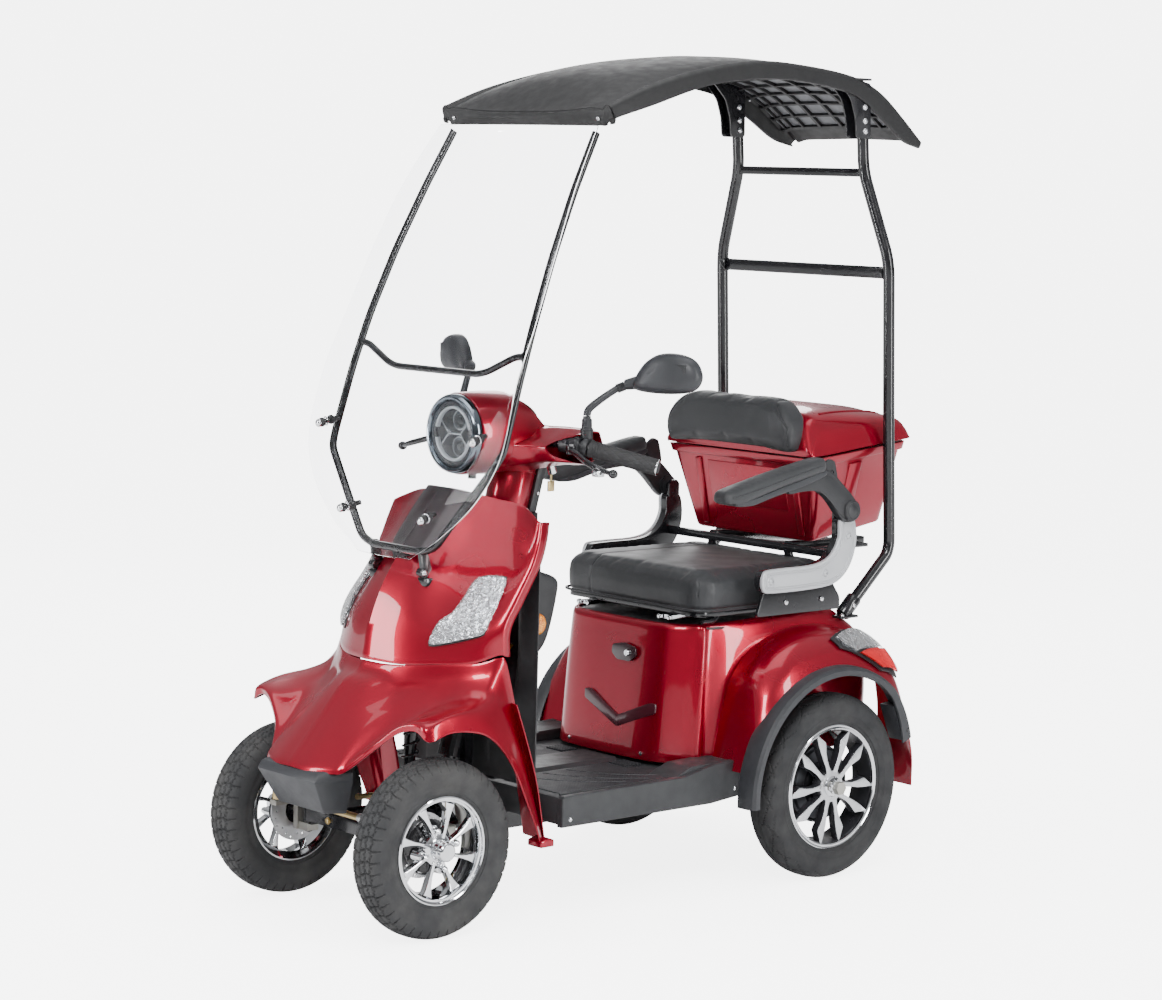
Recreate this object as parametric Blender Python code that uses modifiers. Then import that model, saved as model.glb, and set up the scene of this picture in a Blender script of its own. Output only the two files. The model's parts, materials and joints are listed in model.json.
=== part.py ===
"""Four-wheel mobility scooter with a roof and a windscreen.

Metres, +Z up, the front faces -Y and the rider's left is +X.
The origin is on the ground, under the middle of the overall length and width.
"""

from math import cos, pi, radians, sin

import bmesh
import bpy
from mathutils import Matrix, Vector

OBJECT_NAME = "mobility_scooter"

# ---- driving dimensions -------------------------------------------------
FRONT_AXLE_Y = -0.61
REAR_AXLE_Y = 0.41
FRONT_TYRE_R = 0.180
REAR_TYRE_R = 0.202
FRONT_WHEEL_X = 0.240
REAR_WHEEL_X = 0.320
TYRE_WIDTH = 0.080
FRONT_RIM_R = 0.108
REAR_RIM_R = 0.135

GAP = 0.0005
SHELL = 0.0035

KINGPIN_X = 0.165
STEER_ARM = 0.080
PITMAN_ARM = 0.064
STEER_TOP = Vector((0.0, -0.215, 0.900))
STEER_TILT = radians(15)
COLUMN_R = 0.014
HEAD_TUBE_R = 0.025
HEAD_TUBE_BORE = 0.017
LINK_Z = 0.215

SWING_Y = -0.37
SWING_Z = 0.185

FLOOR_Z = 0.250
SKIRT_Z = 0.190
FLOOR_HALF = 0.295

SEAT_FLOOR_Z = 0.587
CUSHION_TOP_Z = 0.672
CUSHION_HALF = 0.235
CUSHION_FRONT_Y = 0.105
CUSHION_REAR_Y = 0.545
ARM_X = 0.272
ARM_PIVOT = Vector((0.280, 0.490, 0.793))

LID_AXIS = Vector((0.0, 0.425, 0.900))

POST_R = 0.013
POST_X = 0.261
SCREEN_TUBE_R = 0.008

# ---- colours: (red, green, blue), roughness, metallic ---------------------
RED = ((0.42, 0.004, 0.018), 0.12, 0.55)
BLACK_PAINT = ((0.012, 0.012, 0.014), 0.22, 0.3)
BLACK_PLASTIC = ((0.035, 0.036, 0.040), 0.55, 0.0)
GREY_PLASTIC = ((0.060, 0.063, 0.070), 0.55, 0.0)
ROOF_BLACK = ((0.018, 0.018, 0.020), 0.60, 0.0)
RUBBER = ((0.022, 0.022, 0.024), 0.80, 0.0)
CHROME = ((0.80, 0.80, 0.82), 0.12, 1.0)
DARK_ALLOY = ((0.10, 0.10, 0.11), 0.30, 0.9)
STEEL = ((0.45, 0.45, 0.46), 0.35, 1.0)
ZINC = ((0.52, 0.42, 0.22), 0.35, 1.0)
LEATHER = ((0.020, 0.021, 0.023), 0.50, 0.0)
CLEAR = ((0.92, 0.95, 0.96), 0.03, 0.0)
LENS_RED = ((0.55, 0.02, 0.02), 0.10, 0.0)
LENS_WHITE = ((0.75, 0.76, 0.78), 0.10, 0.1)


# ---- scene helpers --------------------------------------------------------
def clear_scene():
    for old in list(bpy.data.objects):
        bpy.data.objects.remove(old, do_unlink=True)


def make_collection(name):
    collection = bpy.data.collections.new(name)
    bpy.context.scene.collection.children.link(collection)
    return collection


def principled(name, look):
    colour, roughness, metallic = look
    result = bpy.data.materials.new(name)
    result.use_nodes = True
    shader = result.node_tree.nodes["Principled BSDF"]
    shader.inputs["Base Color"].default_value = (*colour, 1.0)
    shader.inputs["Roughness"].default_value = roughness
    shader.inputs["Metallic"].default_value = metallic
    if look is CLEAR:
        shader.inputs["Transmission Weight"].default_value = 0.9
    return result


def mesh_object(name, mesh):
    result = bpy.data.objects.new(name, mesh)
    bpy.context.scene.collection.objects.link(result)
    return result


def object_from_bmesh(name, shape):
    mesh = bpy.data.meshes.new(name)
    shape.to_mesh(mesh)
    shape.free()
    return mesh_object(name, mesh)


def evaluated_mesh(source):
    graph = bpy.context.evaluated_depsgraph_get()
    return bpy.data.meshes.new_from_object(source.evaluated_get(graph))


def freeze(source):
    """Turn a curve or an object with modifiers into a plain mesh in world space."""
    bpy.context.view_layer.update()
    mesh = evaluated_mesh(source)
    mesh.transform(source.matrix_world)
    name = source.name
    bpy.data.objects.remove(source, do_unlink=True)
    shape = bmesh.new()
    shape.from_mesh(mesh)
    bmesh.ops.remove_doubles(shape, verts=shape.verts, dist=0.00001)
    bmesh.ops.recalc_face_normals(shape, faces=shape.faces)
    return object_from_bmesh(name, shape)


def boolean(target, other, operation):
    """Join or cut the target with another object, which is used up."""
    modifier = target.modifiers.new(operation.lower(), "BOOLEAN")
    modifier.operation = operation
    modifier.solver = "EXACT"
    modifier.object = other
    result = freeze(target)
    bpy.data.objects.remove(other, do_unlink=True)
    return result


def union(target, *others):
    for other in others:
        target = boolean(target, other, "UNION")
    return target


def cut(target, *others):
    for other in others:
        target = boolean(target, other, "DIFFERENCE")
    return target


def mirrored(source, name):
    """A separate copy on the other side of the centre plane."""
    shape = bmesh.new()
    shape.from_mesh(source.data)
    bmesh.ops.scale(shape, vec=(-1, 1, 1), verts=shape.verts)
    bmesh.ops.reverse_faces(shape, faces=shape.faces)
    return object_from_bmesh(name, shape)


def swapped(source, name):
    """The same part moved to the other side of the centre plane."""
    result = mirrored(source, name)
    bpy.data.objects.remove(source, do_unlink=True)
    return result


# ---- shape helpers ----------------------------------------------------------
def box(name, low, high, bevel=0.0):
    """A box between two corners, with its edges rounded by one bevel step."""
    low, high = Vector(low), Vector(high)
    shape = bmesh.new()
    bmesh.ops.create_cube(shape, size=1.0)
    bmesh.ops.scale(shape, vec=high - low, verts=shape.verts)
    bmesh.ops.translate(shape, vec=(low + high) / 2, verts=shape.verts)
    result = object_from_bmesh(name, shape)
    if bevel:
        modifier = result.modifiers.new("rounding", "BEVEL")
        modifier.width = bevel
        modifier.segments = 1
        result = freeze(result)
    return result


def rod(name, start, end, radius, end_radius=None, segments=12):
    """A round bar or cone between two points."""
    start, end = Vector(start), Vector(end)
    run = end - start
    shape = bmesh.new()
    bmesh.ops.create_cone(shape, cap_ends=True, segments=segments, radius1=radius,
                          radius2=radius if end_radius is None else end_radius, depth=run.length)
    turn = Vector((0, 0, 1)).rotation_difference(run.normalized()).to_matrix().to_4x4()
    bmesh.ops.transform(shape, matrix=Matrix.Translation((start + end) / 2) @ turn, verts=shape.verts)
    return object_from_bmesh(name, shape)


def ball(name, centre, radii, segments=12, rings=6):
    shape = bmesh.new()
    bmesh.ops.create_uvsphere(shape, u_segments=segments, v_segments=rings, radius=1.0)
    bmesh.ops.scale(shape, vec=radii, verts=shape.verts)
    bmesh.ops.translate(shape, vec=centre, verts=shape.verts)
    return object_from_bmesh(name, shape)


def tube(name, points, radius, sides=8, closed=False):
    """A bent tube through the points, as a curve with a round bevel and filled caps."""
    curve = bpy.data.curves.new(name, "CURVE")
    curve.dimensions = "3D"
    curve.bevel_depth = radius
    curve.bevel_resolution = sides // 4
    curve.use_fill_caps = True
    spline = curve.splines.new("POLY")
    spline.points.add(len(points) - 1)
    for knot, point in zip(spline.points, points):
        knot.co = (*point, 1.0)
    spline.use_cyclic_u = closed
    return freeze(mesh_object(name, curve))


def plate(name, outline, low_x, high_x):
    """A flat plate with its outline in the YZ plane, from low_x to high_x."""
    curve = bpy.data.curves.new(name, "CURVE")
    curve.dimensions = "2D"
    curve.fill_mode = "BOTH"
    curve.extrude = (high_x - low_x) / 2
    spline = curve.splines.new("POLY")
    spline.points.add(len(outline) - 1)
    for knot, (y, z) in zip(spline.points, outline):
        knot.co = (y, z, 0.0, 1.0)
    spline.use_cyclic_u = True
    flat = mesh_object(name, curve)
    flat.matrix_world = Matrix(((0, 0, 1, (low_x + high_x) / 2), (1, 0, 0, 0), (0, 1, 0, 0),
                                (0, 0, 0, 1)))
    return freeze(flat)


def turned(name, profile, centre, steps=24):
    """A closed ring turned about the X direction: the profile is (x, radius) pairs."""
    shape = bmesh.new()
    corners = [shape.verts.new((x, 0.0, r)) for x, r in profile]
    for first, second in zip(corners, corners[1:] + corners[:1]):
        shape.edges.new((first, second))
    ring = object_from_bmesh(name, shape)
    screw = ring.modifiers.new("turn", "SCREW")
    screw.axis = "X"
    screw.steps = steps
    screw.render_steps = steps
    screw.use_merge_vertices = True
    screw.merge_threshold = 0.00001
    ring.location = centre
    return freeze(ring)


def smooth_value(values, t):
    """Catmull-Rom interpolation through the values, with t from 0 to 1."""
    place = min(max(t, 0.0), 1.0) * (len(values) - 1)
    index = min(int(place), len(values) - 2)
    f = place - index
    b, c = values[index], values[index + 1]
    a = values[index - 1] if index > 0 else b * 2 - c
    d = values[index + 2] if index + 2 < len(values) else c * 2 - b
    return (b * 2 + (c - a) * f + (a * 2 - b * 5 + c * 4 - d) * f ** 2
            + (b * 3 - a - c * 3 + d) * f ** 3) / 2


def surface_point(rows, u, v):
    """A point on the smooth surface through a grid: u runs along a row, v from row to row."""
    return smooth_value([smooth_value([Vector(p) for p in row], u) for row in rows], v)


def sheet(name, rows, thickness, along, across, u_span=(0.0, 1.0), v_span=(0.0, 1.0),
          lift=0.0, mirror=True, flip=False):
    """A shell over part of a smooth surface, thickened inwards and mirrored over the centre plane."""
    def place(u, v):
        return surface_point(rows, u, v)

    shape = bmesh.new()
    grid = []
    for j in range(across + 1):
        v = v_span[0] + (v_span[1] - v_span[0]) * j / across
        line = []
        for i in range(along + 1):
            u = u_span[0] + (u_span[1] - u_span[0]) * i / along
            line.append(shape.verts.new(place(u, v)))
        grid.append(line)
    for low, high in zip(grid, grid[1:]):
        for i in range(along):
            corners = (low[i], low[i + 1], high[i + 1], high[i])
            shape.faces.new(corners[::-1] if flip else corners)
    shape.normal_update()
    if lift:
        moves = [(vert, vert.normal * lift) for vert in shape.verts]
        for vert, move in moves:
            vert.co += move
    result = object_from_bmesh(name, shape)
    if mirror:
        modifier = result.modifiers.new("halves", "MIRROR")
        modifier.merge_threshold = 0.0001
    modifier = result.modifiers.new("wall", "SOLIDIFY")
    modifier.thickness = thickness
    modifier.offset = -1.0
    return freeze(result)


def steer_point(z):
    """The point of the steering axis at height z."""
    run = (z - STEER_TOP.z) / cos(STEER_TILT)
    return STEER_TOP + Vector((0.0, sin(STEER_TILT), cos(STEER_TILT))) * run


# ---- surfaces shared by several parts ---------------------------------------
# Each row runs from the centre plane outwards; u = 1 is the outer edge.
SHIELD_ROWS = [
    [(0, -0.408, 0.862), (0.050, -0.400, 0.860), (0.100, -0.362, 0.847), (0.170, -0.338, 0.836),
     (0.236, -0.334, 0.808)],
    [(0, -0.440, 0.824), (0.054, -0.430, 0.822), (0.110, -0.392, 0.808), (0.182, -0.362, 0.792),
     (0.244, -0.347, 0.768)],
    [(0, -0.484, 0.772), (0.062, -0.466, 0.768), (0.122, -0.424, 0.754), (0.194, -0.392, 0.736),
     (0.247, -0.366, 0.721)],
    [(0, -0.546, 0.692), (0.072, -0.520, 0.686), (0.138, -0.474, 0.674), (0.204, -0.440, 0.662),
     (0.248, -0.406, 0.656)],
    [(0, -0.586, 0.606), (0.082, -0.562, 0.603), (0.150, -0.524, 0.599), (0.212, -0.482, 0.598),
     (0.249, -0.440, 0.600)],
    [(0, -0.602, 0.522), (0.088, -0.580, 0.521), (0.154, -0.546, 0.527), (0.214, -0.498, 0.532),
     (0.249, -0.441, 0.546)],
]
# Each column runs from the seam under the shield, over the step's crease and the wing's crest, to the hem.
GUARD_COLUMNS = [
    [(0, -0.603, 0.515), (0, -0.618, 0.500), (0, -0.655, 0.480),
     (0, -0.712, 0.412), (0, -0.772, 0.342), (0, -0.784, 0.324)],
    [(0.050, -0.592, 0.513), (0.050, -0.606, 0.498), (0.052, -0.640, 0.474),
     (0.052, -0.706, 0.409), (0.054, -0.767, 0.340), (0.055, -0.779, 0.322)],
    [(0.100, -0.575, 0.515), (0.098, -0.588, 0.492), (0.098, -0.606, 0.464),
     (0.102, -0.690, 0.400), (0.108, -0.748, 0.340), (0.110, -0.758, 0.322)],
    [(0.132, -0.560, 0.518), (0.130, -0.570, 0.495), (0.128, -0.586, 0.468),
     (0.130, -0.660, 0.398), (0.126, -0.728, 0.346), (0.126, -0.738, 0.328)],
    [(0.160, -0.543, 0.521), (0.160, -0.552, 0.495), (0.162, -0.572, 0.462),
     (0.164, -0.632, 0.412), (0.163, -0.694, 0.386), (0.163, -0.701, 0.370)],
    [(0.185, -0.524, 0.523), (0.187, -0.534, 0.495), (0.192, -0.560, 0.456),
     (0.200, -0.610, 0.434), (0.208, -0.676, 0.424), (0.209, -0.681, 0.408)],
    [(0.206, -0.506, 0.525), (0.210, -0.518, 0.497), (0.220, -0.548, 0.462),
     (0.236, -0.596, 0.448), (0.250, -0.664, 0.438), (0.253, -0.669, 0.420)],
    [(0.222, -0.490, 0.527), (0.227, -0.502, 0.500), (0.238, -0.532, 0.468),
     (0.258, -0.578, 0.454), (0.279, -0.656, 0.436), (0.290, -0.664, 0.404)],
    [(0.235, -0.472, 0.532), (0.240, -0.484, 0.505), (0.250, -0.512, 0.474),
     (0.268, -0.548, 0.459), (0.284, -0.606, 0.447), (0.292, -0.612, 0.416)],
    [(0.245, -0.454, 0.538), (0.248, -0.466, 0.512), (0.256, -0.488, 0.480),
     (0.271, -0.516, 0.461), (0.285, -0.558, 0.445), (0.292, -0.562, 0.413)],
    [(0.249, -0.440, 0.534), (0.251, -0.450, 0.505), (0.258, -0.463, 0.478),
     (0.272, -0.483, 0.456), (0.286, -0.513, 0.430), (0.292, -0.517, 0.400)],
    [(0.250, -0.427, 0.500), (0.252, -0.433, 0.475), (0.259, -0.442, 0.450),
     (0.272, -0.455, 0.425), (0.285, -0.473, 0.392), (0.291, -0.475, 0.366)],
    [(0.250, -0.408, 0.430), (0.252, -0.411, 0.412), (0.259, -0.415, 0.393),
     (0.271, -0.422, 0.370), (0.283, -0.434, 0.335), (0.291, -0.437, 0.315)],
    [(0.250, -0.388, 0.355), (0.252, -0.389, 0.342), (0.259, -0.391, 0.326),
     (0.270, -0.395, 0.306), (0.282, -0.404, 0.275), (0.290, -0.408, 0.256)],
    [(0.250, -0.363, 0.270), (0.252, -0.364, 0.262), (0.258, -0.366, 0.252),
     (0.269, -0.369, 0.240), (0.280, -0.376, 0.220), (0.288, -0.382, 0.205)],
    [(0.249, -0.338, 0.160), (0.252, -0.338, 0.158), (0.257, -0.340, 0.157),
     (0.267, -0.342, 0.157), (0.278, -0.352, 0.160), (0.286, -0.366, 0.166)],
]
GUARD_ROWS = [[column[level] for column in GUARD_COLUMNS] for level in range(6)]
BODY_ROWS = [
    [(0, 0.087, 0.556), (0.110, 0.088, 0.556), (0.150, 0.100, 0.556), (0.165, 0.085, 0.420),
     (0.150, 0.060, 0.262)],
    [(0, 0.130, 0.556), (0.130, 0.130, 0.556), (0.185, 0.135, 0.556), (0.212, 0.130, 0.420),
     (0.215, 0.125, 0.262)],
    [(0, 0.240, 0.556), (0.150, 0.240, 0.556), (0.215, 0.240, 0.540), (0.265, 0.235, 0.440),
     (0.325, 0.230, 0.262)],
    [(0, 0.330, 0.556), (0.160, 0.330, 0.556), (0.235, 0.330, 0.530), (0.315, 0.330, 0.500),
     (0.352, 0.330, 0.262)],
    [(0, 0.440, 0.556), (0.165, 0.440, 0.556), (0.240, 0.440, 0.538), (0.322, 0.440, 0.510),
     (0.356, 0.440, 0.262)],
    [(0, 0.540, 0.556), (0.165, 0.540, 0.556), (0.240, 0.540, 0.534), (0.315, 0.540, 0.490),
     (0.350, 0.540, 0.262)],
    [(0, 0.620, 0.530), (0.160, 0.618, 0.526), (0.230, 0.610, 0.500), (0.295, 0.605, 0.440),
     (0.325, 0.600, 0.262)],
    [(0, 0.655, 0.430), (0.150, 0.652, 0.425), (0.220, 0.642, 0.410), (0.275, 0.625, 0.370),
     (0.295, 0.618, 0.262)],
]
ROOF_ROWS = [
    [(0, -0.205, 1.592), (0.130, -0.205, 1.594), (0.215, -0.205, 1.600), (0.256, -0.205, 1.606),
     (0.262, -0.203, 1.606)],
    [(0, -0.222, 1.622), (0.130, -0.222, 1.624), (0.210, -0.220, 1.630), (0.258, -0.216, 1.634),
     (0.266, -0.205, 1.609)],
    [(0, -0.094, 1.708), (0.120, -0.094, 1.702), (0.200, -0.094, 1.690), (0.250, -0.094, 1.684),
     (0.263, -0.100, 1.643)],
    [(0, 0.068, 1.744), (0.115, 0.068, 1.740), (0.190, 0.068, 1.731), (0.240, 0.068, 1.724),
     (0.252, 0.068, 1.690)],
    [(0, 0.236, 1.762), (0.110, 0.236, 1.758), (0.180, 0.236, 1.751), (0.228, 0.236, 1.747),
     (0.240, 0.236, 1.711)],
    [(0, 0.390, 1.757), (0.105, 0.390, 1.754), (0.175, 0.390, 1.748), (0.218, 0.390, 1.744),
     (0.229, 0.390, 1.709)],
    [(0, 0.544, 1.738), (0.100, 0.544, 1.735), (0.165, 0.544, 1.731), (0.207, 0.544, 1.728),
     (0.217, 0.544, 1.688)],
    [(0, 0.640, 1.705), (0.098, 0.640, 1.703), (0.160, 0.640, 1.700), (0.200, 0.640, 1.698),
     (0.210, 0.640, 1.640)],
    [(0, 0.720, 1.655), (0.096, 0.720, 1.653), (0.158, 0.720, 1.650), (0.195, 0.718, 1.648),
     (0.204, 0.715, 1.596)],
    [(0, 0.790, 1.602), (0.096, 0.790, 1.600), (0.158, 0.788, 1.598), (0.192, 0.784, 1.596),
     (0.200, 0.775, 1.580)],
]


def screen_row(z, edge_y, half, bow=0.035):
    """One level of the windscreen: bowed forward in the middle."""
    return [(half * t, edge_y - bow * (1 - t * t) * min(1.0, half / 0.25), z) for t in (0, 0.35, 0.7,
                                                                                        1.0)]


SCREEN_ROWS = [screen_row(*level) for level in (
    (1.600, -0.232, 0.250), (1.470, -0.312, 0.275), (1.335, -0.376, 0.292), (1.200, -0.434, 0.304),
    (1.090, -0.482, 0.310), (0.955, -0.518, 0.311), (0.860, -0.538, 0.262), (0.780, -0.552, 0.170),
    (0.730, -0.558, 0.085))]


# ---- body panels -------------------------------------------------------------
def seat_base_front():
    """The front face of the box under the seat."""
    rows = [[(0, 0.078, 0.556), (0.070, 0.079, 0.556), (0.120, 0.083, 0.556), (0.147, 0.092, 0.556)],
            [(0, 0.064, 0.420), (0.070, 0.065, 0.420), (0.125, 0.069, 0.420), (0.162, 0.079, 0.420)],
            [(0, 0.050, 0.262), (0.070, 0.051, 0.262), (0.115, 0.052, 0.262), (0.147, 0.055, 0.262)]]
    add("seat_base_front", sheet("seat_base_front", rows, SHELL, 4, 3, flip=True), RED)


def front_panels():
    add("front_shield", sheet("front_shield", SHIELD_ROWS, SHELL, 6, 6, flip=True), RED)
    add("front_mudguard", sheet("front_mudguard", GUARD_ROWS, SHELL, 14, 5, flip=True), RED)
    lens = sheet("front_indicator_left", SHIELD_ROWS, 0.005, 2, 2, (0.5, 5 / 6), (0.5, 5 / 6),
                 lift=0.007, mirror=False, flip=True)
    add("front_indicator_right", mirrored(lens, "front_indicator_right"), LENS_WHITE)
    add("front_indicator_left", lens, LENS_WHITE)
    nose = plate("front_bumper", [(-0.715, 0.318), (-0.772, 0.318), (-0.790, 0.304), (-0.782, 0.252),
                                  (-0.765, 0.236), (-0.715, 0.236)], -0.118, 0.118)
    corner = plate("bumper_corner", [(-0.80, 0.20), (-0.80, 0.34), (-0.60, 0.34), (-0.60, 0.20)], -0.03,
                   0.03)
    corner.matrix_world = Matrix.Translation((0.150, 0.030, 0)) @ Matrix.Rotation(radians(20), 4, "Z")
    corner = freeze(corner)
    add("front_bumper", cut(nose, mirrored(corner, "bumper_corner_right"), corner), GREY_PLASTIC)


def inner_shield():
    """The rider's side of the leg shield, with the glove box bulging out of it."""
    wall, rows = -0.322, []
    for z, column, pocket in ((0.262, 0, 0), (0.370, 0, 0), (0.440, 0.026, 0), (0.510, 0.045, 0.030),
                              (0.560, 0.095, 0.095), (0.640, 0.115, 0.115), (0.685, 0.125, 0.110),
                              (0.708, 0.125, 0), (0.800, 0.125, 0)):
        rows.append([(0, wall + column, z), (0.055, wall + column, z), (0.075, wall + pocket, z),
                     (0.138, wall + pocket * 0.95, z), (0.150, wall, z), (0.215, wall - 0.004, z)])
    add("inner_shield", sheet("inner_shield", rows, 0.003, 5, 8), BLACK_PLASTIC)


def floor_pan():
    pan = box("floor_pan", (-FLOOR_HALF, -0.318, SKIRT_Z), (FLOOR_HALF, 0.185, FLOOR_Z), 0.006)
    hollow = box("floor_hollow", (-FLOOR_HALF + 0.005, -0.312, SKIRT_Z - 0.05),
                 (FLOOR_HALF - 0.005, 0.180, FLOOR_Z - 0.006))
    tunnel = box("floor_tunnel", (-0.055, -0.300, FLOOR_Z - 0.005), (0.055, 0.050, FLOOR_Z + 0.010),
                 0.004)
    add("floor_pan", union(cut(pan, hollow), tunnel), BLACK_PLASTIC)


def rear_body():
    shell = sheet("rear_body_shell", BODY_ROWS, SHELL, 6, 10)
    for side in (-1, 1):
        arch = rod("arch", (side * 0.232, REAR_AXLE_Y, REAR_TYRE_R),
                   (side * 0.45, REAR_AXLE_Y, REAR_TYRE_R),
                   0.262, segments=24)
        shell = cut(shell, arch)
        shell = cut(shell, rod("foot_hole", (side * 0.25, 0.527, 0.40), (side * 0.25, 0.527, 0.60),
                               0.020))
    add("rear_body_shell", shell, RED)
    start, end, steps = radians(184), radians(22), 14
    outer, inner = 0.2575, 0.238
    arc = [(REAR_AXLE_Y + outer * cos(start + (end - start) * i / steps),
            REAR_TYRE_R + outer * sin(start + (end - start) * i / steps)) for i in range(steps + 1)]
    arc += [(REAR_AXLE_Y + inner * cos(end + (start - end) * i / steps),
             REAR_TYRE_R + inner * sin(end + (start - end) * i / steps)) for i in range(steps + 1)]
    flare = plate("fender_flare_left", arc, 0.325, 0.374)
    add("fender_flare_right", mirrored(flare, "fender_flare_right"), GREY_PLASTIC)
    add("fender_flare_left", flare, GREY_PLASTIC)
    lens = sheet("tail_light_left", BODY_ROWS, 0.010, 2, 2, (0.5, 5 / 6), (0.8, 1.0),
                 lift=0.013, mirror=False)
    add("tail_light_right", mirrored(lens, "tail_light_right"), LENS_RED)
    add("tail_light_left", lens, LENS_RED)
    add("battery_pack", box("battery_pack", (-0.140, 0.192, 0.200), (0.140, 0.318, 0.420), 0.008),
        BLACK_PLASTIC)


# ---- chassis -------------------------------------------------------------------
def main_frame():
    frame = box("main_frame", (-0.085, -0.330, 0.150), (-0.050, 0.345, 0.185))
    right = box("rail", (0.050, -0.330, 0.150), (0.085, 0.345, 0.185))
    pieces = [right]
    for y in (-0.330, -0.10, 0.100, 0.310):
        pieces.append(box("cross", (-0.070, y, 0.154), (0.070, y + 0.030, 0.181)))
    pieces.append(rod("head_tube", steer_point(0.300), steer_point(0.800), HEAD_TUBE_R, segments=16))
    pieces.append(box("head_gusset", (-0.028, -0.356, 0.152), (0.028, -0.336, 0.420)))
    pieces.append(box("nose_cross", (-0.078, -0.354, 0.156), (0.078, -0.324, 0.179)))
    for side in (-1, 1):
        pieces.append(box("swing_ear", (side * 0.067 - 0.010, -0.390, 0.163),
                          (side * 0.067 + 0.010, -0.326, 0.207)))
        pieces.append(rod("upright", (side * 0.190, 0.500, 0.286), (side * 0.190, 0.500, 0.535), 0.015,
                          segments=8))
        pieces.append(tube("rear_loop", [(side * 0.068, 0.332, 0.172), (side * 0.085, 0.336, 0.290),
                                         (side * 0.110, 0.352, 0.300), (side * 0.187, 0.496, 0.306)],
                           0.011))
        pieces.append(rod("shock_arm", (side * -0.008, -0.338, 0.425), (side * 0.115, -0.560, 0.426),
                          0.013, segments=8))
    pieces.append(rod("rear_bar", (-0.190, 0.500, 0.520), (0.190, 0.500, 0.520), 0.014, segments=8))
    pieces.append(rod("seat_post", (0.0, 0.392, 0.292), (0.0, 0.392, 0.545), 0.022, segments=12))
    pieces.append(rod("seat_brace", (0.0, 0.390, 0.521), (0.0, 0.498, 0.521), 0.010, segments=8))
    pieces.append(rod("seat_cross", (-0.131, 0.390, 0.303), (0.131, 0.390, 0.303), 0.009, segments=8))
    frame = union(frame, *pieces)
    bore = rod("head_bore", steer_point(0.20), steer_point(0.90), HEAD_TUBE_BORE, segments=16)
    pivot = rod("swing_bore", (-0.2, SWING_Y, SWING_Z), (0.2, SWING_Y, SWING_Z), 0.0095, segments=12)
    add("main_frame", cut(frame, bore, pivot), BLACK_PAINT)


def rear_axle():
    case = rod("rear_axle_case", (-0.272, REAR_AXLE_Y, REAR_TYRE_R), (0.272, REAR_AXLE_Y, REAR_TYRE_R),
               0.026)
    motor = rod("motor", (-0.075, REAR_AXLE_Y, REAR_TYRE_R), (0.060, REAR_AXLE_Y, REAR_TYRE_R), 0.062)
    stub = rod("stub", (-0.366, REAR_AXLE_Y, REAR_TYRE_R), (0.366, REAR_AXLE_Y, REAR_TYRE_R), 0.010)
    nuts = [rod("nut", (s * 0.3625, REAR_AXLE_Y, REAR_TYRE_R), (s * 0.376, REAR_AXLE_Y, REAR_TYRE_R),
                0.015,
                segments=6) for s in (-1, 1)]
    case = union(case, motor, stub, *nuts)
    add("rear_axle_case", case, STEEL)


def roll_frame():
    def post(side):
        return tube("post", [(side * 0.250, 0.527, 0.552), (side * 0.262, 0.650, 0.680),
                             (side * 0.262, 0.657, 0.700),
                             (side * POST_X, 0.641, 1.000), (side * POST_X, 0.625, 1.310),
                             (side * 0.256, 0.622, 1.345),
                             (side * 0.200, 0.605, 1.510), (side * 0.195, 0.602, 1.540),
                             (side * 0.195, 0.590, 1.675)],
                    POST_R, sides=8)
    frame = union(post(1),
                  rod("low_bar", (-0.262, 0.627, 1.305), (0.262, 0.627, 1.305), 0.012, segments=8),
                  rod("top_bar", (-0.198, 0.603, 1.522), (0.198, 0.603, 1.522), 0.009, segments=8),
                  post(-1))
    for side in (-1, 1):
        frame = union(frame, box("clamp", (side * 0.25 - 0.022, 0.500, 0.5495),
                                 (side * 0.25 + 0.022, 0.556, 0.562)))
        frame = union(frame, box("bracket", (side * 0.195 - 0.009, 0.470, 1.640),
                                 (side * 0.195 + 0.009, 0.585, 1.668)))
    add("rear_roll_frame", frame, BLACK_PAINT)


def roof():
    add("roof_panel", sheet("roof_panel", ROOF_ROWS, 0.004, 5, 10), ROOF_BLACK)


def screen():
    add("windscreen", sheet("windscreen", SCREEN_ROWS, 0.004, 4, 9, flip=True), CLEAR)
    back = 0.018
    outline = [(0.225, -0.222, 1.585), (0.236, -0.286, 1.470), (0.250, -0.352, 1.335),
               (0.262, -0.408, 1.200),
               (0.268, -0.446, 1.090), (0.272, -0.486, 0.955), (0.262, -0.500, 0.925),
               (0.144, -0.524, 0.785),
               (0.120, -0.528, 0.755), (0.080, -0.530, 0.742)]
    path = [(x, y + back - 0.010, z) for x, y, z in outline]
    path += [(-x, y, z) for x, y, z in reversed(path)]
    frame = tube("windscreen_frame", path, SCREEN_TUBE_R, sides=8)
    bar = tube("cross_tube", [(0.264, -0.421, 1.143), (0.235, -0.421, 1.140), (0.145, -0.430, 1.100),
                              (-0.145, -0.430, 1.100), (-0.235, -0.421, 1.140), (-0.264, -0.421, 1.143)],
               SCREEN_TUBE_R * 0.9, sides=8)
    frame = union(frame, bar)
    for side in (-1, 1):
        frame = union(frame, tube("bracket",
                                  [(side * 0.078, -0.522, 0.742), (side * 0.078, -0.522, 0.716)],
                                  0.006, sides=8))
    add("windscreen_frame", frame, BLACK_PAINT)


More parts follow.
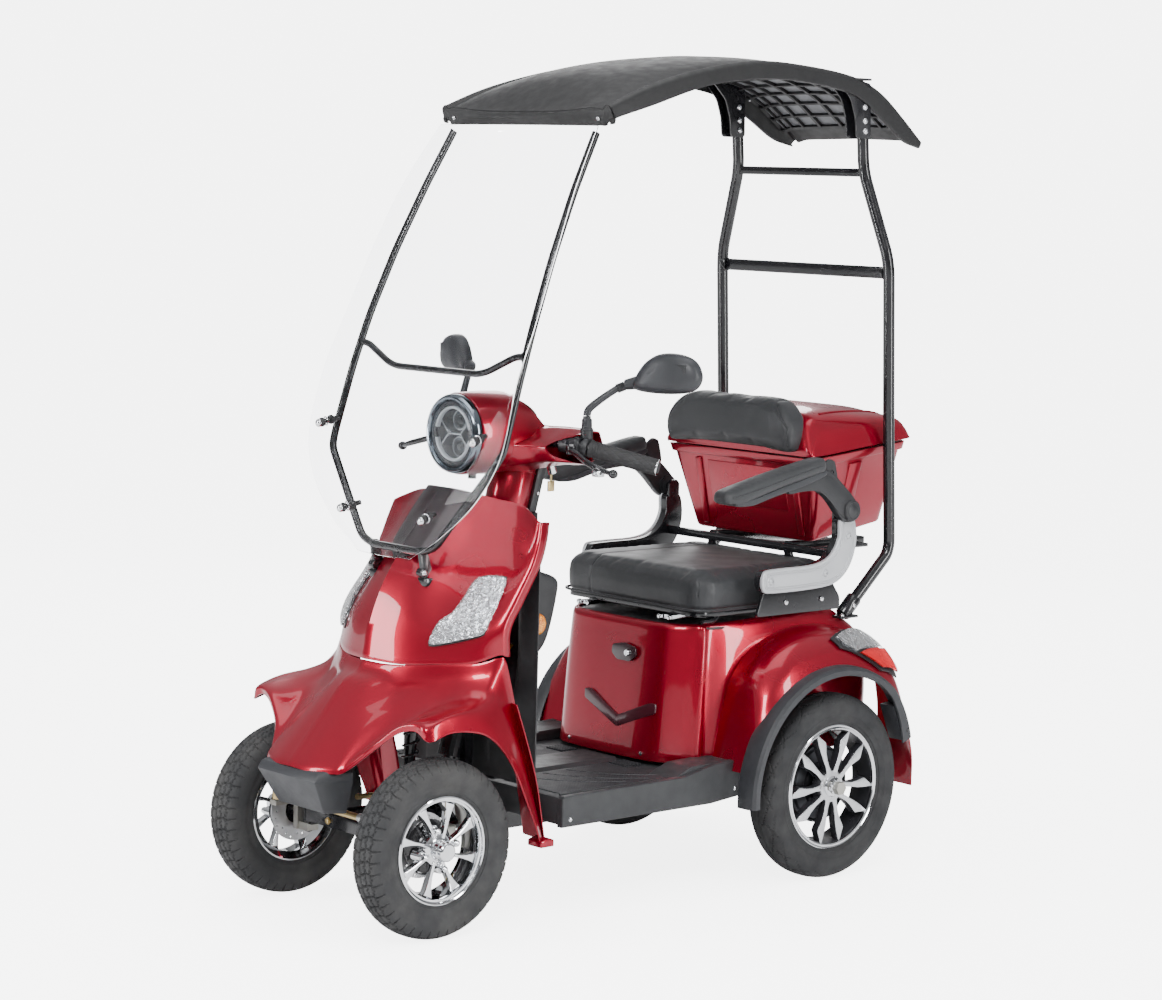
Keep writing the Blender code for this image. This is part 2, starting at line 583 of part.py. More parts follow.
# ---- wheels -----------------------------------------------------------------------
def tyre(name, centre, outer, bead):
    half = TYRE_WIDTH / 2
    profile = [(-half * 0.62, bead), (half * 0.62, bead), (half * 0.92, bead + 0.018),
               (half, (outer + bead) / 2 + 0.006),
               (half * 0.86, outer - 0.010), (half * 0.45, outer - 0.001), (0, outer),
               (-half * 0.45, outer - 0.001),
               (-half * 0.86, outer - 0.010), (-half, (outer + bead) / 2 + 0.006),
               (-half * 0.92, bead + 0.018)]
    add(name, turned(name, profile, centre), RUBBER)


def rim(name, centre, radius, look, bore, side):
    """Barrel, spoked disc and hub in one piece, with five openings and a bore for the axle."""
    half = TYRE_WIDTH / 2
    edge = radius - GAP
    profile = [(-half * 0.60, edge), (-half * 0.60, edge - 0.008), (half * 0.20, edge - 0.014),
               (half * 0.30, 0.040), (-half * 0.45, 0.034), (-half * 0.45, bore),
               (half * 0.92, bore), (half * 0.92, 0.030), (half * 0.62, 0.042),
               (half * 0.62, edge - 0.016),
               (half * 0.60, edge)]
    wheel = turned(name, [(x * side, r) for x, r in (profile if side > 0 else profile[::-1])], centre)
    for index in range(5):
        angle = 2 * pi * index / 5
        reach = (radius + 0.026) / 2
        spot = Vector(centre) + Vector((0, cos(angle), sin(angle))) * reach
        hole = rod("window", spot - Vector((0.06, 0, 0)), spot + Vector((0.06, 0, 0)),
                   (radius - 0.055) / 2.4, segments=6)
        wheel = cut(wheel, hole)
    add(name, wheel, look)


def wheels():
    for side, word in ((1, "left"), (-1, "right")):
        centre = (side * FRONT_WHEEL_X, FRONT_AXLE_Y, FRONT_TYRE_R)
        tyre("front_tyre_" + word, centre, FRONT_TYRE_R, FRONT_RIM_R)
        rim("front_rim_" + word, centre, FRONT_RIM_R, CHROME, 0.0095, side)
        centre = (side * REAR_WHEEL_X, REAR_AXLE_Y, REAR_TYRE_R)
        tyre("rear_tyre_" + word, centre, REAR_TYRE_R, REAR_RIM_R)
        rim("rear_rim_" + word, centre, REAR_RIM_R, DARK_ALLOY, 0.0115, side)


# ---- front axle and steering linkage --------------------------------------------------
def front_axle():
    z = FRONT_TYRE_R
    beam = box("front_axle_beam", (-0.156, FRONT_AXLE_Y - 0.018, z - 0.014),
               (0.156, FRONT_AXLE_Y + 0.018, z + 0.014))
    parts = []
    for side in (-1, 1):
        parts.append(rod("kingpin", (side * KINGPIN_X, FRONT_AXLE_Y, z - 0.040),
                         (side * KINGPIN_X, FRONT_AXLE_Y, z + 0.040), 0.008))
        parts.append(box("eye", (side * KINGPIN_X - 0.011, FRONT_AXLE_Y - 0.011, z - 0.014),
                         (side * KINGPIN_X + 0.011, FRONT_AXLE_Y + 0.011, z + 0.014)))
        parts.append(rod("swing_arm", (side * 0.106, FRONT_AXLE_Y, z), (side * 0.092, SWING_Y, SWING_Z),
                         0.013, segments=8))
        parts.append(box("shock_foot", (side * 0.115 - 0.012, FRONT_AXLE_Y + 0.012, z),
                         (side * 0.115 + 0.012, FRONT_AXLE_Y + 0.040, z + 0.030)))
    parts.append(rod("swing_tube", (-0.100, SWING_Y, SWING_Z), (0.100, SWING_Y, SWING_Z), 0.0085))
    add("front_axle_beam", union(beam, *parts), BLACK_PAINT)
    for side, word in ((1, "left"), (-1, "right")):
        knuckle(side, word)
    tie = rod("tie_rod", (-KINGPIN_X + 0.010, FRONT_AXLE_Y - STEER_ARM, LINK_Z + 0.012),
              (KINGPIN_X - 0.010, FRONT_AXLE_Y - STEER_ARM, LINK_Z + 0.012), 0.007, segments=10)
    for side in (-1, 1):
        eye = Vector((side * KINGPIN_X, FRONT_AXLE_Y - STEER_ARM, LINK_Z))
        tie = union(tie, rod("tie_eye", eye + Vector((0, 0, 0.0035)), eye + Vector((0, 0, 0.021)),
                             0.0115))
        tie = cut(tie, rod("tie_bore", eye - Vector((0, 0, 0.01)), eye + Vector((0, 0, 0.03)), 0.0055,
                           segments=12))
    add("tie_rod", tie, ZINC)


def knuckle(side, word):
    z = FRONT_TYRE_R
    body = box("front_knuckle_" + word,
               (min(side * 0.180, side * 0.194), FRONT_AXLE_Y - 0.018, z - 0.036),
               (max(side * 0.180, side * 0.194), FRONT_AXLE_Y + 0.018, z + 0.036))
    inner, outer = sorted((side * (KINGPIN_X - 0.014), side * 0.190))
    parts = [box("upper_ear", (inner, FRONT_AXLE_Y - 0.014, z + 0.020),
                 (outer, FRONT_AXLE_Y + 0.014, z + 0.036)),
             box("lower_ear", (inner, FRONT_AXLE_Y - 0.014, z - 0.036),
                 (outer, FRONT_AXLE_Y + 0.014, z - 0.020)),
             box("steering_arm", (side * KINGPIN_X - 0.010, FRONT_AXLE_Y - STEER_ARM - 0.012, z + 0.026),
                 (side * KINGPIN_X + 0.010, FRONT_AXLE_Y, z + 0.036)),
             rod("ball_stud", (side * KINGPIN_X, FRONT_AXLE_Y - STEER_ARM, z + 0.030),
                 (side * KINGPIN_X, FRONT_AXLE_Y - STEER_ARM, LINK_Z + 0.024), 0.0045, segments=12),
             rod("stub_axle", (side * 0.190, FRONT_AXLE_Y, z), (side * 0.282, FRONT_AXLE_Y, z), 0.008,
                 segments=12),
             rod("hub_nut", (side * 0.279, FRONT_AXLE_Y, z), (side * 0.290, FRONT_AXLE_Y, z), 0.013,
                 segments=6)]
    body = union(body, *parts)
    bore = rod("kingpin_bore", (side * KINGPIN_X, FRONT_AXLE_Y, z - 0.06),
               (side * KINGPIN_X, FRONT_AXLE_Y, z + 0.06), 0.0092)
    add("front_knuckle_" + word, cut(body, bore), STEEL)


def shocks():
    for side, word in ((1, "left"), (-1, "right")):
        foot = Vector((side * 0.115, FRONT_AXLE_Y + 0.026, FRONT_TYRE_R + 0.0325))
        head = Vector((side * 0.115, FRONT_AXLE_Y + 0.048, 0.4115))
        run = (head - foot).normalized()
        lower = rod("front_shock_rod_" + word, foot, foot + run * 0.045, 0.005, segments=10)
        cup = rod("cup", foot + run * 0.004, foot + run * 0.012, 0.019, segments=12)
        add("front_shock_rod_" + word, union(lower, cup), STEEL)
        upper = rod("front_shock_body_" + word, head - run * 0.100, head, 0.011, segments=12)
        top = rod("cap", head - run * 0.014, head - run * 0.004, 0.019, segments=12)
        add("front_shock_body_" + word, union(upper, top), BLACK_PLASTIC)
        low, high = foot + run * 0.0135, head - run * 0.0155
        turns, per_turn = 5, 8
        side_a = run.orthogonal().normalized()
        side_b = run.cross(side_a)
        points = []
        for index in range(turns * per_turn + 1):
            t = index / (turns * per_turn)
            angle = 2 * pi * turns * t
            middle = low.lerp(high, 0.02 + 0.96 * t)
            points.append(middle + (side_a * cos(angle) + side_b * sin(angle)) * 0.0155)
        add("front_spring_" + word, tube("front_spring_" + word, points, 0.0024, sides=4), STEEL)


def steering():
    column = rod("steering_column", steer_point(0.225), steer_point(0.930), COLUMN_R, segments=12)
    axis = (steer_point(0.9) - steer_point(0.2)).normalized()
    ahead = Vector((0, -cos(STEER_TILT), sin(STEER_TILT)))
    root = steer_point(0.238)
    arm = rod("pitman_arm", root, root + ahead * PITMAN_ARM, 0.007, segments=8)
    stud = rod("pitman_stud", root + ahead * PITMAN_ARM - axis * 0.028, root + ahead * PITMAN_ARM,
               0.0045, segments=12)
    bar = tube("handlebar", [(-0.330, -0.124, 0.918), (-0.190, -0.213, 0.955), (-0.140, -0.226, 0.955),
                             (0.140, -0.226, 0.955), (0.190, -0.213, 0.955), (0.330, -0.124, 0.918)],
               0.0105)
    column = union(column, arm, stud, bar,
                   rod("stem", steer_point(0.90), (0, -0.226, 0.955), 0.017, segments=12))
    for side in (-1, 1):
        column = union(column, box("lever_clamp", (side * 0.196 - 0.008, -0.222, 0.938),
                                   (side * 0.196 + 0.008, -0.185, 0.972), 0.003))
        column = union(column, box("mirror_boss", (side * 0.200 - 0.009, -0.205, 0.960),
                                   (side * 0.200 + 0.009, -0.187, 0.985)))
    add("steering_column", column, BLACK_PAINT)
    end = root + ahead * PITMAN_ARM - axis * 0.020
    drag_end = Vector((0.072, FRONT_AXLE_Y - 0.058, LINK_Z + 0.045))
    link = rod("drag_link", end, drag_end, 0.006, segments=8)
    link = union(link, rod("link_eye", end - axis * 0.007, end + axis * 0.007, 0.0115, segments=12))
    add("drag_link", cut(link,
                         rod("link_bore", end - axis * 0.02, end + axis * 0.02, 0.0056, segments=12)),
        ZINC)


def handlebar_cover():
    housing = rod("handlebar_cover", (0, -0.372, 0.969), (0, -0.290, 0.975), 0.082, 0.084, segments=24)
    housing = union(housing,
                    rod("hood", (0, -0.291, 0.975), (0, -0.175, 0.968), 0.084, 0.040, segments=24))
    housing = union(housing, box("yoke", (-0.075, -0.270, 0.905), (0.075, -0.180, 0.975), 0.010))
    for side in (-1, 1):
        wing = plate("wing", [(-0.262, 0.915), (-0.262, 0.965), (-0.235, 0.985), (-0.190, 0.985),
                              (-0.180, 0.975),
                              (-0.180, 0.915)], 0.03, 0.175)
        housing = union(housing, wing if side > 0 else swapped(wing, "wing_right"))
    room = [rod("bar_room", (-0.30, -0.226, 0.955), (0.30, -0.226, 0.955), 0.0125),
            box("end_room_left", (0.132, -0.260, 0.930), (0.200, -0.190, 0.975)),
            box("end_room_right", (-0.200, -0.260, 0.930), (-0.132, -0.190, 0.975)),
            rod("column_room", steer_point(0.80), steer_point(0.945), 0.020),
            rod("stem_room", steer_point(0.860), (0, -0.2275, 0.962), 0.0205),
            rod("lamp_room", (0, -0.42, 0.9655), (0, -0.325, 0.9725), 0.0725, segments=24)]
    add("handlebar_cover", cut(housing, *room), RED)
    lamp = rod("headlamp", (0, -0.388, 0.968), (0, -0.328, 0.9725), 0.0715, segments=24)
    bezel = rod("bezel", (0, -0.388, 0.968), (0, -0.3735, 0.9690), 0.0800, segments=24)
    add("headlamp", union(lamp, bezel), CHROME)


def grips_and_levers():
    inner, outer = Vector((0.214, -0.1977, 0.9487)), Vector((0.330, -0.124, 0.918))
    run = (outer - inner).normalized()
    for side, name in ((1, "grip_left"), (-1, "throttle_grip")):
        grip = rod(name, inner, outer + run * 0.006, 0.0165, segments=16)
        grip = cut(grip, rod("grip_bore", inner - run * 0.02, outer + run * 0.0006, 0.0120, segments=16))
        add(name, grip if side > 0 else swapped(grip, name), RUBBER)
        word = "left" if side > 0 else "right"
        lever = rod("brake_lever_" + word, (0.196, -0.233, 0.945), (0.345, -0.215, 0.912), 0.0060,
                    segments=8)
        lever = union(lever, ball("tip", (0.350, -0.2145, 0.911), (0.010, 0.010, 0.010), 10, 6),
                      rod("lever_boss", (0.196, -0.2335, 0.936), (0.196, -0.2335, 0.956), 0.009,
                          segments=12))
        lever_name = "brake_lever_" + word
        add(lever_name, lever if side > 0 else swapped(lever, lever_name), BLACK_PAINT)


def mirrors():
    for side, word in ((1, "left"), (-1, "right")):
        stem = tube("mirror_stem_" + word,
                    [(0.200, -0.196, 0.9855), (0.200, -0.196, 1.010), (0.206, -0.188, 1.028),
                                            (0.246, -0.140, 1.078)], 0.0075)
        stem = union(stem, ball("stem_ball", (0.250, -0.134, 1.083), (0.010, 0.010, 0.010), 10, 6))
        head = ball("mirror_head_" + word, (0, 0, 0), (0.078, 0.016, 0.045), 14, 8)
        head.matrix_world = Matrix.Translation((0.333, -0.110, 1.118)) @ Matrix.Rotation(radians(10), 4,
                                                                                         "Z") \
            @ Matrix.Rotation(radians(-12), 4, "Y")
        head = cut(freeze(head), ball("socket", (0.250, -0.134, 1.083), (0.0115, 0.0115, 0.0115), 12, 8))
        names = ("mirror_stem_" + word, "mirror_head_" + word)
        if side < 0:
            stem, head = swapped(stem, names[0]), swapped(head, names[1])
        add(names[0], stem, BLACK_PLASTIC)
        add(names[1], head, BLACK_PLASTIC)


# ---- seat, armrests and trunk ---------------------------------------------------------
def seat():
    rails = box("seat_rails", (-0.145, 0.110, 0.5645), (-0.115, 0.510, 0.5725))
    rails = union(rails, box("rail_left", (0.115, 0.110, 0.5645), (0.145, 0.510, 0.5725)),
                  box("rail_tie", (-0.130, 0.200, 0.5660), (0.130, 0.240, 0.5705)),
                  box("rail_tie_rear", (-0.130, 0.400, 0.5660), (0.130, 0.440, 0.5705)))
    add("seat_rails", rails, CHROME)
    frame = box("seat_frame", (-0.210, 0.130, 0.5735), (0.210, 0.520, 0.5800))
    outline = [(0.255, 0.628), (0.243, 0.640), (0.243, 0.662), (0.255, 0.674), (0.400, 0.676),
               (0.445, 0.690),
               (0.468, 0.725), (0.474, 0.775), (0.506, 0.775), (0.524, 0.745), (0.520, 0.690),
               (0.490, 0.648),
               (0.440, 0.628)]
    for side in (-1, 1):
        low, high = sorted((side * (ARM_X - 0.010), side * (ARM_X + 0.008)))
        frame = union(frame, plate("arm_support", outline, low, high))
        low, high = sorted((side * 0.200, side * (ARM_X - 0.004)))
        frame = union(frame, box("side_web", (low, 0.330, 0.5735), (high, 0.480, 0.5800)))
        low, high = sorted((side * (ARM_X - 0.014), side * (ARM_X - 0.006)))
        frame = union(frame, box("side_plate", (low, 0.300, 0.5735), (high, 0.490, 0.640)))
        frame = union(frame, rod("trunk_bar_arm", (side * 0.262, 0.480, 0.695),
                                 (side * 0.150, 0.500, 0.690), 0.008,
                                 segments=8))
        frame = union(frame, rod("pivot_pin", (side * (ARM_X - 0.012), 0.490, 0.793),
                                 (side * 0.300, 0.490, 0.793),
                                 0.008, segments=12),
                      box("pin_lug", (min(side * (ARM_X - 0.014), side * (ARM_X - 0.006)), 0.474, 0.770),
                          (max(side * (ARM_X - 0.014), side * (ARM_X - 0.006)), 0.506, 0.805)))
    frame = union(frame, box("trunk_bar", (-0.160, 0.492, 0.684), (0.160, 0.700, 0.696)))
    add("seat_frame", frame, BLACK_PAINT)
    add("seat_cushion", box("seat_cushion", (-CUSHION_HALF, CUSHION_FRONT_Y, SEAT_FLOOR_Z - 0.006),
                            (CUSHION_HALF, CUSHION_REAR_Y, CUSHION_TOP_Z), 0.018), LEATHER)


def armrests():
    link = [(0.470, 0.812), (0.474, 0.776), (0.490, 0.770), (0.506, 0.776), (0.511, 0.793),
            (0.500, 0.812),
            (0.462, 0.862), (0.440, 0.885), (0.410, 0.872), (0.300, 0.846), (0.200, 0.826),
            (0.205, 0.818),
            (0.300, 0.826), (0.400, 0.846)]
    pad = [(0.112, 0.818), (0.104, 0.830), (0.106, 0.846), (0.120, 0.856), (0.250, 0.886), (0.395, 0.914),
           (0.408, 0.908), (0.410, 0.874), (0.300, 0.842), (0.180, 0.818)]
    for side, word in ((1, "left"), (-1, "right")):
        name = "armrest_" + word
        rest = plate(name, pad, 0.258, 0.306)
        rest = union(rest, plate("armrest_link", link, 0.2815, 0.2995),
                     rod("pivot_cap", (0.2815, 0.490, 0.793), (0.3085, 0.490, 0.793), 0.023, segments=16))
        bore = rod("pivot_bore", (0.27, 0.490, 0.793), (0.301, 0.490, 0.793), 0.0095, segments=12)
        rest = cut(rest, bore)
        add(name, rest if side > 0 else swapped(rest, name), BLACK_PLASTIC)


def trunk():
    outer = [(0.185, 0.486, 0.712), (0.185, 0.713, 0.745), (0.226, 0.444, 0.903), (0.236, 0.730, 0.934)]

    def shell(name, inset, low_drop, rise):
        """A tapered box from the trunk's floor to its lip."""
        (x0, y0, z0), (_, y1, z1), (x2, y2, z2), (x3, y3, z3) = outer
        low = [(-x0 + inset, y0 + inset, z0 + low_drop), (x0 - inset, y0 + inset, z0 + low_drop),
               (x0 - inset, y1 - inset, z1 + low_drop), (-x0 + inset, y1 - inset, z1 + low_drop)]
        high = [(-x2 + inset, y2 + inset, z2 + rise), (x2 - inset, y2 + inset, z2 + rise),
                (x3 - inset, y3 - inset, z3 + rise), (-x3 + inset, y3 - inset, z3 + rise)]
        shape = bmesh.new()
        bottom = [shape.verts.new(p) for p in low]
        top = [shape.verts.new(p) for p in high]
        shape.faces.new(bottom[::-1])
        shape.faces.new(top)
        for i in range(4):
            shape.faces.new((bottom[i], bottom[(i + 1) % 4], top[(i + 1) % 4], top[i]))
        return object_from_bmesh(name, shape)

    add("trunk_box", cut(shell("trunk_box", 0.0, 0.0, 0.0), shell("hollow", 0.004, 0.004, 0.02)), RED)
    lid_rows = [
        [(0, 0.432, 0.9045), (0.120, 0.432, 0.9045), (0.200, 0.432, 0.9045), (0.226, 0.435, 0.9050),
         (0.229, 0.437, 0.9050)],
        [(0, 0.430, 0.930), (0.120, 0.430, 0.930), (0.198, 0.432, 0.928), (0.224, 0.436, 0.920),
         (0.232, 0.445, 0.9060)],
        [(0, 0.448, 0.990), (0.110, 0.448, 0.989), (0.186, 0.452, 0.982), (0.214, 0.470, 0.960),
         (0.235, 0.480, 0.9090)],
        [(0, 0.500, 1.002), (0.105, 0.500, 1.001), (0.180, 0.500, 0.996), (0.218, 0.520, 0.968),
         (0.238, 0.530, 0.9150)],
        [(0, 0.600, 1.004), (0.100, 0.600, 1.003), (0.174, 0.600, 0.998), (0.222, 0.610, 0.978),
         (0.242, 0.620, 0.9260)],
        [(0, 0.690, 0.998), (0.098, 0.690, 0.997), (0.165, 0.690, 0.990), (0.222, 0.700, 0.980),
         (0.246, 0.710, 0.9360)],
        [(0, 0.738, 0.972), (0.098, 0.738, 0.971), (0.165, 0.736, 0.968), (0.220, 0.732, 0.964),
         (0.246, 0.728, 0.9390)],
        [(0, 0.750, 0.942), (0.098, 0.750, 0.942), (0.165, 0.750, 0.942), (0.218, 0.746, 0.941),
         (0.240, 0.736, 0.9400)],
    ]
    lid = sheet("trunk_lid", lid_rows, 0.0035, 6, 9)
    add("trunk_lid", lid, RED)


def backrest():
    pad = plate("backrest_pad",
                [(0.405, 0.930), (0.396, 0.950), (0.404, 0.985), (0.424, 1.020), (0.440, 1.032),
                                 (0.462, 1.030), (0.464, 1.012), (0.4405, 0.992), (0.4245, 0.925),
                 (0.412, 0.922)],
                -0.185, 0.185)
    add("backrest_pad", pad, LEATHER)


# ---- assembly --------------------------------------------------------------------------
JOINT_ORIGINS = {
    "steering": (STEER_TOP, ("steering_column", "handlebar_cover", "headlamp")),
    "front_axle": (Vector((0, SWING_Y, SWING_Z)),
                   ("front_axle_beam", "front_shock_rod_left", "front_shock_rod_right")),
    "trunk_lid_hinge": (LID_AXIS, ("trunk_lid", "backrest_pad")),
}


def add(name, part, look):
    """Name the finished part, colour it and put it in the scooter's collection."""
    part.name = name
    part.data.name = name
    part.data.materials.clear()
    part.data.materials.append(principled(name, look))
    part.data.shade_smooth()
    part.data.set_sharp_from_angle(angle=radians(35))
    for collection in list(part.users_collection):
        collection.objects.unlink(part)
    bpy.data.collections[OBJECT_NAME].objects.link(part)


def place_on_axis(part, point):
    """Put the part's origin on its joint's axis without moving its shape."""
    part.data.transform(Matrix.Translation(-Vector(point)))
    part.location = point


def moving_origins():
    for axis_name, (point, names) in JOINT_ORIGINS.items():
        holder = bpy.data.objects.new(axis_name + "_axis", None)
        holder.empty_display_size = 0.05
        holder.location = point
        bpy.data.collections[OBJECT_NAME].objects.link(holder)
        for name in names:
            part = bpy.data.objects[name]
            place_on_axis(part, point)
            part.parent = holder
            part.location = (0, 0, 0)
    for side, word in ((1, "left"), (-1, "right")):
        singles = {
            "front_knuckle_": (side * KINGPIN_X, FRONT_AXLE_Y, FRONT_TYRE_R),
            "front_rim_": (side * FRONT_WHEEL_X, FRONT_AXLE_Y, FRONT_TYRE_R),
            "front_tyre_": (side * FRONT_WHEEL_X, FRONT_AXLE_Y, FRONT_TYRE_R),
            "rear_rim_": (side * REAR_WHEEL_X, REAR_AXLE_Y, REAR_TYRE_R),
            "rear_tyre_": (side * REAR_WHEEL_X, REAR_AXLE_Y, REAR_TYRE_R),
            "armrest_": (side * ARM_PIVOT.x, ARM_PIVOT.y, ARM_PIVOT.z),
            "mirror_stem_": (side * 0.200, -0.196, 0.985),
            "mirror_head_": (side * 0.250, -0.134, 1.083),
            "brake_lever_": (side * 0.196, -0.2335, 0.945),
        }
        for prefix, point in singles.items():
            place_on_axis(bpy.data.objects[prefix + word], point)


def build():
    clear_scene()
    make_collection(OBJECT_NAME)
    main_frame()
    floor_pan()
    front_panels()
    inner_shield()
    rear_body()
    seat_base_front()
    rear_axle()
    roll_frame()
    roof()
    screen()
    wheels()
    front_axle()
    shocks()
    steering()
    handlebar_cover()
    grips_and_levers()
    mirrors()
    seat()
    armrests()
    trunk()
    backrest()
    moving_origins()


build()
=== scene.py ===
"""Looks for the four-wheel mobility scooter with a roof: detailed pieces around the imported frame.

Metres, +Z up, the front faces -Y and the rider's left is +X.
"""
import json
from math import cos, pi, radians, sin

import bmesh
import bpy
from mathutils import Matrix, Vector, noise
from mathutils.bvhtree import BVHTree

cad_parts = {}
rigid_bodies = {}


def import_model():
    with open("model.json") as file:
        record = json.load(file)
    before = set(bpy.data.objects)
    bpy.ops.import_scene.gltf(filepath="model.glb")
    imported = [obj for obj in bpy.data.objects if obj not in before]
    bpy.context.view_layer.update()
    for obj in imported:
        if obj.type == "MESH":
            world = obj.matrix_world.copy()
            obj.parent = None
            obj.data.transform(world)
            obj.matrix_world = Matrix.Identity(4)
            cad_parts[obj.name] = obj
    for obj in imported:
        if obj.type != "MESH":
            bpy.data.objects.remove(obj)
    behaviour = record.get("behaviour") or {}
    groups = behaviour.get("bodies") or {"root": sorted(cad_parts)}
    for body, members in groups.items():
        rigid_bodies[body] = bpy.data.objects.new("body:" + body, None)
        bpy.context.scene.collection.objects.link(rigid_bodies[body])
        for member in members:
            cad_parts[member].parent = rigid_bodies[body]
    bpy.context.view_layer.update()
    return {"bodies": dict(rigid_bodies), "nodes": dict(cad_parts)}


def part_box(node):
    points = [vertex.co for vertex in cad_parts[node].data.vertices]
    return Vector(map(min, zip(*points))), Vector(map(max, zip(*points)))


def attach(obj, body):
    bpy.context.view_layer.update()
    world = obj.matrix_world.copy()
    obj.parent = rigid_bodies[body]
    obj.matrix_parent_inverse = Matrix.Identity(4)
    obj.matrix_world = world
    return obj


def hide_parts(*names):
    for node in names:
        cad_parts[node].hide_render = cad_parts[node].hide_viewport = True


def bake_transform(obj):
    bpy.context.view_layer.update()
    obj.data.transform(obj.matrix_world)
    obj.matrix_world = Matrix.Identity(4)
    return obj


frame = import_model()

nodes, bodies = frame["nodes"], frame["bodies"]


def middle(name):
    low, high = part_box(name)
    return (Vector(low) + Vector(high)) / 2


# ---- places read from the frame -------------------------------------------
FRONT_HUB = middle("front_tyre_left")
REAR_HUB = middle("rear_tyre_left")
FRONT_R = (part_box("front_tyre_left")[1][2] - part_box("front_tyre_left")[0][2]) / 2
REAR_R = (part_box("rear_tyre_left")[1][2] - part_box("rear_tyre_left")[0][2]) / 2
TYRE_HALF = (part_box("front_tyre_left")[1][0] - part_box("front_tyre_left")[0][0]) / 2
FRONT_RIM_R = (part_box("front_rim_left")[1][2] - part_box("front_rim_left")[0][2]) / 2
REAR_RIM_R = (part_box("rear_rim_left")[1][2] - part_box("rear_rim_left")[0][2]) / 2
SIDES = ((1, "left"), (-1, "right"))


# ---- materials -----------------------------------------------------------------
class Look:
    """A procedural material: a Principled shader with noise-driven colour, roughness and bump."""

    def __init__(self, name, colour, roughness, metallic=0.0, **shader_values):
        self.material = bpy.data.materials.new(name)
        self.material.use_nodes = True
        self.tree = self.material.node_tree
        self.shader = self.tree.nodes["Principled BSDF"]
        self.colour = colour
        self.set("Base Color", (*colour, 1.0))
        self.set("Roughness", roughness)
        self.set("Metallic", metallic)
        for label, value in shader_values.items():
            self.set(label.replace("_", " ").title().replace("Ior", "IOR"), value)
        self.place = self.node("ShaderNodeTexCoord").outputs["Object"]
        self.last_bump = None

    def set(self, label, value):
        self.shader.inputs[label].default_value = value

    def node(self, kind):
        return self.tree.nodes.new(kind)

    def link(self, source, target):
        self.tree.links.new(source, target)

    def noise(self, scale, detail=3.0, roughness=0.5, distortion=0.0):
        texture = self.node("ShaderNodeTexNoise")
        texture.inputs["Scale"].default_value = scale
        texture.inputs["Detail"].default_value = detail
        texture.inputs["Roughness"].default_value = roughness
        texture.inputs["Distortion"].default_value = distortion
        self.link(self.place, texture.inputs["Vector"])
        return texture.outputs["Fac"]

    def cells(self, scale, feature="F1", randomness=1.0):
        texture = self.node("ShaderNodeTexVoronoi")
        texture.feature = feature
        texture.inputs["Scale"].default_value = scale
        texture.inputs["Randomness"].default_value = randomness
        self.link(self.place, texture.inputs["Vector"])
        return texture.outputs["Distance"]

    def spread(self, source, low, high, start=0.3, end=0.7):
        """A value from 0 to 1 turned into a range of values."""
        ranged = self.node("ShaderNodeMapRange")
        for label, value in (("From Min", start), ("From Max", end), ("To Min", low), ("To Max", high)):
            ranged.inputs[label].default_value = value
        self.link(source, ranged.inputs["Value"])
        return ranged.outputs["Result"]

    def tint(self, source, first, second, start=0.3, end=0.7):
        ramp = self.node("ShaderNodeValToRGB")
        ramp.color_ramp.elements[0].position = start
        ramp.color_ramp.elements[1].position = end
        ramp.color_ramp.elements[0].color = (*first, 1.0)
        ramp.color_ramp.elements[1].color = (*second, 1.0)
        self.link(source, ramp.inputs["Fac"])
        self.link(ramp.outputs["Color"], self.shader.inputs["Base Color"])
        return self

    def rough(self, source, low, high, start=0.3, end=0.7):
        self.link(self.spread(source, low, high, start, end), self.shader.inputs["Roughness"])
        return self

    def bump(self, source, strength, depth):
        bump = self.node("ShaderNodeBump")
        bump.inputs["Strength"].default_value = strength
        bump.inputs["Distance"].default_value = depth
        self.link(source, bump.inputs["Height"])
        if self.last_bump:
            self.link(self.last_bump, bump.inputs["Normal"])
        self.last_bump = bump.outputs["Normal"]
        self.link(self.last_bump, self.shader.inputs["Normal"])
        return self


def shade(colour, factor):
    return tuple(min(c * factor, 1.0) for c in colour)


def lacquer(name, colour, metallic=0.55):
    look = Look(name, colour, 0.30, metallic, coat_weight=0.85, coat_roughness=0.03, coat_ior=1.45)
    look.tint(look.noise(2600, 1.0), shade(colour, 0.78), shade(colour, 1.25))
    look.rough(look.noise(5, 4.0), 0.26, 0.34)
    look.bump(look.noise(90, 2.0), 0.012, 0.002)
    return look.material


def moulded(name, colour, roughness, grain=900, depth=0.25):
    look = Look(name, colour, roughness)
    look.tint(look.noise(14, 5.0, 0.6), shade(colour, 0.85), shade(colour, 1.18))
    look.rough(look.noise(40, 4.0), roughness - 0.07, roughness + 0.08)
    look.bump(look.noise(grain, 2.0), depth, 0.0006)
    return look.material


def painted(name, colour, roughness=0.25):
    look = Look(name, colour, roughness, 0.2, coat_weight=0.5, coat_roughness=0.12)
    look.tint(look.noise(25, 4.0), shade(colour, 0.8), shade(colour, 1.3))
    look.rough(look.noise(60, 3.0), roughness - 0.05, roughness + 0.08)
    look.bump(look.noise(420, 2.0), 0.10, 0.0004)
    return look.material


def leatherette(name, colour):
    look = Look(name, colour, 0.46, 0.0, sheen_weight=0.06, specular_ior_level=0.45)
    look.tint(look.noise(9, 5.0, 0.6), shade(colour, 0.82), shade(colour, 1.2))
    look.rough(look.noise(18, 5.0), 0.40, 0.54)
    look.bump(look.noise(14, 4.0, 0.55, 0.4), 0.16, 0.004)
    look.bump(look.cells(620, "DISTANCE_TO_EDGE"), 0.28, 0.0005)
    return look.material


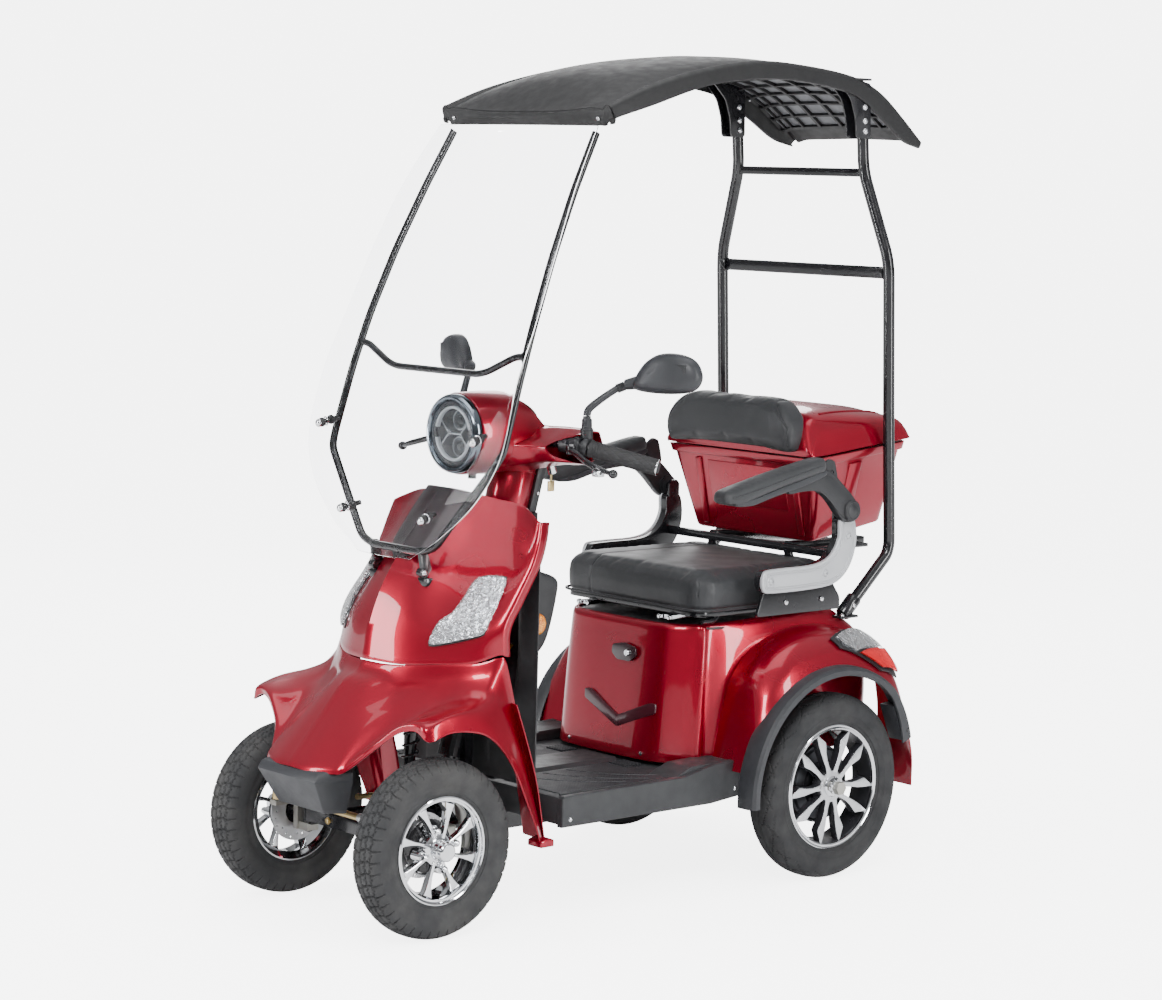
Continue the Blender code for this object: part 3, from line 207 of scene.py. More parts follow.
def tyre_rubber(name, colour, dust=(0.075, 0.068, 0.060)):
    look = Look(name, colour, 0.74)
    look.tint(look.noise(11, 6.0, 0.65), colour, dust, 0.42, 0.88)
    look.rough(look.noise(26, 4.0), 0.62, 0.86)
    look.bump(look.noise(700, 3.0), 0.30, 0.0006)
    return look.material


def metal(name, colour, roughness, smudge=0.08, scratch=0.0):
    look = Look(name, colour, roughness, 1.0)
    look.tint(look.noise(16, 4.0), shade(colour, 0.92), shade(colour, 1.05))
    look.rough(look.noise(22, 5.0, 0.6), max(roughness - smudge / 2, 0.02), roughness + smudge)
    if scratch:
        look.bump(look.noise(500, 2.0), scratch, 0.0003)
    return look.material


def machined(name, colour, roughness=0.24):
    """Turned metal: fine rings about the wheel's axis, which runs along X."""
    look = Look(name, colour, roughness, 1.0)
    about = look.node("ShaderNodeMapping")
    about.inputs["Location"].default_value = (0, -REAR_HUB.y, -REAR_HUB.z)
    look.link(look.place, about.inputs["Vector"])
    rings = look.node("ShaderNodeTexWave")
    rings.wave_type = "RINGS"
    rings.rings_direction = "X"
    rings.inputs["Scale"].default_value = 160
    rings.inputs["Distortion"].default_value = 0.4
    look.link(about.outputs["Vector"], rings.inputs["Vector"])
    look.bump(rings.outputs["Fac"], 0.10, 0.0003)
    look.rough(look.noise(30, 4.0), roughness - 0.05, roughness + 0.10)
    return look.material


def clear(name, colour, roughness=0.02, ior=1.49, weight=1.0):
    look = Look(name, colour, roughness, 0.0, transmission_weight=weight, ior=ior)
    look.rough(look.noise(12, 4.0), roughness, roughness + 0.012)
    return look.material


RED = lacquer("candy_red", (0.270, 0.0, 0.014), 0.82)
SMOKED = lacquer("smoked_panel", (0.030, 0.004, 0.008), 0.2)
BLACK_PAINT = painted("black_powder_coat", (0.004, 0.004, 0.005), 0.20)
BLACK_PLASTIC = moulded("black_plastic", (0.011, 0.0115, 0.013), 0.44)
GREY_PLASTIC = moulded("grey_plastic", (0.018, 0.019, 0.022), 0.42, 700)
FLOOR_PLASTIC = moulded("floor_plastic", (0.017, 0.018, 0.020), 0.50, 600, 0.4)
ROOF_PLASTIC = moulded("roof_plastic", (0.005, 0.005, 0.0055), 0.52, 1100, 0.12)
LATTICE_GREY = moulded("lattice_panel", (0.150, 0.155, 0.165), 0.55, 1400)
LEATHER = leatherette("black_leatherette", (0.016, 0.017, 0.019))
FRONT_RUBBER = tyre_rubber("front_tyre_rubber", (0.020, 0.0205, 0.022), (0.052, 0.050, 0.048))
REAR_RUBBER = tyre_rubber("rear_tyre_rubber", (0.010, 0.0105, 0.012), (0.024, 0.023, 0.023))
GRIP_RUBBER = moulded("grip_rubber", (0.016, 0.016, 0.017), 0.62, 1600)
CHROME = metal("chrome", (0.82, 0.83, 0.85), 0.07, 0.05)
DARK_CHROME = metal("dark_chrome", (0.20, 0.23, 0.26), 0.10, 0.05)
MIRROR_GLASS = metal("mirror_glass", (0.90, 0.91, 0.92), 0.03, 0.02)
BRIGHT_ALLOY = metal("polished_alloy", (0.72, 0.73, 0.75), 0.16, 0.06, 0.05)
MACHINED = machined("machined_alloy", (0.62, 0.63, 0.65))
DARK_ALLOY = metal("dark_alloy", (0.060, 0.062, 0.068), 0.34, 0.08, 0.1)
DARK_PAINT_ALLOY = painted("dark_wheel_paint", (0.012, 0.012, 0.014), 0.30)
STEEL = metal("bare_steel", (0.48, 0.48, 0.49), 0.36, 0.12, 0.2)
CAST = metal("cast_alloy", (0.42, 0.41, 0.38), 0.48, 0.12, 0.5)
ZINC = metal("zinc_plate", (0.52, 0.40, 0.20), 0.34, 0.12, 0.2)
SILVER_PLASTIC = Look("silver_plastic", (0.46, 0.47, 0.49), 0.42, 0.35)
SILVER_PLASTIC.bump(SILVER_PLASTIC.noise(800, 2.0), 0.2, 0.0004)
SILVER_PLASTIC.rough(SILVER_PLASTIC.noise(30, 4.0), 0.36, 0.50)
SILVER_PLASTIC = SILVER_PLASTIC.material
ACRYLIC = clear("clear_acrylic", (0.955, 0.958, 0.972), 0.0, 1.14)
LENS_CLEAR = clear("clear_lens", (0.93, 0.96, 0.97), 0.01, 1.22, 0.96)
LENS_FACETED = Look("faceted_lens", (0.90, 0.91, 0.93), 0.04, 0.0, transmission_weight=0.95, ior=1.30)
LENS_FACETED.bump(LENS_FACETED.cells(150), 0.9, 0.004)
LENS_FACETED.rough(LENS_FACETED.noise(60, 3.0), 0.03, 0.08)
LENS_FACETED = LENS_FACETED.material
LENS_RED = clear("red_lens", (0.62, 0.015, 0.020), 0.05, 1.50, 0.55)
REFLECTOR_SILVER = metal("lamp_reflector", (0.60, 0.61, 0.63), 0.12, 0.05)
LAMP_WHITE = Look("light_guide", (0.85, 0.87, 0.90), 0.25, 0.0, coat_weight=0.6)
LAMP_WHITE.bump(LAMP_WHITE.noise(300, 2.0), 0.1, 0.0004)
LAMP_WHITE = LAMP_WHITE.material
YELLOW_PLASTIC = moulded("yellow_plastic", (0.62, 0.42, 0.03), 0.42)
MAT_RUBBER = Look("floor_mat_rubber", (0.014, 0.015, 0.017), 0.58)
MAT_RUBBER.bump(MAT_RUBBER.cells(130, "F1", 0.15), 0.8, 0.002)
MAT_RUBBER.rough(MAT_RUBBER.noise(20, 4.0), 0.50, 0.66)
MAT_RUBBER.tint(MAT_RUBBER.noise(9, 5.0), (0.010, 0.011, 0.013), (0.020, 0.021, 0.024))
MAT_RUBBER = MAT_RUBBER.material
REFLECTOR_AMBER = Look("amber_reflector", (0.72, 0.22, 0.01), 0.16, 0.25, coat_weight=1.0)
REFLECTOR_AMBER.bump(REFLECTOR_AMBER.cells(260, "F1", 0.0), 0.6, 0.002)
REFLECTOR_AMBER.tint(REFLECTOR_AMBER.noise(120, 2.0), (0.60, 0.15, 0.005), (0.85, 0.32, 0.02))
REFLECTOR_AMBER = REFLECTOR_AMBER.material
DARK_LENS = lacquer("dark_lens", (0.012, 0.003, 0.005), 0.1)


# ---- mesh tools -------------------------------------------------------------------
def new_object(name, mesh):
    made = bpy.data.objects.new(name, mesh)
    bpy.context.scene.collection.objects.link(made)
    return made


def from_bmesh(name, shape, clean=True):
    if clean:
        bmesh.ops.recalc_face_normals(shape, faces=shape.faces)
    mesh = bpy.data.meshes.new(name)
    shape.to_mesh(mesh)
    shape.free()
    return new_object(name, mesh)


def frozen(source):
    """The object with its modifiers applied, as a plain mesh in world space."""
    bpy.context.view_layer.update()
    graph = bpy.context.evaluated_depsgraph_get()
    mesh = bpy.data.meshes.new_from_object(source.evaluated_get(graph))
    mesh.transform(source.matrix_world)
    name = source.name
    bpy.data.objects.remove(source, do_unlink=True)
    return new_object(name, mesh)


def modify(made, kind, **values):
    modifier = made.modifiers.new(kind.lower(), kind)
    for label, value in values.items():
        setattr(modifier, label, value)
    return made


def rounded(made, width, segments=2, angle=35):
    return modify(made, "BEVEL", width=width, segments=segments, limit_method="ANGLE",
                  angle_limit=radians(angle),
                  harden_normals=False)


def welded(made, distance=0.00002):
    shape = bmesh.new()
    shape.from_mesh(made.data)
    bmesh.ops.remove_doubles(shape, verts=shape.verts, dist=distance)
    bmesh.ops.recalc_face_normals(shape, faces=shape.faces)
    shape.to_mesh(made.data)
    shape.free()
    return made


def merged(name, pieces):
    """Several mesh objects as one, without a Boolean: each stays its own closed body."""
    shape = bmesh.new()
    for piece in pieces:
        flat = frozen(piece)
        shape.from_mesh(flat.data)
        bpy.data.objects.remove(flat, do_unlink=True)
    return from_bmesh(name, shape, clean=False)


def mirror_copy(source, name):
    shape = bmesh.new()
    shape.from_mesh(source.data)
    bmesh.ops.scale(shape, vec=(-1, 1, 1), verts=shape.verts)
    bmesh.ops.reverse_faces(shape, faces=shape.faces)
    return from_bmesh(name, shape, clean=False)


def carved(target, other, operation="DIFFERENCE"):
    modify(target, "BOOLEAN", operation=operation, solver="EXACT", object=other)
    made = frozen(target)
    bpy.data.objects.remove(other, do_unlink=True)
    return made


def block(name, low, high, bevel=0.0, segments=2):
    low, high = Vector(low), Vector(high)
    shape = bmesh.new()
    bmesh.ops.create_cube(shape, size=1.0)
    bmesh.ops.scale(shape, vec=high - low, verts=shape.verts)
    bmesh.ops.translate(shape, vec=(low + high) / 2, verts=shape.verts)
    if bevel:
        bmesh.ops.bevel(shape, geom=shape.edges[:], offset=bevel, segments=segments, affect="EDGES",
                        profile=0.5)
    return from_bmesh(name, shape)


def rod(name, start, end, radius, end_radius=None, segments=24, bevel=0.0):
    start, end = Vector(start), Vector(end)
    run = end - start
    shape = bmesh.new()
    bmesh.ops.create_cone(shape, cap_ends=True, segments=segments, radius1=radius,
                          radius2=radius if end_radius is None else end_radius, depth=run.length)
    if bevel:
        rims = [e for e in shape.edges if all(len(f.verts) > 4 for f in e.link_faces) or
                any(len(f.verts) == segments for f in e.link_faces)]
        bmesh.ops.bevel(shape, geom=rims, offset=bevel, segments=2, affect="EDGES", profile=0.5)
    turn = Vector((0, 0, 1)).rotation_difference(run.normalized()).to_matrix().to_4x4()
    bmesh.ops.transform(shape, matrix=Matrix.Translation((start + end) / 2) @ turn, verts=shape.verts)
    return from_bmesh(name, shape)


def ball(name, centre, radii, segments=24, rings=14):
    shape = bmesh.new()
    bmesh.ops.create_uvsphere(shape, u_segments=segments, v_segments=rings, radius=1.0)
    bmesh.ops.scale(shape, vec=radii, verts=shape.verts)
    bmesh.ops.translate(shape, vec=centre, verts=shape.verts)
    return from_bmesh(name, shape)


def ring(name, centre, axis, major, minor, segments=48, sides=10, squash=1.0):
    """A torus about the axis, with its section flattened along the axis by squash."""
    shape = bmesh.new()
    loops = []
    for i in range(segments):
        a = 2 * pi * i / segments
        loop = []
        for j in range(sides):
            b = 2 * pi * j / sides
            r = major + minor * cos(b)
            loop.append(shape.verts.new((r * cos(a), r * sin(a), minor * sin(b) * squash)))
        loops.append(loop)
    for i in range(segments):
        for j in range(sides):
            shape.faces.new((loops[i][j], loops[(i + 1) % segments][j],
                             loops[(i + 1) % segments][(j + 1) % sides], loops[i][(j + 1) % sides]))
    turn = Vector((0, 0, 1)).rotation_difference(Vector(axis).normalized()).to_matrix().to_4x4()
    bmesh.ops.transform(shape, matrix=Matrix.Translation(Vector(centre)) @ turn, verts=shape.verts)
    return from_bmesh(name, shape)


def spline_point(points, t):
    """Catmull-Rom through the points, t from 0 to 1."""
    place = min(max(t, 0.0), 1.0) * (len(points) - 1)
    index = min(int(place), len(points) - 2)
    f = place - index
    b, c = points[index], points[index + 1]
    a = points[index - 1] if index > 0 else b * 2 - c
    d = points[index + 2] if index + 2 < len(points) else c * 2 - b
    return (b * 2 + (c - a) * f + (a * 2 - b * 5 + c * 4 - d) * f ** 2
            + (b * 3 - a - c * 3 + d) * f ** 3) / 2


def bend_corners(points, radius):
    """The polyline with each inner corner replaced by a short arc of about this radius."""
    points = [Vector(p) for p in points]
    path = [points[0]]
    for before, corner, after in zip(points, points[1:], points[2:]):
        back, on = (before - corner), (after - corner)
        reach = min(radius, back.length * 0.45, on.length * 0.45)
        start, end = corner + back.normalized() * reach, corner + on.normalized() * reach
        for step in range(7):
            t = step / 6
            path.append(start.lerp(corner, t).lerp(corner.lerp(end, t), t))
    path.append(points[-1])
    return path


def pipe(name, points, radius, bend=0.0, sides=16, closed=False):
    """A tube along the points, with its corners bent to the given radius."""
    path = bend_corners(points, bend) if bend else [Vector(p) for p in points]
    curve = bpy.data.curves.new(name, "CURVE")
    curve.dimensions = "3D"
    curve.use_fill_caps = True
    curve.bevel_depth = radius
    curve.bevel_resolution = max(sides // 4 - 1, 1)
    spline = curve.splines.new("POLY")
    spline.points.add(len(path) - 1)
    for knot, point in zip(spline.points, path):
        knot.co = (*point, 1.0)
    spline.use_cyclic_u = closed
    return welded(frozen(new_object(name, curve)))


def flat_plate(name, outline, low, high, bevel=0.0, segments=2, plane="YZ"):
    """An extruded outline in the YZ plane (along X), or in the XZ plane (along Y), or XY (along Z)."""
    def place(a, b, c):
        return {"YZ": (c, a, b), "XZ": (a, c, b), "XY": (a, b, c)}[plane]

    shape = bmesh.new()
    bottom = [shape.verts.new(place(a, b, low)) for a, b in outline]
    top = [shape.verts.new(place(a, b, high)) for a, b in outline]
    shape.faces.new(bottom[::-1])
    shape.faces.new(top)
    count = len(outline)
    for i in range(count):
        shape.faces.new((bottom[i], bottom[(i + 1) % count], top[(i + 1) % count], top[i]))
    bmesh.ops.recalc_face_normals(shape, faces=shape.faces)
    if bevel:
        rims = [e for e in shape.edges if any(len(f.verts) == count for f in e.link_faces)]
        bmesh.ops.bevel(shape, geom=rims, offset=bevel, segments=segments, affect="EDGES", profile=0.6)
    return from_bmesh(name, shape)


def smooth_outline(points, per_side=6, closed=True):
    """A rounded outline through the points."""
    points = [Vector(p) for p in points]
    count = len(points)
    result = []
    for i in range(count if closed else count - 1):
        a, b, c, d = (points[(i + k) % count] for k in (-1, 0, 1, 2))
        if not closed:
            a = points[max(i - 1, 0)]
            d = points[min(i + 2, count - 1)]
        for step in range(per_side):
            f = step / per_side
            result.append((b * 2 + (c - a) * f + (a * 2 - b * 5 + c * 4 - d) * f ** 2
                           + (b * 3 - a - c * 3 + d) * f ** 3) / 2)
    return result


def round_corners(points, radius, steps=5):
    """A flat outline with its corners rounded."""
    points = [Vector(p) for p in points]
    count = len(points)
    result = []
    for i in range(count):
        before, corner, after = points[i - 1], points[i], points[(i + 1) % count]
        back, on = before - corner, after - corner
        reach = min(radius, back.length * 0.45, on.length * 0.45)
        start, end = corner + back.normalized() * reach, corner + on.normalized() * reach
        for step in range(steps + 1):
            t = step / steps
            result.append(tuple(start.lerp(corner, t).lerp(corner.lerp(end, t), t)))
    return result


def turned(name, profile, centre, steps=72, axis="X", closed=True):
    """A ring turned about X (or Y): the profile is (along, radius) pairs."""
    shape = bmesh.new()
    loops = []
    for i in range(steps):
        a = 2 * pi * i / steps
        loop = []
        for along, r in profile:
            point = (along, r * sin(a), r * cos(a)) if axis == "X" else (r * sin(a), along, r * cos(a))
            loop.append(shape.verts.new(Vector(point) + Vector(centre)))
        loops.append(loop)
    count = len(profile)
    for i in range(steps):
        for j in range(count if closed else count - 1):
            shape.faces.new((loops[i][j], loops[(i + 1) % steps][j],
                             loops[(i + 1) % steps][(j + 1) % count], loops[i][(j + 1) % count]))
    if not closed:
        shape.faces.new([loop[0] for loop in loops])
        shape.faces.new([loop[-1] for loop in loops][::-1])
    return from_bmesh(name, shape)


def lofted(name, loops):
    """A solid through closed loops of equally many points, with flat ends."""
    shape = bmesh.new()
    rings = [[shape.verts.new(Vector(point)) for point in loop] for loop in loops]
    count = len(rings[0])
    for low, high in zip(rings, rings[1:]):
        for k in range(count):
            shape.faces.new((low[k], low[(k + 1) % count], high[(k + 1) % count], high[k]))
    shape.faces.new(rings[0][::-1])
    shape.faces.new(rings[-1])
    return from_bmesh(name, shape)


def between(loops, steps):
    """More loops between the given ones, on a smooth path through them."""
    count = len(loops[0])
    return [[spline_point([Vector(loop[k]) for loop in loops], i / steps) for k in range(count)]
            for i in range(steps + 1)]


def rod_path(name, points, sizes, steps=24, sides=20):
    """A bar with a changing oval section: sizes are (across, up) half-widths at each point."""
    loops = []
    for i in range(steps + 1):
        t = i / steps
        here = spline_point([Vector(p) for p in points], t)
        ahead = (spline_point([Vector(p) for p in points], min(t + 0.01, 1))
                 - spline_point([Vector(p) for p in points], max(t - 0.01, 0))).normalized()
        across = ahead.cross(Vector((0, 0, 1))).normalized()
        up = across.cross(ahead)
        size = spline_point([Vector((*pair, 0)) for pair in sizes], t)
        turns = [2 * pi * k / sides for k in range(sides)]
        loops.append([here + across * (size.x * cos(a)) + up * (size.y * sin(a)) for a in turns])
    return lofted(name, loops)


class Surface:
    """A smooth surface through a grid of points: u runs along a row, v from row to row."""

    def __init__(self, rows, flip=False):
        self.rows = [[Vector(p) for p in row] for row in rows]
        self.flip = flip

    def plain(self, u, v):
        return spline_point([spline_point(row, u) for row in self.rows], v)

    def normal(self, u, v):
        step = 0.004
        along = self.plain(min(u + step, 1), v) - self.plain(max(u - step, 0), v)
        across = self.plain(u, min(v + step, 1)) - self.plain(u, max(v - step, 0))
        if along.length < 1e-9 or across.length < 1e-9:
            return Vector((0, 0, 1))
        return (across.cross(along) if self.flip else along.cross(across)).normalized()

    def at(self, u, v, lift=0.0):
        point = self.plain(u, v)
        return point + self.normal(u, v) * lift if lift else point

    def shell(self, name, thickness, along, across, u_span=(0, 1), v_span=(0, 1), lift=0.0, mirror=True,
              bevel=0.0012, keep=None):
        """A panel over part of the surface, thickened inwards, with rounded rims."""
        shape = bmesh.new()
        grid = []
        for j in range(across + 1):
            v = v_span[0] + (v_span[1] - v_span[0]) * j / across
            grid.append([shape.verts.new(self.at(u_span[0] + (u_span[1] - u_span[0]) * i / along, v,
                                                 lift))
                         for i in range(along + 1)])
        for j in range(across):
            for i in range(along):
                if keep and not keep(grid[j][i].co.lerp(grid[j + 1][i + 1].co, 0.5)):
                    continue
                corners = (grid[j][i], grid[j][i + 1], grid[j + 1][i + 1], grid[j + 1][i])
                shape.faces.new(corners[::-1] if self.flip else corners)
        bmesh.ops.delete(shape, geom=[v for v in shape.verts if not v.link_faces], context="VERTS")
        shape.normal_update()
        made = from_bmesh(name, shape, clean=False)
        if mirror:
            for vertex in made.data.vertices:
                if abs(vertex.co.x) < 1e-5:
                    vertex.co.x = 0
            modify(made, "MIRROR", merge_threshold=0.0001)
        modify(made, "SOLIDIFY", thickness=thickness, offset=-1.0, use_even_offset=False)
        if bevel:
            rounded(made, bevel, 2, 50)
        return frozen(made)


# ---- piece bookkeeping ---------------------------------------------------------------
def put(piece, body, material, stands_for=(), sharp=40):
    """Colour and smooth the piece, hide the CAD nodes it stands for, and attach it to its body, if it rides
    on only one.
    """
    piece.data.materials.clear()
    piece.data.materials.append(material)
    piece.data.shade_smooth()
    if sharp:
        piece.data.set_sharp_from_angle(angle=radians(sharp))
    if body:
        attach(piece, body)
    if stands_for:
        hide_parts(*([stands_for] if isinstance(stands_for, str) else stands_for))
    return piece


def right_of(name):
    return name.replace("_left", "_right")


def put_pair(piece, body, material, stands_for=(), sharp=40, right=None):
    """The left piece and its mirror image, whose body and node have like names unless right gives them."""
    other = mirror_copy(piece, right_of(piece.name))
    right_body, right_node = right or (right_of(body), right_of(stands_for) if stands_for else ())
    put(piece, body, material, stands_for, sharp)
    put(other, right_body, material, right_node, sharp)
    return piece, other


def repaint(node, material):
    """A CAD node that stays: only its material changes."""
    target = nodes[node]
    if not target.material_slots:
        target.data.materials.append(material)
    for slot in target.material_slots:
        slot.material = material


# ---- camera, floor and light --------------------------------------------------------
CAMERA_PLACE = (4.7415, -4.2602, 1.5005)
CAMERA_YAW, CAMERA_PITCH, CAMERA_ROLL = radians(48.249), radians(6.169), radians(1.508)
CAMERA_LENS = 93.06
BACKDROP_GLOW, FLOOR_GLOW = 5.9, 4.7


def camera():
    data = bpy.data.cameras.new("camera")
    data.sensor_width = 36
    data.lens = CAMERA_LENS
    data.clip_start, data.clip_end = 0.1, 100
    made = bpy.data.objects.new("camera", data)
    yaw, pitch, roll = CAMERA_YAW, CAMERA_PITCH, CAMERA_ROLL
    ahead = Vector((-sin(yaw) * cos(pitch), cos(yaw) * cos(pitch), -sin(pitch)))
    level = Vector((cos(yaw), sin(yaw), 0))
    upward = level.cross(ahead)
    right = level * cos(roll) + upward * sin(roll)
    up = upward * cos(roll) - level * sin(roll)
    turn = Matrix((right, up, -ahead)).transposed().to_4x4()
    made.matrix_world = Matrix.Translation(CAMERA_PLACE) @ turn
    bpy.context.scene.collection.objects.link(made)
    bpy.context.scene.camera = made


def seen_directly(tree):
    """1 for what is looked at, also through a clear sheet, and 0 for what is mirrored in the object."""
    path = tree.nodes.new("ShaderNodeLightPath")
    bounces, none_yet = tree.nodes.new("ShaderNodeMath"), tree.nodes.new("ShaderNodeMath")
    bounces.operation, none_yet.operation = "ADD", "LESS_THAN"
    tree.links.new(path.outputs["Glossy Depth"], bounces.inputs[0])
    tree.links.new(path.outputs["Diffuse Depth"], bounces.inputs[1])
    tree.links.new(bounces.outputs["Value"], none_yet.inputs[0])
    none_yet.inputs[1].default_value = 0.5
    return none_yet.outputs["Value"]


def floor():
    shape = bmesh.new()
    bmesh.ops.create_grid(shape, x_segments=1, y_segments=1, size=60)
    made = from_bmesh("floor", shape)
    look = Look("floor_paper", (0.86, 0.86, 0.865), 0.75)
    look.rough(look.noise(3, 3.0), 0.70, 0.82)
    look.set("Emission Color", (1, 1, 1, 1))
    look.link(look.spread(seen_directly(look.tree), 0.0, FLOOR_GLOW, 0.0, 1.0),
              look.shader.inputs["Emission Strength"])
    made.data.materials.append(look.material)


def area_light(name, place, target, size, power, colour=(1, 1, 1)):
    data = bpy.data.lights.new(name, "AREA")
    data.shape = "RECTANGLE"
    data.size, data.size_y = size
    data.energy = power
    data.color = colour
    made = bpy.data.objects.new(name, data)
    made.location = place
    made.rotation_euler = (Vector(target) - Vector(place)).to_track_quat("-Z", "Y").to_euler()
    bpy.context.scene.collection.objects.link(made)


def overhead(strength):
    """One very soft sun from above, so that the floor is even out to the horizon."""
    data = bpy.data.lights.new("overhead", "SUN")
    data.energy = strength
    data.angle = radians(75)
    made = bpy.data.objects.new("overhead", data)
    made.rotation_euler = (radians(12), radians(10), 0)
    made.visible_glossy = False
    bpy.context.scene.collection.objects.link(made)


def studio():
    world = bpy.data.worlds.new("studio")
    world.use_nodes = True
    ground = world.node_tree.nodes["Background"]
    ground.inputs["Color"].default_value = (0.93, 0.94, 0.96, 1)
    direction = world.node_tree.nodes.new("ShaderNodeTexCoord")
    height = world.node_tree.nodes.new("ShaderNodeSeparateXYZ")
    falling = world.node_tree.nodes.new("ShaderNodeMapRange")
    for label, value in (("From Min", 0.0), ("From Max", 0.9), ("To Min", 0.12), ("To Max", 0.75)):
        falling.inputs[label].default_value = value
    backdrop = world.node_tree.nodes.new("ShaderNodeBackground")
    backdrop.inputs["Color"].default_value = (1, 1, 1, 1)
    backdrop.inputs["Strength"].default_value = BACKDROP_GLOW
    chosen = world.node_tree.nodes.new("ShaderNodeMixShader")
    join = world.node_tree.links.new
    join(direction.outputs["Generated"], height.inputs["Vector"])
    join(height.outputs["Z"], falling.inputs["Value"])
    join(falling.outputs["Result"], ground.inputs["Strength"])
    join(seen_directly(world.node_tree), chosen.inputs["Fac"])
    join(ground.outputs["Background"], chosen.inputs[1])
    join(backdrop.outputs["Background"], chosen.inputs[2])
    join(chosen.outputs["Shader"], world.node_tree.nodes["World Output"].inputs["Surface"])
    bpy.context.scene.world = world
    overhead(2.2)
    area_light("key", (3.4, -3.8, 4.2), (0, -0.1, 0.6), (1.6, 1.6), 230)
    area_light("top", (0.2, 0.2, 4.4), (0, 0, 0.5), (3.0, 3.0), 60)
    area_light("left_strip", (4.6, 1.4, 1.7), (0, 0.2, 0.7), (0.6, 3.0), 130)
    area_light("front_strip", (-1.6, -4.6, 1.8), (0, -0.4, 0.7), (0.7, 3.0), 130)
    area_light("back_fill", (-3.6, 3.0, 2.6), (0, 0, 0.8), (2.0, 2.0), 60)


camera()
floor()
studio()


# ---- the panels' surfaces, shared with the CAD model -------------------------------
# Each row runs from the centre plane outwards; u = 1 is the outer edge.
SHIELD_ROWS = [
    [(0, -0.408, 0.862), (0.050, -0.400, 0.860), (0.100, -0.362, 0.847), (0.170, -0.338, 0.836),
     (0.236, -0.334, 0.808)],
    [(0, -0.440, 0.824), (0.054, -0.430, 0.822), (0.110, -0.392, 0.808), (0.182, -0.362, 0.792),
     (0.244, -0.347, 0.768)],
    [(0, -0.484, 0.772), (0.062, -0.466, 0.768), (0.122, -0.424, 0.754), (0.194, -0.392, 0.736),
     (0.247, -0.366, 0.721)],
    [(0, -0.546, 0.692), (0.072, -0.520, 0.686), (0.138, -0.474, 0.674), (0.204, -0.440, 0.662),
     (0.248, -0.406, 0.656)],
    [(0, -0.586, 0.606), (0.082, -0.562, 0.603), (0.150, -0.524, 0.599), (0.212, -0.482, 0.598),
     (0.249, -0.440, 0.600)],
    [(0, -0.602, 0.522), (0.088, -0.580, 0.521), (0.154, -0.546, 0.527), (0.214, -0.498, 0.532),
     (0.249, -0.441, 0.546)],
]
ROOF_ROWS = [
    [(0, -0.205, 1.592), (0.130, -0.205, 1.594), (0.215, -0.205, 1.600), (0.256, -0.205, 1.606),
     (0.262, -0.203, 1.606)],
    [(0, -0.222, 1.622), (0.130, -0.222, 1.624), (0.210, -0.220, 1.630), (0.258, -0.216, 1.634),
     (0.266, -0.205, 1.609)],
    [(0, -0.094, 1.708), (0.120, -0.094, 1.702), (0.200, -0.094, 1.690), (0.250, -0.094, 1.684),
     (0.263, -0.100, 1.643)],
    [(0, 0.068, 1.744), (0.115, 0.068, 1.740), (0.190, 0.068, 1.731), (0.240, 0.068, 1.724),
     (0.252, 0.068, 1.690)],
    [(0, 0.236, 1.762), (0.110, 0.236, 1.758), (0.180, 0.236, 1.751), (0.228, 0.236, 1.747),
     (0.240, 0.236, 1.711)],
    [(0, 0.390, 1.757), (0.105, 0.390, 1.754), (0.175, 0.390, 1.748), (0.218, 0.390, 1.744),
     (0.229, 0.390, 1.709)],
    [(0, 0.544, 1.738), (0.100, 0.544, 1.735), (0.165, 0.544, 1.731), (0.207, 0.544, 1.728),
     (0.217, 0.544, 1.688)],
    [(0, 0.640, 1.705), (0.098, 0.640, 1.703), (0.160, 0.640, 1.700), (0.200, 0.640, 1.698),
     (0.210, 0.640, 1.640)],
    [(0, 0.720, 1.655), (0.096, 0.720, 1.653), (0.158, 0.720, 1.650), (0.195, 0.718, 1.648),
     (0.204, 0.715, 1.596)],
    [(0, 0.790, 1.602), (0.096, 0.790, 1.600), (0.158, 0.788, 1.598), (0.192, 0.784, 1.596),
     (0.200, 0.775, 1.580)],
]
LID_ROWS = [
    [(0, 0.432, 0.9045), (0.120, 0.432, 0.9045), (0.200, 0.432, 0.9045), (0.226, 0.435, 0.9050),
     (0.229, 0.437, 0.9050)],
    [(0, 0.430, 0.930), (0.120, 0.430, 0.930), (0.198, 0.432, 0.928), (0.224, 0.436, 0.920),
     (0.232, 0.445, 0.9060)],
    [(0, 0.448, 0.990), (0.110, 0.448, 0.989), (0.186, 0.452, 0.982), (0.214, 0.470, 0.960),
     (0.235, 0.480, 0.9090)],
    [(0, 0.500, 1.002), (0.105, 0.500, 1.001), (0.180, 0.500, 0.996), (0.218, 0.520, 0.968),
     (0.238, 0.530, 0.9150)],
    [(0, 0.600, 1.004), (0.100, 0.600, 1.003), (0.174, 0.600, 0.998), (0.222, 0.610, 0.978),
     (0.242, 0.620, 0.9260)],
    [(0, 0.690, 0.998), (0.098, 0.690, 0.997), (0.165, 0.690, 0.990), (0.222, 0.700, 0.980),
     (0.246, 0.710, 0.9360)],
    [(0, 0.738, 0.972), (0.098, 0.738, 0.971), (0.165, 0.736, 0.968), (0.220, 0.732, 0.964),
     (0.246, 0.728, 0.9390)],
    [(0, 0.750, 0.942), (0.098, 0.750, 0.942), (0.165, 0.750, 0.942), (0.218, 0.746, 0.941),
     (0.240, 0.736, 0.9400)],
]


def screen_row(z, edge_y, half, bow=0.035):
    """One level of the windscreen: bowed forward in the middle."""
    return [(half * t, edge_y - bow * (1 - t * t) * min(1.0, half / 0.25), z) for t in (0, 0.35, 0.7,
                                                                                        1.0)]


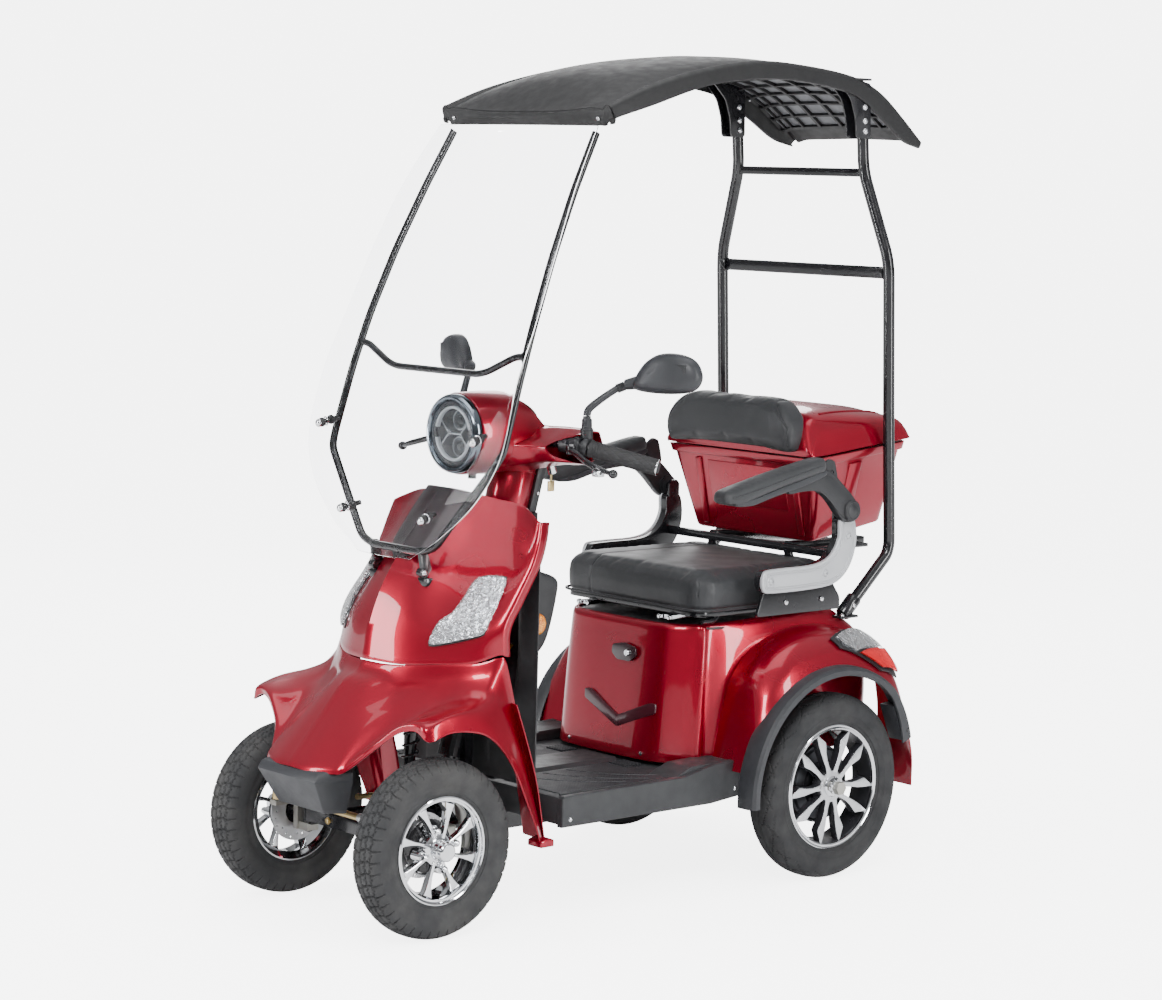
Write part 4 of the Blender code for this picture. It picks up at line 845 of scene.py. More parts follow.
SCREEN_ROWS = [screen_row(*level) for level in (
    (1.600, -0.232, 0.250), (1.470, -0.312, 0.275), (1.335, -0.376, 0.292), (1.200, -0.434, 0.304),
    (1.090, -0.482, 0.310), (0.955, -0.518, 0.311), (0.860, -0.538, 0.262), (0.780, -0.552, 0.170),
    (0.730, -0.558, 0.085))]


# ---- front panels ------------------------------------------------------------------------
# Columns run from the centre plane round to the toe; each goes from the seam under the shield,
# over the crease of the step and the wing's crest, to the lower edge.
GUARD_COLUMNS = [
    [(0, -0.603, 0.521), (0, -0.618, 0.500), (0, -0.655, 0.480), (0, -0.712, 0.412), (0, -0.772, 0.342),
     (0, -0.784, 0.324)],
    [(0.050, -0.592, 0.519), (0.050, -0.606, 0.498), (0.052, -0.640, 0.474), (0.052, -0.706, 0.409),
     (0.054, -0.767, 0.340), (0.055, -0.779, 0.322)],
    [(0.100, -0.575, 0.521), (0.098, -0.588, 0.492), (0.098, -0.606, 0.464), (0.102, -0.690, 0.400),
     (0.108, -0.748, 0.340), (0.110, -0.758, 0.322)],
    [(0.132, -0.560, 0.524), (0.130, -0.570, 0.495), (0.128, -0.586, 0.468), (0.130, -0.660, 0.398),
     (0.126, -0.728, 0.346), (0.126, -0.738, 0.328)],
    [(0.160, -0.543, 0.527), (0.160, -0.552, 0.495), (0.162, -0.572, 0.462), (0.164, -0.632, 0.412),
     (0.163, -0.694, 0.386), (0.163, -0.701, 0.370)],
    [(0.185, -0.524, 0.529), (0.187, -0.534, 0.495), (0.192, -0.560, 0.456), (0.200, -0.610, 0.434),
     (0.208, -0.676, 0.424), (0.209, -0.681, 0.408)],
    [(0.206, -0.506, 0.531), (0.210, -0.518, 0.497), (0.220, -0.548, 0.462), (0.236, -0.596, 0.448),
     (0.250, -0.664, 0.438), (0.253, -0.669, 0.420)],
    [(0.222, -0.490, 0.533), (0.227, -0.502, 0.500), (0.238, -0.532, 0.468), (0.258, -0.578, 0.454),
     (0.279, -0.656, 0.436), (0.290, -0.664, 0.404)],
    [(0.235, -0.472, 0.538), (0.240, -0.484, 0.505), (0.250, -0.512, 0.474), (0.268, -0.548, 0.459),
     (0.284, -0.606, 0.447), (0.292, -0.612, 0.416)],
    [(0.245, -0.454, 0.544), (0.248, -0.466, 0.512), (0.256, -0.488, 0.480), (0.271, -0.516, 0.461),
     (0.285, -0.558, 0.445), (0.292, -0.562, 0.413)],
    [(0.249, -0.440, 0.540), (0.251, -0.450, 0.505), (0.258, -0.463, 0.478), (0.272, -0.483, 0.456),
     (0.286, -0.513, 0.430), (0.292, -0.517, 0.400)],
    [(0.250, -0.427, 0.500), (0.252, -0.433, 0.475), (0.259, -0.442, 0.450), (0.272, -0.455, 0.425),
     (0.285, -0.473, 0.392), (0.291, -0.475, 0.366)],
    [(0.250, -0.408, 0.430), (0.252, -0.411, 0.412), (0.259, -0.415, 0.393), (0.271, -0.422, 0.370),
     (0.283, -0.434, 0.335), (0.291, -0.437, 0.315)],
    [(0.250, -0.388, 0.355), (0.252, -0.389, 0.342), (0.259, -0.391, 0.326), (0.270, -0.395, 0.306),
     (0.282, -0.404, 0.275), (0.290, -0.408, 0.256)],
    [(0.250, -0.363, 0.270), (0.252, -0.364, 0.262), (0.258, -0.366, 0.252), (0.269, -0.369, 0.240),
     (0.280, -0.376, 0.220), (0.288, -0.382, 0.205)],
    [(0.249, -0.338, 0.160), (0.252, -0.338, 0.158), (0.257, -0.340, 0.157), (0.267, -0.342, 0.157),
     (0.278, -0.352, 0.160), (0.286, -0.366, 0.166)],
]
GUARD = Surface([[column[j] for column in GUARD_COLUMNS] for j in range(6)], flip=True)
SHIELD = Surface(SHIELD_ROWS, flip=True)
INDICATOR = [(0.450, 0.895), (0.455, 0.830), (0.480, 0.775), (0.540, 0.730), (0.565, 0.670),
             (0.580, 0.610),
             (0.595, 0.560), (0.640, 0.528), (0.700, 0.512), (0.800, 0.502), (0.826, 0.540),
             (0.832, 0.620),
             (0.832, 0.710), (0.822, 0.805), (0.790, 0.832), (0.700, 0.852), (0.570, 0.882)]
DARK_PANEL = [(0.0, 0.010), (0.405, 0.010), (0.400, 0.090), (0.380, 0.190), (0.320, 0.340),
              (0.260, 0.440),
              (0.180, 0.490), (0.060, 0.520), (0.0, 0.525)]


def shield_column(row):
    """A shield row with its outer edge rolled back as a rounded rim."""
    x, y, z = row[-1]
    return [*row[:-1], (x - 0.004, y - 0.014, z + 0.003), (x + 0.001, y + 0.002, z),
            (x - 0.003, y + 0.016, z - 0.002)]


def patch(name, surface, outline, thickness, lift, step=0.012, crown=0.0, bevel=0.0012):
    """A closed cap over a region of the surface, cut to the outline given in u and v."""
    low_u, high_u = min(p[0] for p in outline), max(p[0] for p in outline)
    low_v, high_v = min(p[1] for p in outline), max(p[1] for p in outline)
    shape = bmesh.new()
    rim = [shape.verts.new((u, v, 0)) for u, v in outline]
    shape.faces.new(rim)
    for count, low, high, axis in ((int((high_u - low_u) / step), low_u, high_u, 0),
                                   (int((high_v - low_v) / step), low_v, high_v, 1)):
        for k in range(1, count):
            where, normal = Vector((0, 0, 0)), Vector((0, 0, 0))
            where[axis] = low + (high - low) * k / count
            normal[axis] = 1
            bmesh.ops.bisect_plane(shape, geom=shape.verts[:] + shape.edges[:] + shape.faces[:],
                                   plane_co=where, plane_no=normal)
    middle_u, middle_v = (low_u + high_u) / 2, (low_v + high_v) / 2
    for vertex in shape.verts:
        u, v = vertex.co.x, vertex.co.y
        off = ((u - middle_u) / (high_u - low_u)) ** 2 + ((v - middle_v) / (high_v - low_v)) ** 2
        vertex.co = surface.at(u, v, lift + crown * (1 - 2 * off))
    if surface.flip:
        bmesh.ops.reverse_faces(shape, faces=shape.faces)
    shape.normal_update()
    made = from_bmesh(name, shape, clean=False)
    modify(made, "SOLIDIFY", thickness=thickness, offset=-1.0)
    if bevel:
        rounded(made, bevel, 2, 50)
    return frozen(made)


def front_shield():
    panel = Surface([shield_column(row) for row in SHIELD_ROWS], flip=True)
    piece = panel.shell("front_shield_panel", 0.0032, 40, 40, (0, 1), (0, 1), bevel=0.0014)
    put(piece, "chassis", RED, "front_shield", 30)
    dark = patch("front_shield_dark_panel", SHIELD, DARK_PANEL, 0.002, 0.0025, 0.02)
    both = merged("shield_dark_panel", [mirror_copy(dark, "dark_right"), dark])
    put(both, "chassis", DARK_LENS)


def front_guard():
    piece = GUARD.shell("front_guard_panel", 0.0032, 92, 36, bevel=0.0014)
    put(piece, "chassis", RED, "front_mudguard", 28)


def wheelhouse_walls():
    """The guard's inner face behind each front wheel."""
    rows = []
    for z, y in ((0.452, -0.424), (0.400, -0.404), (0.345, -0.384), (0.287, -0.366), (0.220, -0.352),
                 (0.166, -0.342)):
        rows.append([(0.196, y + 0.004, z), (0.226, y, z), (0.258, y - 0.003, z), (0.276, y - 0.008, z)])
    wall = Surface(rows, flip=True).shell("front_guard_wall_left", 0.0025, 16, 40, mirror=False,
                                          bevel=0.0008)
    put_pair(wall, "chassis", RED)
    hook = frozen(rounded(flat_plate("front_guard_hook_left",
                                     [(-0.372, 0.157), (-0.336, 0.157), (-0.336, 0.171),
                                                               (-0.350, 0.176), (-0.372, 0.170)], 0.250,
                                     0.292), 0.003, 3))
    put_pair(hook, "chassis", RED)


def indicators():
    """Clear faceted lenses in a rounded dark frame, with a bright reflector behind."""
    outline = [tuple(p) for p in smooth_outline(INDICATOR, 3)]
    middle_u = sum(p[0] for p in outline) / len(outline)
    middle_v = sum(p[1] for p in outline) / len(outline)

    def scaled(factor):
        return [(middle_u + (u - middle_u) * factor, middle_v + (v - middle_v) * factor) for u,
                v in outline]

    seal = patch("indicator_seal_left", SHIELD, scaled(1.035), 0.003, 0.0020, 0.03)
    put_pair(seal, "chassis", BLACK_PLASTIC)
    back = patch("indicator_reflector_left", SHIELD, scaled(0.98), 0.002, 0.0034, 0.014)
    for vertex in back.data.vertices:
        value = noise.noise(Vector(vertex.co) * 95) + noise.noise(Vector(vertex.co) * 240 + Vector((5, 1,
                                                                                                    2)))
        vertex.co += Vector((0.3, -0.9, 0.3)) * 0.0022 * value
    put_pair(back, "chassis", REFLECTOR_SILVER, sharp=8)
    lens = patch("indicator_lens_left", SHIELD, scaled(0.99), 0.0035, 0.0085, 0.012, 0.002)
    put_pair(lens, "chassis", LENS_FACETED, "front_indicator_left")


def bumper():
    """The nose cap under the guard: a flat slanted front with a bevelled top edge and cut-back ends."""
    def level(z, front, half, back_half):
        return [(-half, front, z), (half, front, z), (back_half, -0.716, z), (-back_half, -0.716, z)]

    loops = [level(0.236, -0.752, 0.074, 0.100), level(0.244, -0.757, 0.078, 0.104),
             level(0.306, -0.792, 0.096, 0.122),
             level(0.322, -0.782, 0.094, 0.121), level(0.330, -0.740, 0.084, 0.112)]
    cap = frozen(rounded(lofted("bumper_cap", loops), 0.0022, 2, 12))
    put(cap, "chassis", GREY_PLASTIC, "front_bumper", 25)


front_shield()
front_guard()
wheelhouse_walls()
indicators()
bumper()


# ---- floor, seat base and rear fenders ----------------------------------------------------
# Columns run from the centre of the front face round the side to the middle of the back;
# each goes from the rolled top edge down to the hem.
BODY_COLUMNS = [
    [(0, 0.094, 0.5560), (0, 0.084, 0.5500), (0, 0.080, 0.520), (0, 0.068, 0.400), (0, 0.054, 0.262)],
    [(0.080, 0.095, 0.5560), (0.080, 0.085, 0.5500), (0.080, 0.081, 0.520), (0.080, 0.069, 0.400),
     (0.078, 0.056, 0.262)],
    [(0.125, 0.100, 0.5560), (0.128, 0.090, 0.5500), (0.130, 0.086, 0.520), (0.130, 0.074, 0.400),
     (0.126, 0.060, 0.262)],
    [(0.148, 0.108, 0.5560), (0.154, 0.099, 0.5500), (0.157, 0.096, 0.520), (0.158, 0.084, 0.400),
     (0.156, 0.070, 0.262)],
    [(0.172, 0.128, 0.5560), (0.180, 0.122, 0.5500), (0.183, 0.119, 0.520), (0.187, 0.108, 0.400),
     (0.190, 0.097, 0.262)],
    [(0.184, 0.145, 0.5560), (0.193, 0.141, 0.5500), (0.196, 0.139, 0.520), (0.202, 0.128, 0.400),
     (0.208, 0.117, 0.262)],
    [(0.188, 0.152, 0.5560), (0.201, 0.148, 0.5500), (0.204, 0.147, 0.520), (0.210, 0.137, 0.400),
     (0.216, 0.127, 0.262)],
    [(0.191, 0.160, 0.5560), (0.203, 0.157, 0.5500), (0.206, 0.156, 0.520), (0.212, 0.147, 0.400),
     (0.218, 0.138, 0.262)],
    [(0.192, 0.168, 0.5560), (0.200, 0.166, 0.5500), (0.203, 0.165, 0.520), (0.209, 0.157, 0.400),
     (0.216, 0.149, 0.262)],
    [(0.204, 0.220, 0.5585), (0.214, 0.219, 0.5520), (0.219, 0.218, 0.520), (0.228, 0.212, 0.400),
     (0.238, 0.200, 0.262)],
    [(0.216, 0.300, 0.5640), (0.229, 0.300, 0.5560), (0.236, 0.300, 0.520), (0.238, 0.300, 0.400),
     (0.240, 0.300, 0.262)],
    [(0.222, 0.400, 0.5720), (0.237, 0.400, 0.5620), (0.244, 0.400, 0.520), (0.244, 0.400, 0.400),
     (0.242, 0.400, 0.262)],
    [(0.224, 0.485, 0.5780), (0.240, 0.490, 0.5660), (0.250, 0.495, 0.520), (0.250, 0.500, 0.400),
     (0.244, 0.500, 0.262)],
    [(0.214, 0.520, 0.5540), (0.232, 0.550, 0.5420), (0.246, 0.580, 0.500), (0.246, 0.600, 0.400),
     (0.240, 0.600, 0.262)],
    [(0.150, 0.540, 0.5500), (0.165, 0.590, 0.5360), (0.180, 0.630, 0.490), (0.185, 0.648, 0.400),
     (0.180, 0.650, 0.262)],
    [(0, 0.545, 0.5500), (0, 0.600, 0.5360), (0, 0.636, 0.490), (0, 0.656, 0.400), (0, 0.656, 0.262)],
]
BODY = Surface([[column[j] for column in BODY_COLUMNS] for j in range(5)], flip=True)

# The fender's height where it leaves the body, by angle round the rear axle.
FENDER_HEIGHTS = [(168, 0.2590), (155, 0.2640), (142, 0.2840), (128, 0.3160), (112, 0.3350),
                  (95, 0.3400), (78, 0.3430),
                  (60, 0.3450), (45, 0.3330), (32, 0.3080), (20, 0.2840), (8, 0.2640), (-6, 0.2590)]
FENDER_REACH = [(0.0, 1.0), (0.22, 0.985), (0.42, 0.93), (0.58, 0.83), (0.72, 0.68), (0.84, 0.48),
                (0.94, 0.20), (1.0, 0.0)]


def round_axle(x, radius, angle):
    return Vector((x, REAR_HUB.y + radius * cos(radians(angle)),
                   REAR_HUB.z + radius * sin(radians(angle))))


FENDER = Surface([[round_axle(0.230 + 0.119 * along, 0.2560 + (height - 0.2560) * share, angle)
                   for along, share in FENDER_REACH] for angle, height in FENDER_HEIGHTS])


def seat_base():
    """The painted box under the seat, with its rolled edge, a black top plate and the rear fender bulges.
    """
    piece = BODY.shell("seat_base_panel", 0.0032, 120, 26, bevel=0.0012)
    put(piece, "chassis", RED, ("rear_body_shell", "seat_base_front"), 28)
    lid = flat_plate("seat_base_top",
                     round_corners([(-0.180, 0.112), (0.180, 0.112), (0.212, 0.190), (0.222, 0.500),
                                                     (0.150, 0.540), (-0.150, 0.540), (-0.222, 0.500),
                                    (-0.212, 0.190)],
                                                    0.03), 0.5440, 0.5500, 0.002, 2, "XY")
    put(lid, "chassis", BLACK_PLASTIC)
    fender = FENDER.shell("fender", 0.003, 40, 96, mirror=False, bevel=0.0)
    both = merged("rear_fender_bulges", [mirror_copy(fender, "right_fender"), fender])
    put(both, "chassis", RED, sharp=28)


def face_plate(name, outline, depth, bevel):
    """A thin plate on the seat base's leaning front; the outline is (x, z)."""
    face_y, face_z, lean, curl, sunk = 0.0620, 0.30, 0.042, 24, 0.55
    made = frozen(flat_plate(name, outline, 0.0, depth, bevel, 2, "XZ"))
    for vertex in made.data.vertices:
        vertex.co.y += face_y + lean * (vertex.co.z - face_z) + curl * vertex.co.x ** 4 - depth * sunk
    return made


def front_face():
    """The lock plate and the wide V strip on the seat base's front."""
    outline = round_corners([(0.007, 0.498), (0.043, 0.505), (0.079, 0.498), (0.081, 0.480),
                             (0.063, 0.466),
                             (0.023, 0.466), (0.005, 0.480)], 0.006)
    put(face_plate("lock_plate", outline, 0.0050, 0.0012), "chassis", DARK_LENS)
    barrel = turned("seat_lock",
                    [(0.0595, 0.0), (0.0595, 0.006), (0.0610, 0.0075), (0.0750, 0.0075), (0.0750, 0.0)],
                    (0.059, 0, 0.485), 32, "Y")
    slot_cut = block("slot", (0.0582, 0.050, 0.4800), (0.0598, 0.062, 0.4900))
    put(carved(barrel, slot_cut), "chassis", CHROME)
    band = [(-0.071, 0.391), (-0.052, 0.391), (0.036, 0.347), (0.128, 0.385), (0.144, 0.385),
            (0.144, 0.364),
            (0.036, 0.322), (-0.071, 0.371)]
    put(face_plate("seat_base_v_strip", round_corners(band, 0.004, 3), 0.0100, 0.0016), "chassis", SMOKED)
    screws = []
    for x, z in ((-0.115, 0.275), (0.115, 0.275)):
        y = 0.0585
        screws += [turned("screw",
                          [(y - 0.0020, 0.0), (y - 0.0018, 0.0028), (y - 0.0006, 0.0044),
                           (y + 0.001, 0.0046),
                                    (y + 0.004, 0.0046), (y + 0.004, 0.0)], (x, 0, z), 20, "Y")]
    put(merged("seat_base_screws", screws), "chassis", BRIGHT_ALLOY)


def flare_section(angle):
    """The lip's closed section, as x and radius, at an angle round the rear axle."""
    drop = max(0.0, (50 - angle) / 26) * 0.018
    depth = 0.020 + max(0.0, (62 - angle) / 40) * 0.016
    top = 0.2650 - drop
    return [(0.3250, top - 0.0010), (0.3290, top + 0.0008), (0.3560, top), (0.3680, top - 0.0026),
            (0.3735, top - 0.0085),
            (0.3740, top - depth), (0.3705, top - depth - 0.0010), (0.3690, top - depth + 0.0060),
            (0.3600, top - 0.0085), (0.3300, top - 0.0075)]


def flares():
    """The wheel arch's moulded lip, with the flap and screw at its rear end."""
    steps, first, last = 96, 184, 22
    loops = [[round_axle(x, r, first + (last - first) * i / steps)
              for x, r in flare_section(first + (last - first) * i / steps)] for i in range(steps + 1)]
    corners = [round_axle(0, r, angle) for r,
               angle in ((0.2560, 40), (0.2420, 24), (0.2180, 22), (0.2330, 44))]
    flap = flat_plate("flap", [(corner.y, corner.z) for corner in corners], 0.3240, 0.3660, 0.002)
    trim = merged("fender_flare_trim_left", [lofted("lip", loops), flap])
    put_pair(trim, "chassis", GREY_PLASTIC, "fender_flare_left", 30)
    screw = ball("flare_screw_left", round_axle(0.3735, 0.2340, 27), (0.0030, 0.0045, 0.0045), 16, 8)
    put_pair(screw, "chassis", BLACK_PAINT)


def tail_lights():
    """A clear upper lens and a red lower one over a bright reflector, wrapped on the fender."""
    base = [(0.56, 0.450), (0.38, 0.500), (0.22, 0.556), (0.30, 0.630), (0.42, 0.660), (0.66, 0.664),
            (0.83, 0.590),
            (0.80, 0.540), (0.72, 0.465)]
    upper = [(0.56, 0.4625), (0.39, 0.512), (0.25, 0.560), (0.33, 0.618), (0.55, 0.576), (0.745, 0.508),
             (0.69, 0.475)]
    lower = [(0.755, 0.515), (0.56, 0.584), (0.345, 0.626), (0.43, 0.648), (0.65, 0.650), (0.805, 0.586),
             (0.785, 0.550)]
    seat = patch("tail_light_seat_left", FENDER, base, 0.004, 0.0030, 0.02)
    put_pair(seat, "chassis", BLACK_PLASTIC)
    back = patch("tail_light_reflector_left", FENDER, upper, 0.002, 0.0050, 0.02)
    put_pair(back, "chassis", REFLECTOR_SILVER)
    lens = patch("tail_light_clear_lens_left", FENDER, upper, 0.003, 0.0098, 0.02, 0.002)
    put_pair(lens, "chassis", LENS_FACETED)
    lens = patch("tail_light_red_lens_left", FENDER, lower, 0.005, 0.0100, 0.02, 0.002)
    put_pair(lens, "chassis", LENS_RED, "tail_light_left")


def floor_deck():
    """The moulded floor: skirt with a rolled edge, two mats with grip dimples, and a raised middle."""
    outline = [(-0.318, 0.192), (-0.318, 0.250), (-0.312, 0.2555), (0.020, 0.2580), (0.110, 0.2750),
               (0.178, 0.2790),
               (0.184, 0.2740), (0.184, 0.200), (0.100, 0.192)]
    skirts = []
    for side in (1, -1):
        a, b = sorted((side * 0.276, side * 0.2945))
        skirts.append(flat_plate("skirt", outline, a, b, 0.004, 3))
    deck = block("deck", (-0.280, -0.316, 0.2420), (0.280, 0.182, 0.2520), 0.002)
    ends = [block("front_end", (-0.280, -0.317, 0.196), (0.280, -0.311, 0.252), 0.002),
            block("rear_end", (-0.280, 0.176, 0.196), (0.280, 0.182, 0.252), 0.002)]
    ribs = [block("edge_rib", (side * 0.262 - 0.0025, -0.300, 0.2500),
                  (side * 0.262 + 0.0025, 0.010, 0.2560), 0.0018)
            for side in (1, -1)]
    steps = []
    for side in (1, -1):
        rise = [(-0.012, 0.2500), (0.052, 0.2740), (0.178, 0.2770), (0.178, 0.2500)]
        a, b = sorted((side * 0.205, side * 0.280))
        steps.append(flat_plate("raised_corner", rise, a, b, 0.003, 2))
    tunnel = flat_plate("tunnel", [(-0.060, 0.2510), (-0.052, 0.2600), (0.052, 0.2600), (0.060, 0.2510)],
                        -0.300, 0.045,
                        0.0025, 2, "XZ")
    piece = merged("floor_deck", [deck, tunnel, *skirts, *ends, *ribs, *steps])
    put(piece, "chassis", FLOOR_PLASTIC, "floor_pan", 35)
    mats = []
    for side in (1, -1):
        low, high = sorted((side * 0.066, side * 0.254))
        mats.append(flat_plate("mat",
                               round_corners([(low, -0.292), (high, -0.292), (high, -0.020),
                                              (high, 0.000),
                                                     (low, 0.030)], 0.020), 0.2515, 0.2540, 0.001, 2,
                               "XY"))
        for k in range(3):
            bow = 0.020 * k
            mats.append(pipe("mat_ridge",
                             [(side * 0.080, -0.250 + bow * 3.2, 0.2540),
                              (side * 0.150, -0.215 + bow * 3.2, 0.2540),
                                           (side * 0.200, -0.170 + bow * 3.2, 0.2540),
                              (side * 0.244, -0.100 + bow * 3.2, 0.2540)],
                             0.0014, 0.03, 8))
        for k in range(6):
            y = 0.004 + k * 0.008
            mats.append(block("heel_rib", (min(side * 0.075, side * 0.130), y, 0.2515),
                              (max(side * 0.075, side * 0.130), y + 0.004, 0.2575), 0.0012))
    put(merged("floor_mats", mats), "chassis", MAT_RUBBER)
    screws = []
    for side in (1, -1):
        for y, z in ((-0.298, 0.208), (0.166, 0.218)):
            screws.append(turned("screw",
                                 [(side * 0.2930, 0.0), (side * 0.2930, 0.0052), (side * 0.2965, 0.0048),
                                           (side * 0.2978, 0.0030), (side * 0.2982, 0.0)], (0, y, z), 20))
    put(merged("floor_screws", screws), "chassis", BRIGHT_ALLOY)


def leg_shield_back():
    """The rider's side of the leg shield: liner, column bulge and glove box with its reflector and hook."""
    wall, rows = -0.322, []
    for z, column, pocket in ((0.262, 0, 0), (0.370, 0, 0), (0.440, 0.026, 0), (0.505, 0.045, 0.022),
                              (0.525, 0.060, 0.060), (0.560, 0.088, 0.086), (0.640, 0.108, 0.108),
                              (0.672, 0.120, 0.106),
                              (0.690, 0.124, 0.062), (0.708, 0.125, 0), (0.800, 0.125, 0)):
        rows.append([(0, wall + column, z), (0.050, wall + column, z),
                     (0.066, wall + min(column, pocket), z),
                     (0.074, wall + pocket, z), (0.130, wall + pocket * 0.97, z),
                     (0.139, wall + pocket * 0.9, z),
                     (0.148, wall, z), (0.214, wall - 0.004, z)])
    liner = Surface(rows)
    piece = liner.shell("leg_shield_liner", 0.0028, 44, 60, bevel=0.001)
    put(piece, "chassis", BLACK_PLASTIC, "inner_shield", 30)
    for side, word in SIDES:
        spot = Vector((side * 0.1465, -0.272, 0.585))
        disc = turned("reflector_" + word,
                      [(0.0, 0.0215), (side * 0.0035, 0.0225), (side * 0.0065, 0.0205),
                                            (side * 0.0075, 0.0180), (side * 0.0068, 0.0), (0.0, 0.0)],
                      spot, 40)
        put(disc, "chassis", REFLECTOR_AMBER)
    hook = [block("hook_plate", (0.040, -0.268, 0.505), (0.060, -0.252, 0.530), 0.003),
            pipe("hook", [(0.050, -0.256, 0.518), (0.050, -0.236, 0.514), (0.050, -0.228, 0.520),
                          (0.050, -0.230, 0.532)],
                 0.0045, 0.006, 12)]
    put(merged("bag_hook", hook), "chassis", YELLOW_PLASTIC)


seat_base()
front_face()
flares()
tail_lights()
floor_deck()
leg_shield_back()


# ---- roof, windscreen and roll frame --------------------------------------------------------
def roof_row(row):
    """A roof row with the dip inside its raised side band and the band's rolled lower edge."""
    centre, inner, shoulder, top, low = (Vector(p) for p in row)
    dip = shoulder.lerp(top, 0.70) - Vector((0, 0, 0.0045))
    band = (top - low).length
    return [centre, inner, shoulder, dip, shoulder.lerp(top, 0.86), top + Vector((-0.001, 0, 0.0015)),
            top.lerp(low, 0.10) + Vector((0.005, 0, 0)), top.lerp(low, 0.35) + Vector((0.006, 0, 0)),
            low + Vector((0.002, 0, band * 0.08)), low, low - Vector((0.006, 0, 0.0005))]


ROOF_FINE = [ROOF_ROWS[0], ROOF_ROWS[1]]
ROOF_FINE.append([tuple(Vector(p).lerp(Vector(q), 0.10) + Vector((0, 0, 0.004)))
                  for p, q in zip(ROOF_ROWS[1], ROOF_ROWS[2])])
ROOF_FINE += ROOF_ROWS[2:]
ROOF = Surface([roof_row(row) for row in ROOF_FINE])
SCREEN = Surface(SCREEN_ROWS, flip=True)
SCREEN_PATH = [(0.225, -0.222, 1.585), (0.236, -0.286, 1.470), (0.250, -0.352, 1.335),
               (0.262, -0.408, 1.200),
               (0.268, -0.446, 1.090), (0.272, -0.486, 0.955), (0.262, -0.500, 0.925),
               (0.144, -0.524, 0.785),
               (0.120, -0.528, 0.755), (0.080, -0.530, 0.742)]
POST_PATH = [(0.250, 0.527, 0.553), (0.262, 0.650, 0.682), (0.262, 0.657, 0.705), (0.261, 0.641, 1.000),
             (0.261, 0.625, 1.310), (0.256, 0.622, 1.345), (0.200, 0.605, 1.510), (0.195, 0.602, 1.540),
             (0.195, 0.590, 1.675)]


def flipped_points(points):
    return [(-x, y, z) for x, y, z in points]


def button_head(name, place, axis, radius=0.006, height=0.004):
    """A socket button screw with its hex recess."""
    profile = [(-0.004, 0.0), (-0.004, radius * 0.7), (0.0, radius * 0.98), (height * 0.25, radius),
               (height * 0.6, radius * 0.88),
               (height * 0.92, radius * 0.6), (height, radius * 0.42), (height * 0.5, radius * 0.36),
               (height * 0.5, 0.0)]
    made = turned(name, profile, (0, 0, 0), 24)
    turn = Vector((1, 0, 0)).rotation_difference(Vector(axis).normalized()).to_matrix().to_4x4()
    made.data.transform(Matrix.Translation(Vector(place)) @ turn)
    return made


def roof_panel():
    piece = ROOF.shell("roof_shell", 0.0038, 72, 130, bevel=0.0012)
    put(piece, "chassis", ROOF_PLASTIC, "roof_panel", 24)
    screws = []
    spot, normal = ROOF.at(0.235, 0.045), ROOF.normal(0.235, 0.045)
    for side in (1, -1):
        screws.append(button_head("screw", (side * spot.x, spot.y, spot.z),
                                  (side * normal.x, normal.y, normal.z), 0.0052))
    put(merged("roof_lip_screws", screws), "chassis", BRIGHT_ALLOY)


def roof_underside():
    """The moulded lattice under the back of the roof: dark ribs over a lighter panel, in a frame."""
    first, last = 0.545, 0.935
    panel = ROOF.shell("roof_lattice_panel", 0.0015, 14, 24, (0, 0.335), (first, last), lift=-0.0085,
                       bevel=0.0)
    put(panel, "chassis", LATTICE_GREY)
    ribs = []
    for k in range(9):
        v = first + (last - first) * k / 8
        half = 0.0055 if k in (0, 8) else 0.0032
        ribs.append(ROOF.shell("rib", 0.007, 14, 1, (0, 0.345), (v - half, v + half), lift=-0.0095,
                               bevel=0.0))
    for k in range(6):
        u = 0.335 * k / 5
        half = 0.010 if k == 5 else 0.0045
        ribs.append(ROOF.shell("rib", 0.0075, 1, 28, (max(u - half, 0.0), u + half), (first, last),
                               lift=-0.0095, bevel=0.0))
    ribs.append(ROOF.shell("front_band", 0.010, 14, 3, (0, 0.36), (first - 0.035, first - 0.006),
                           lift=-0.006, bevel=0.0))
    put(merged("roof_lattice_ribs", ribs), "chassis", ROOF_PLASTIC, sharp=30)
    screws = []
    for side in (1, -1):
        for u, v in ((0.14, first - 0.018), (0.30, first - 0.018), (0.33, 0.64), (0.33, 0.80)):
            spot = ROOF.at(u, v, -0.0165)
            screws.append(button_head("screw", (side * spot.x, spot.y, spot.z), (0, 0.15, -1), 0.0045,
                                      0.003))
    put(merged("roof_lattice_screws", screws), "chassis", BRIGHT_ALLOY)


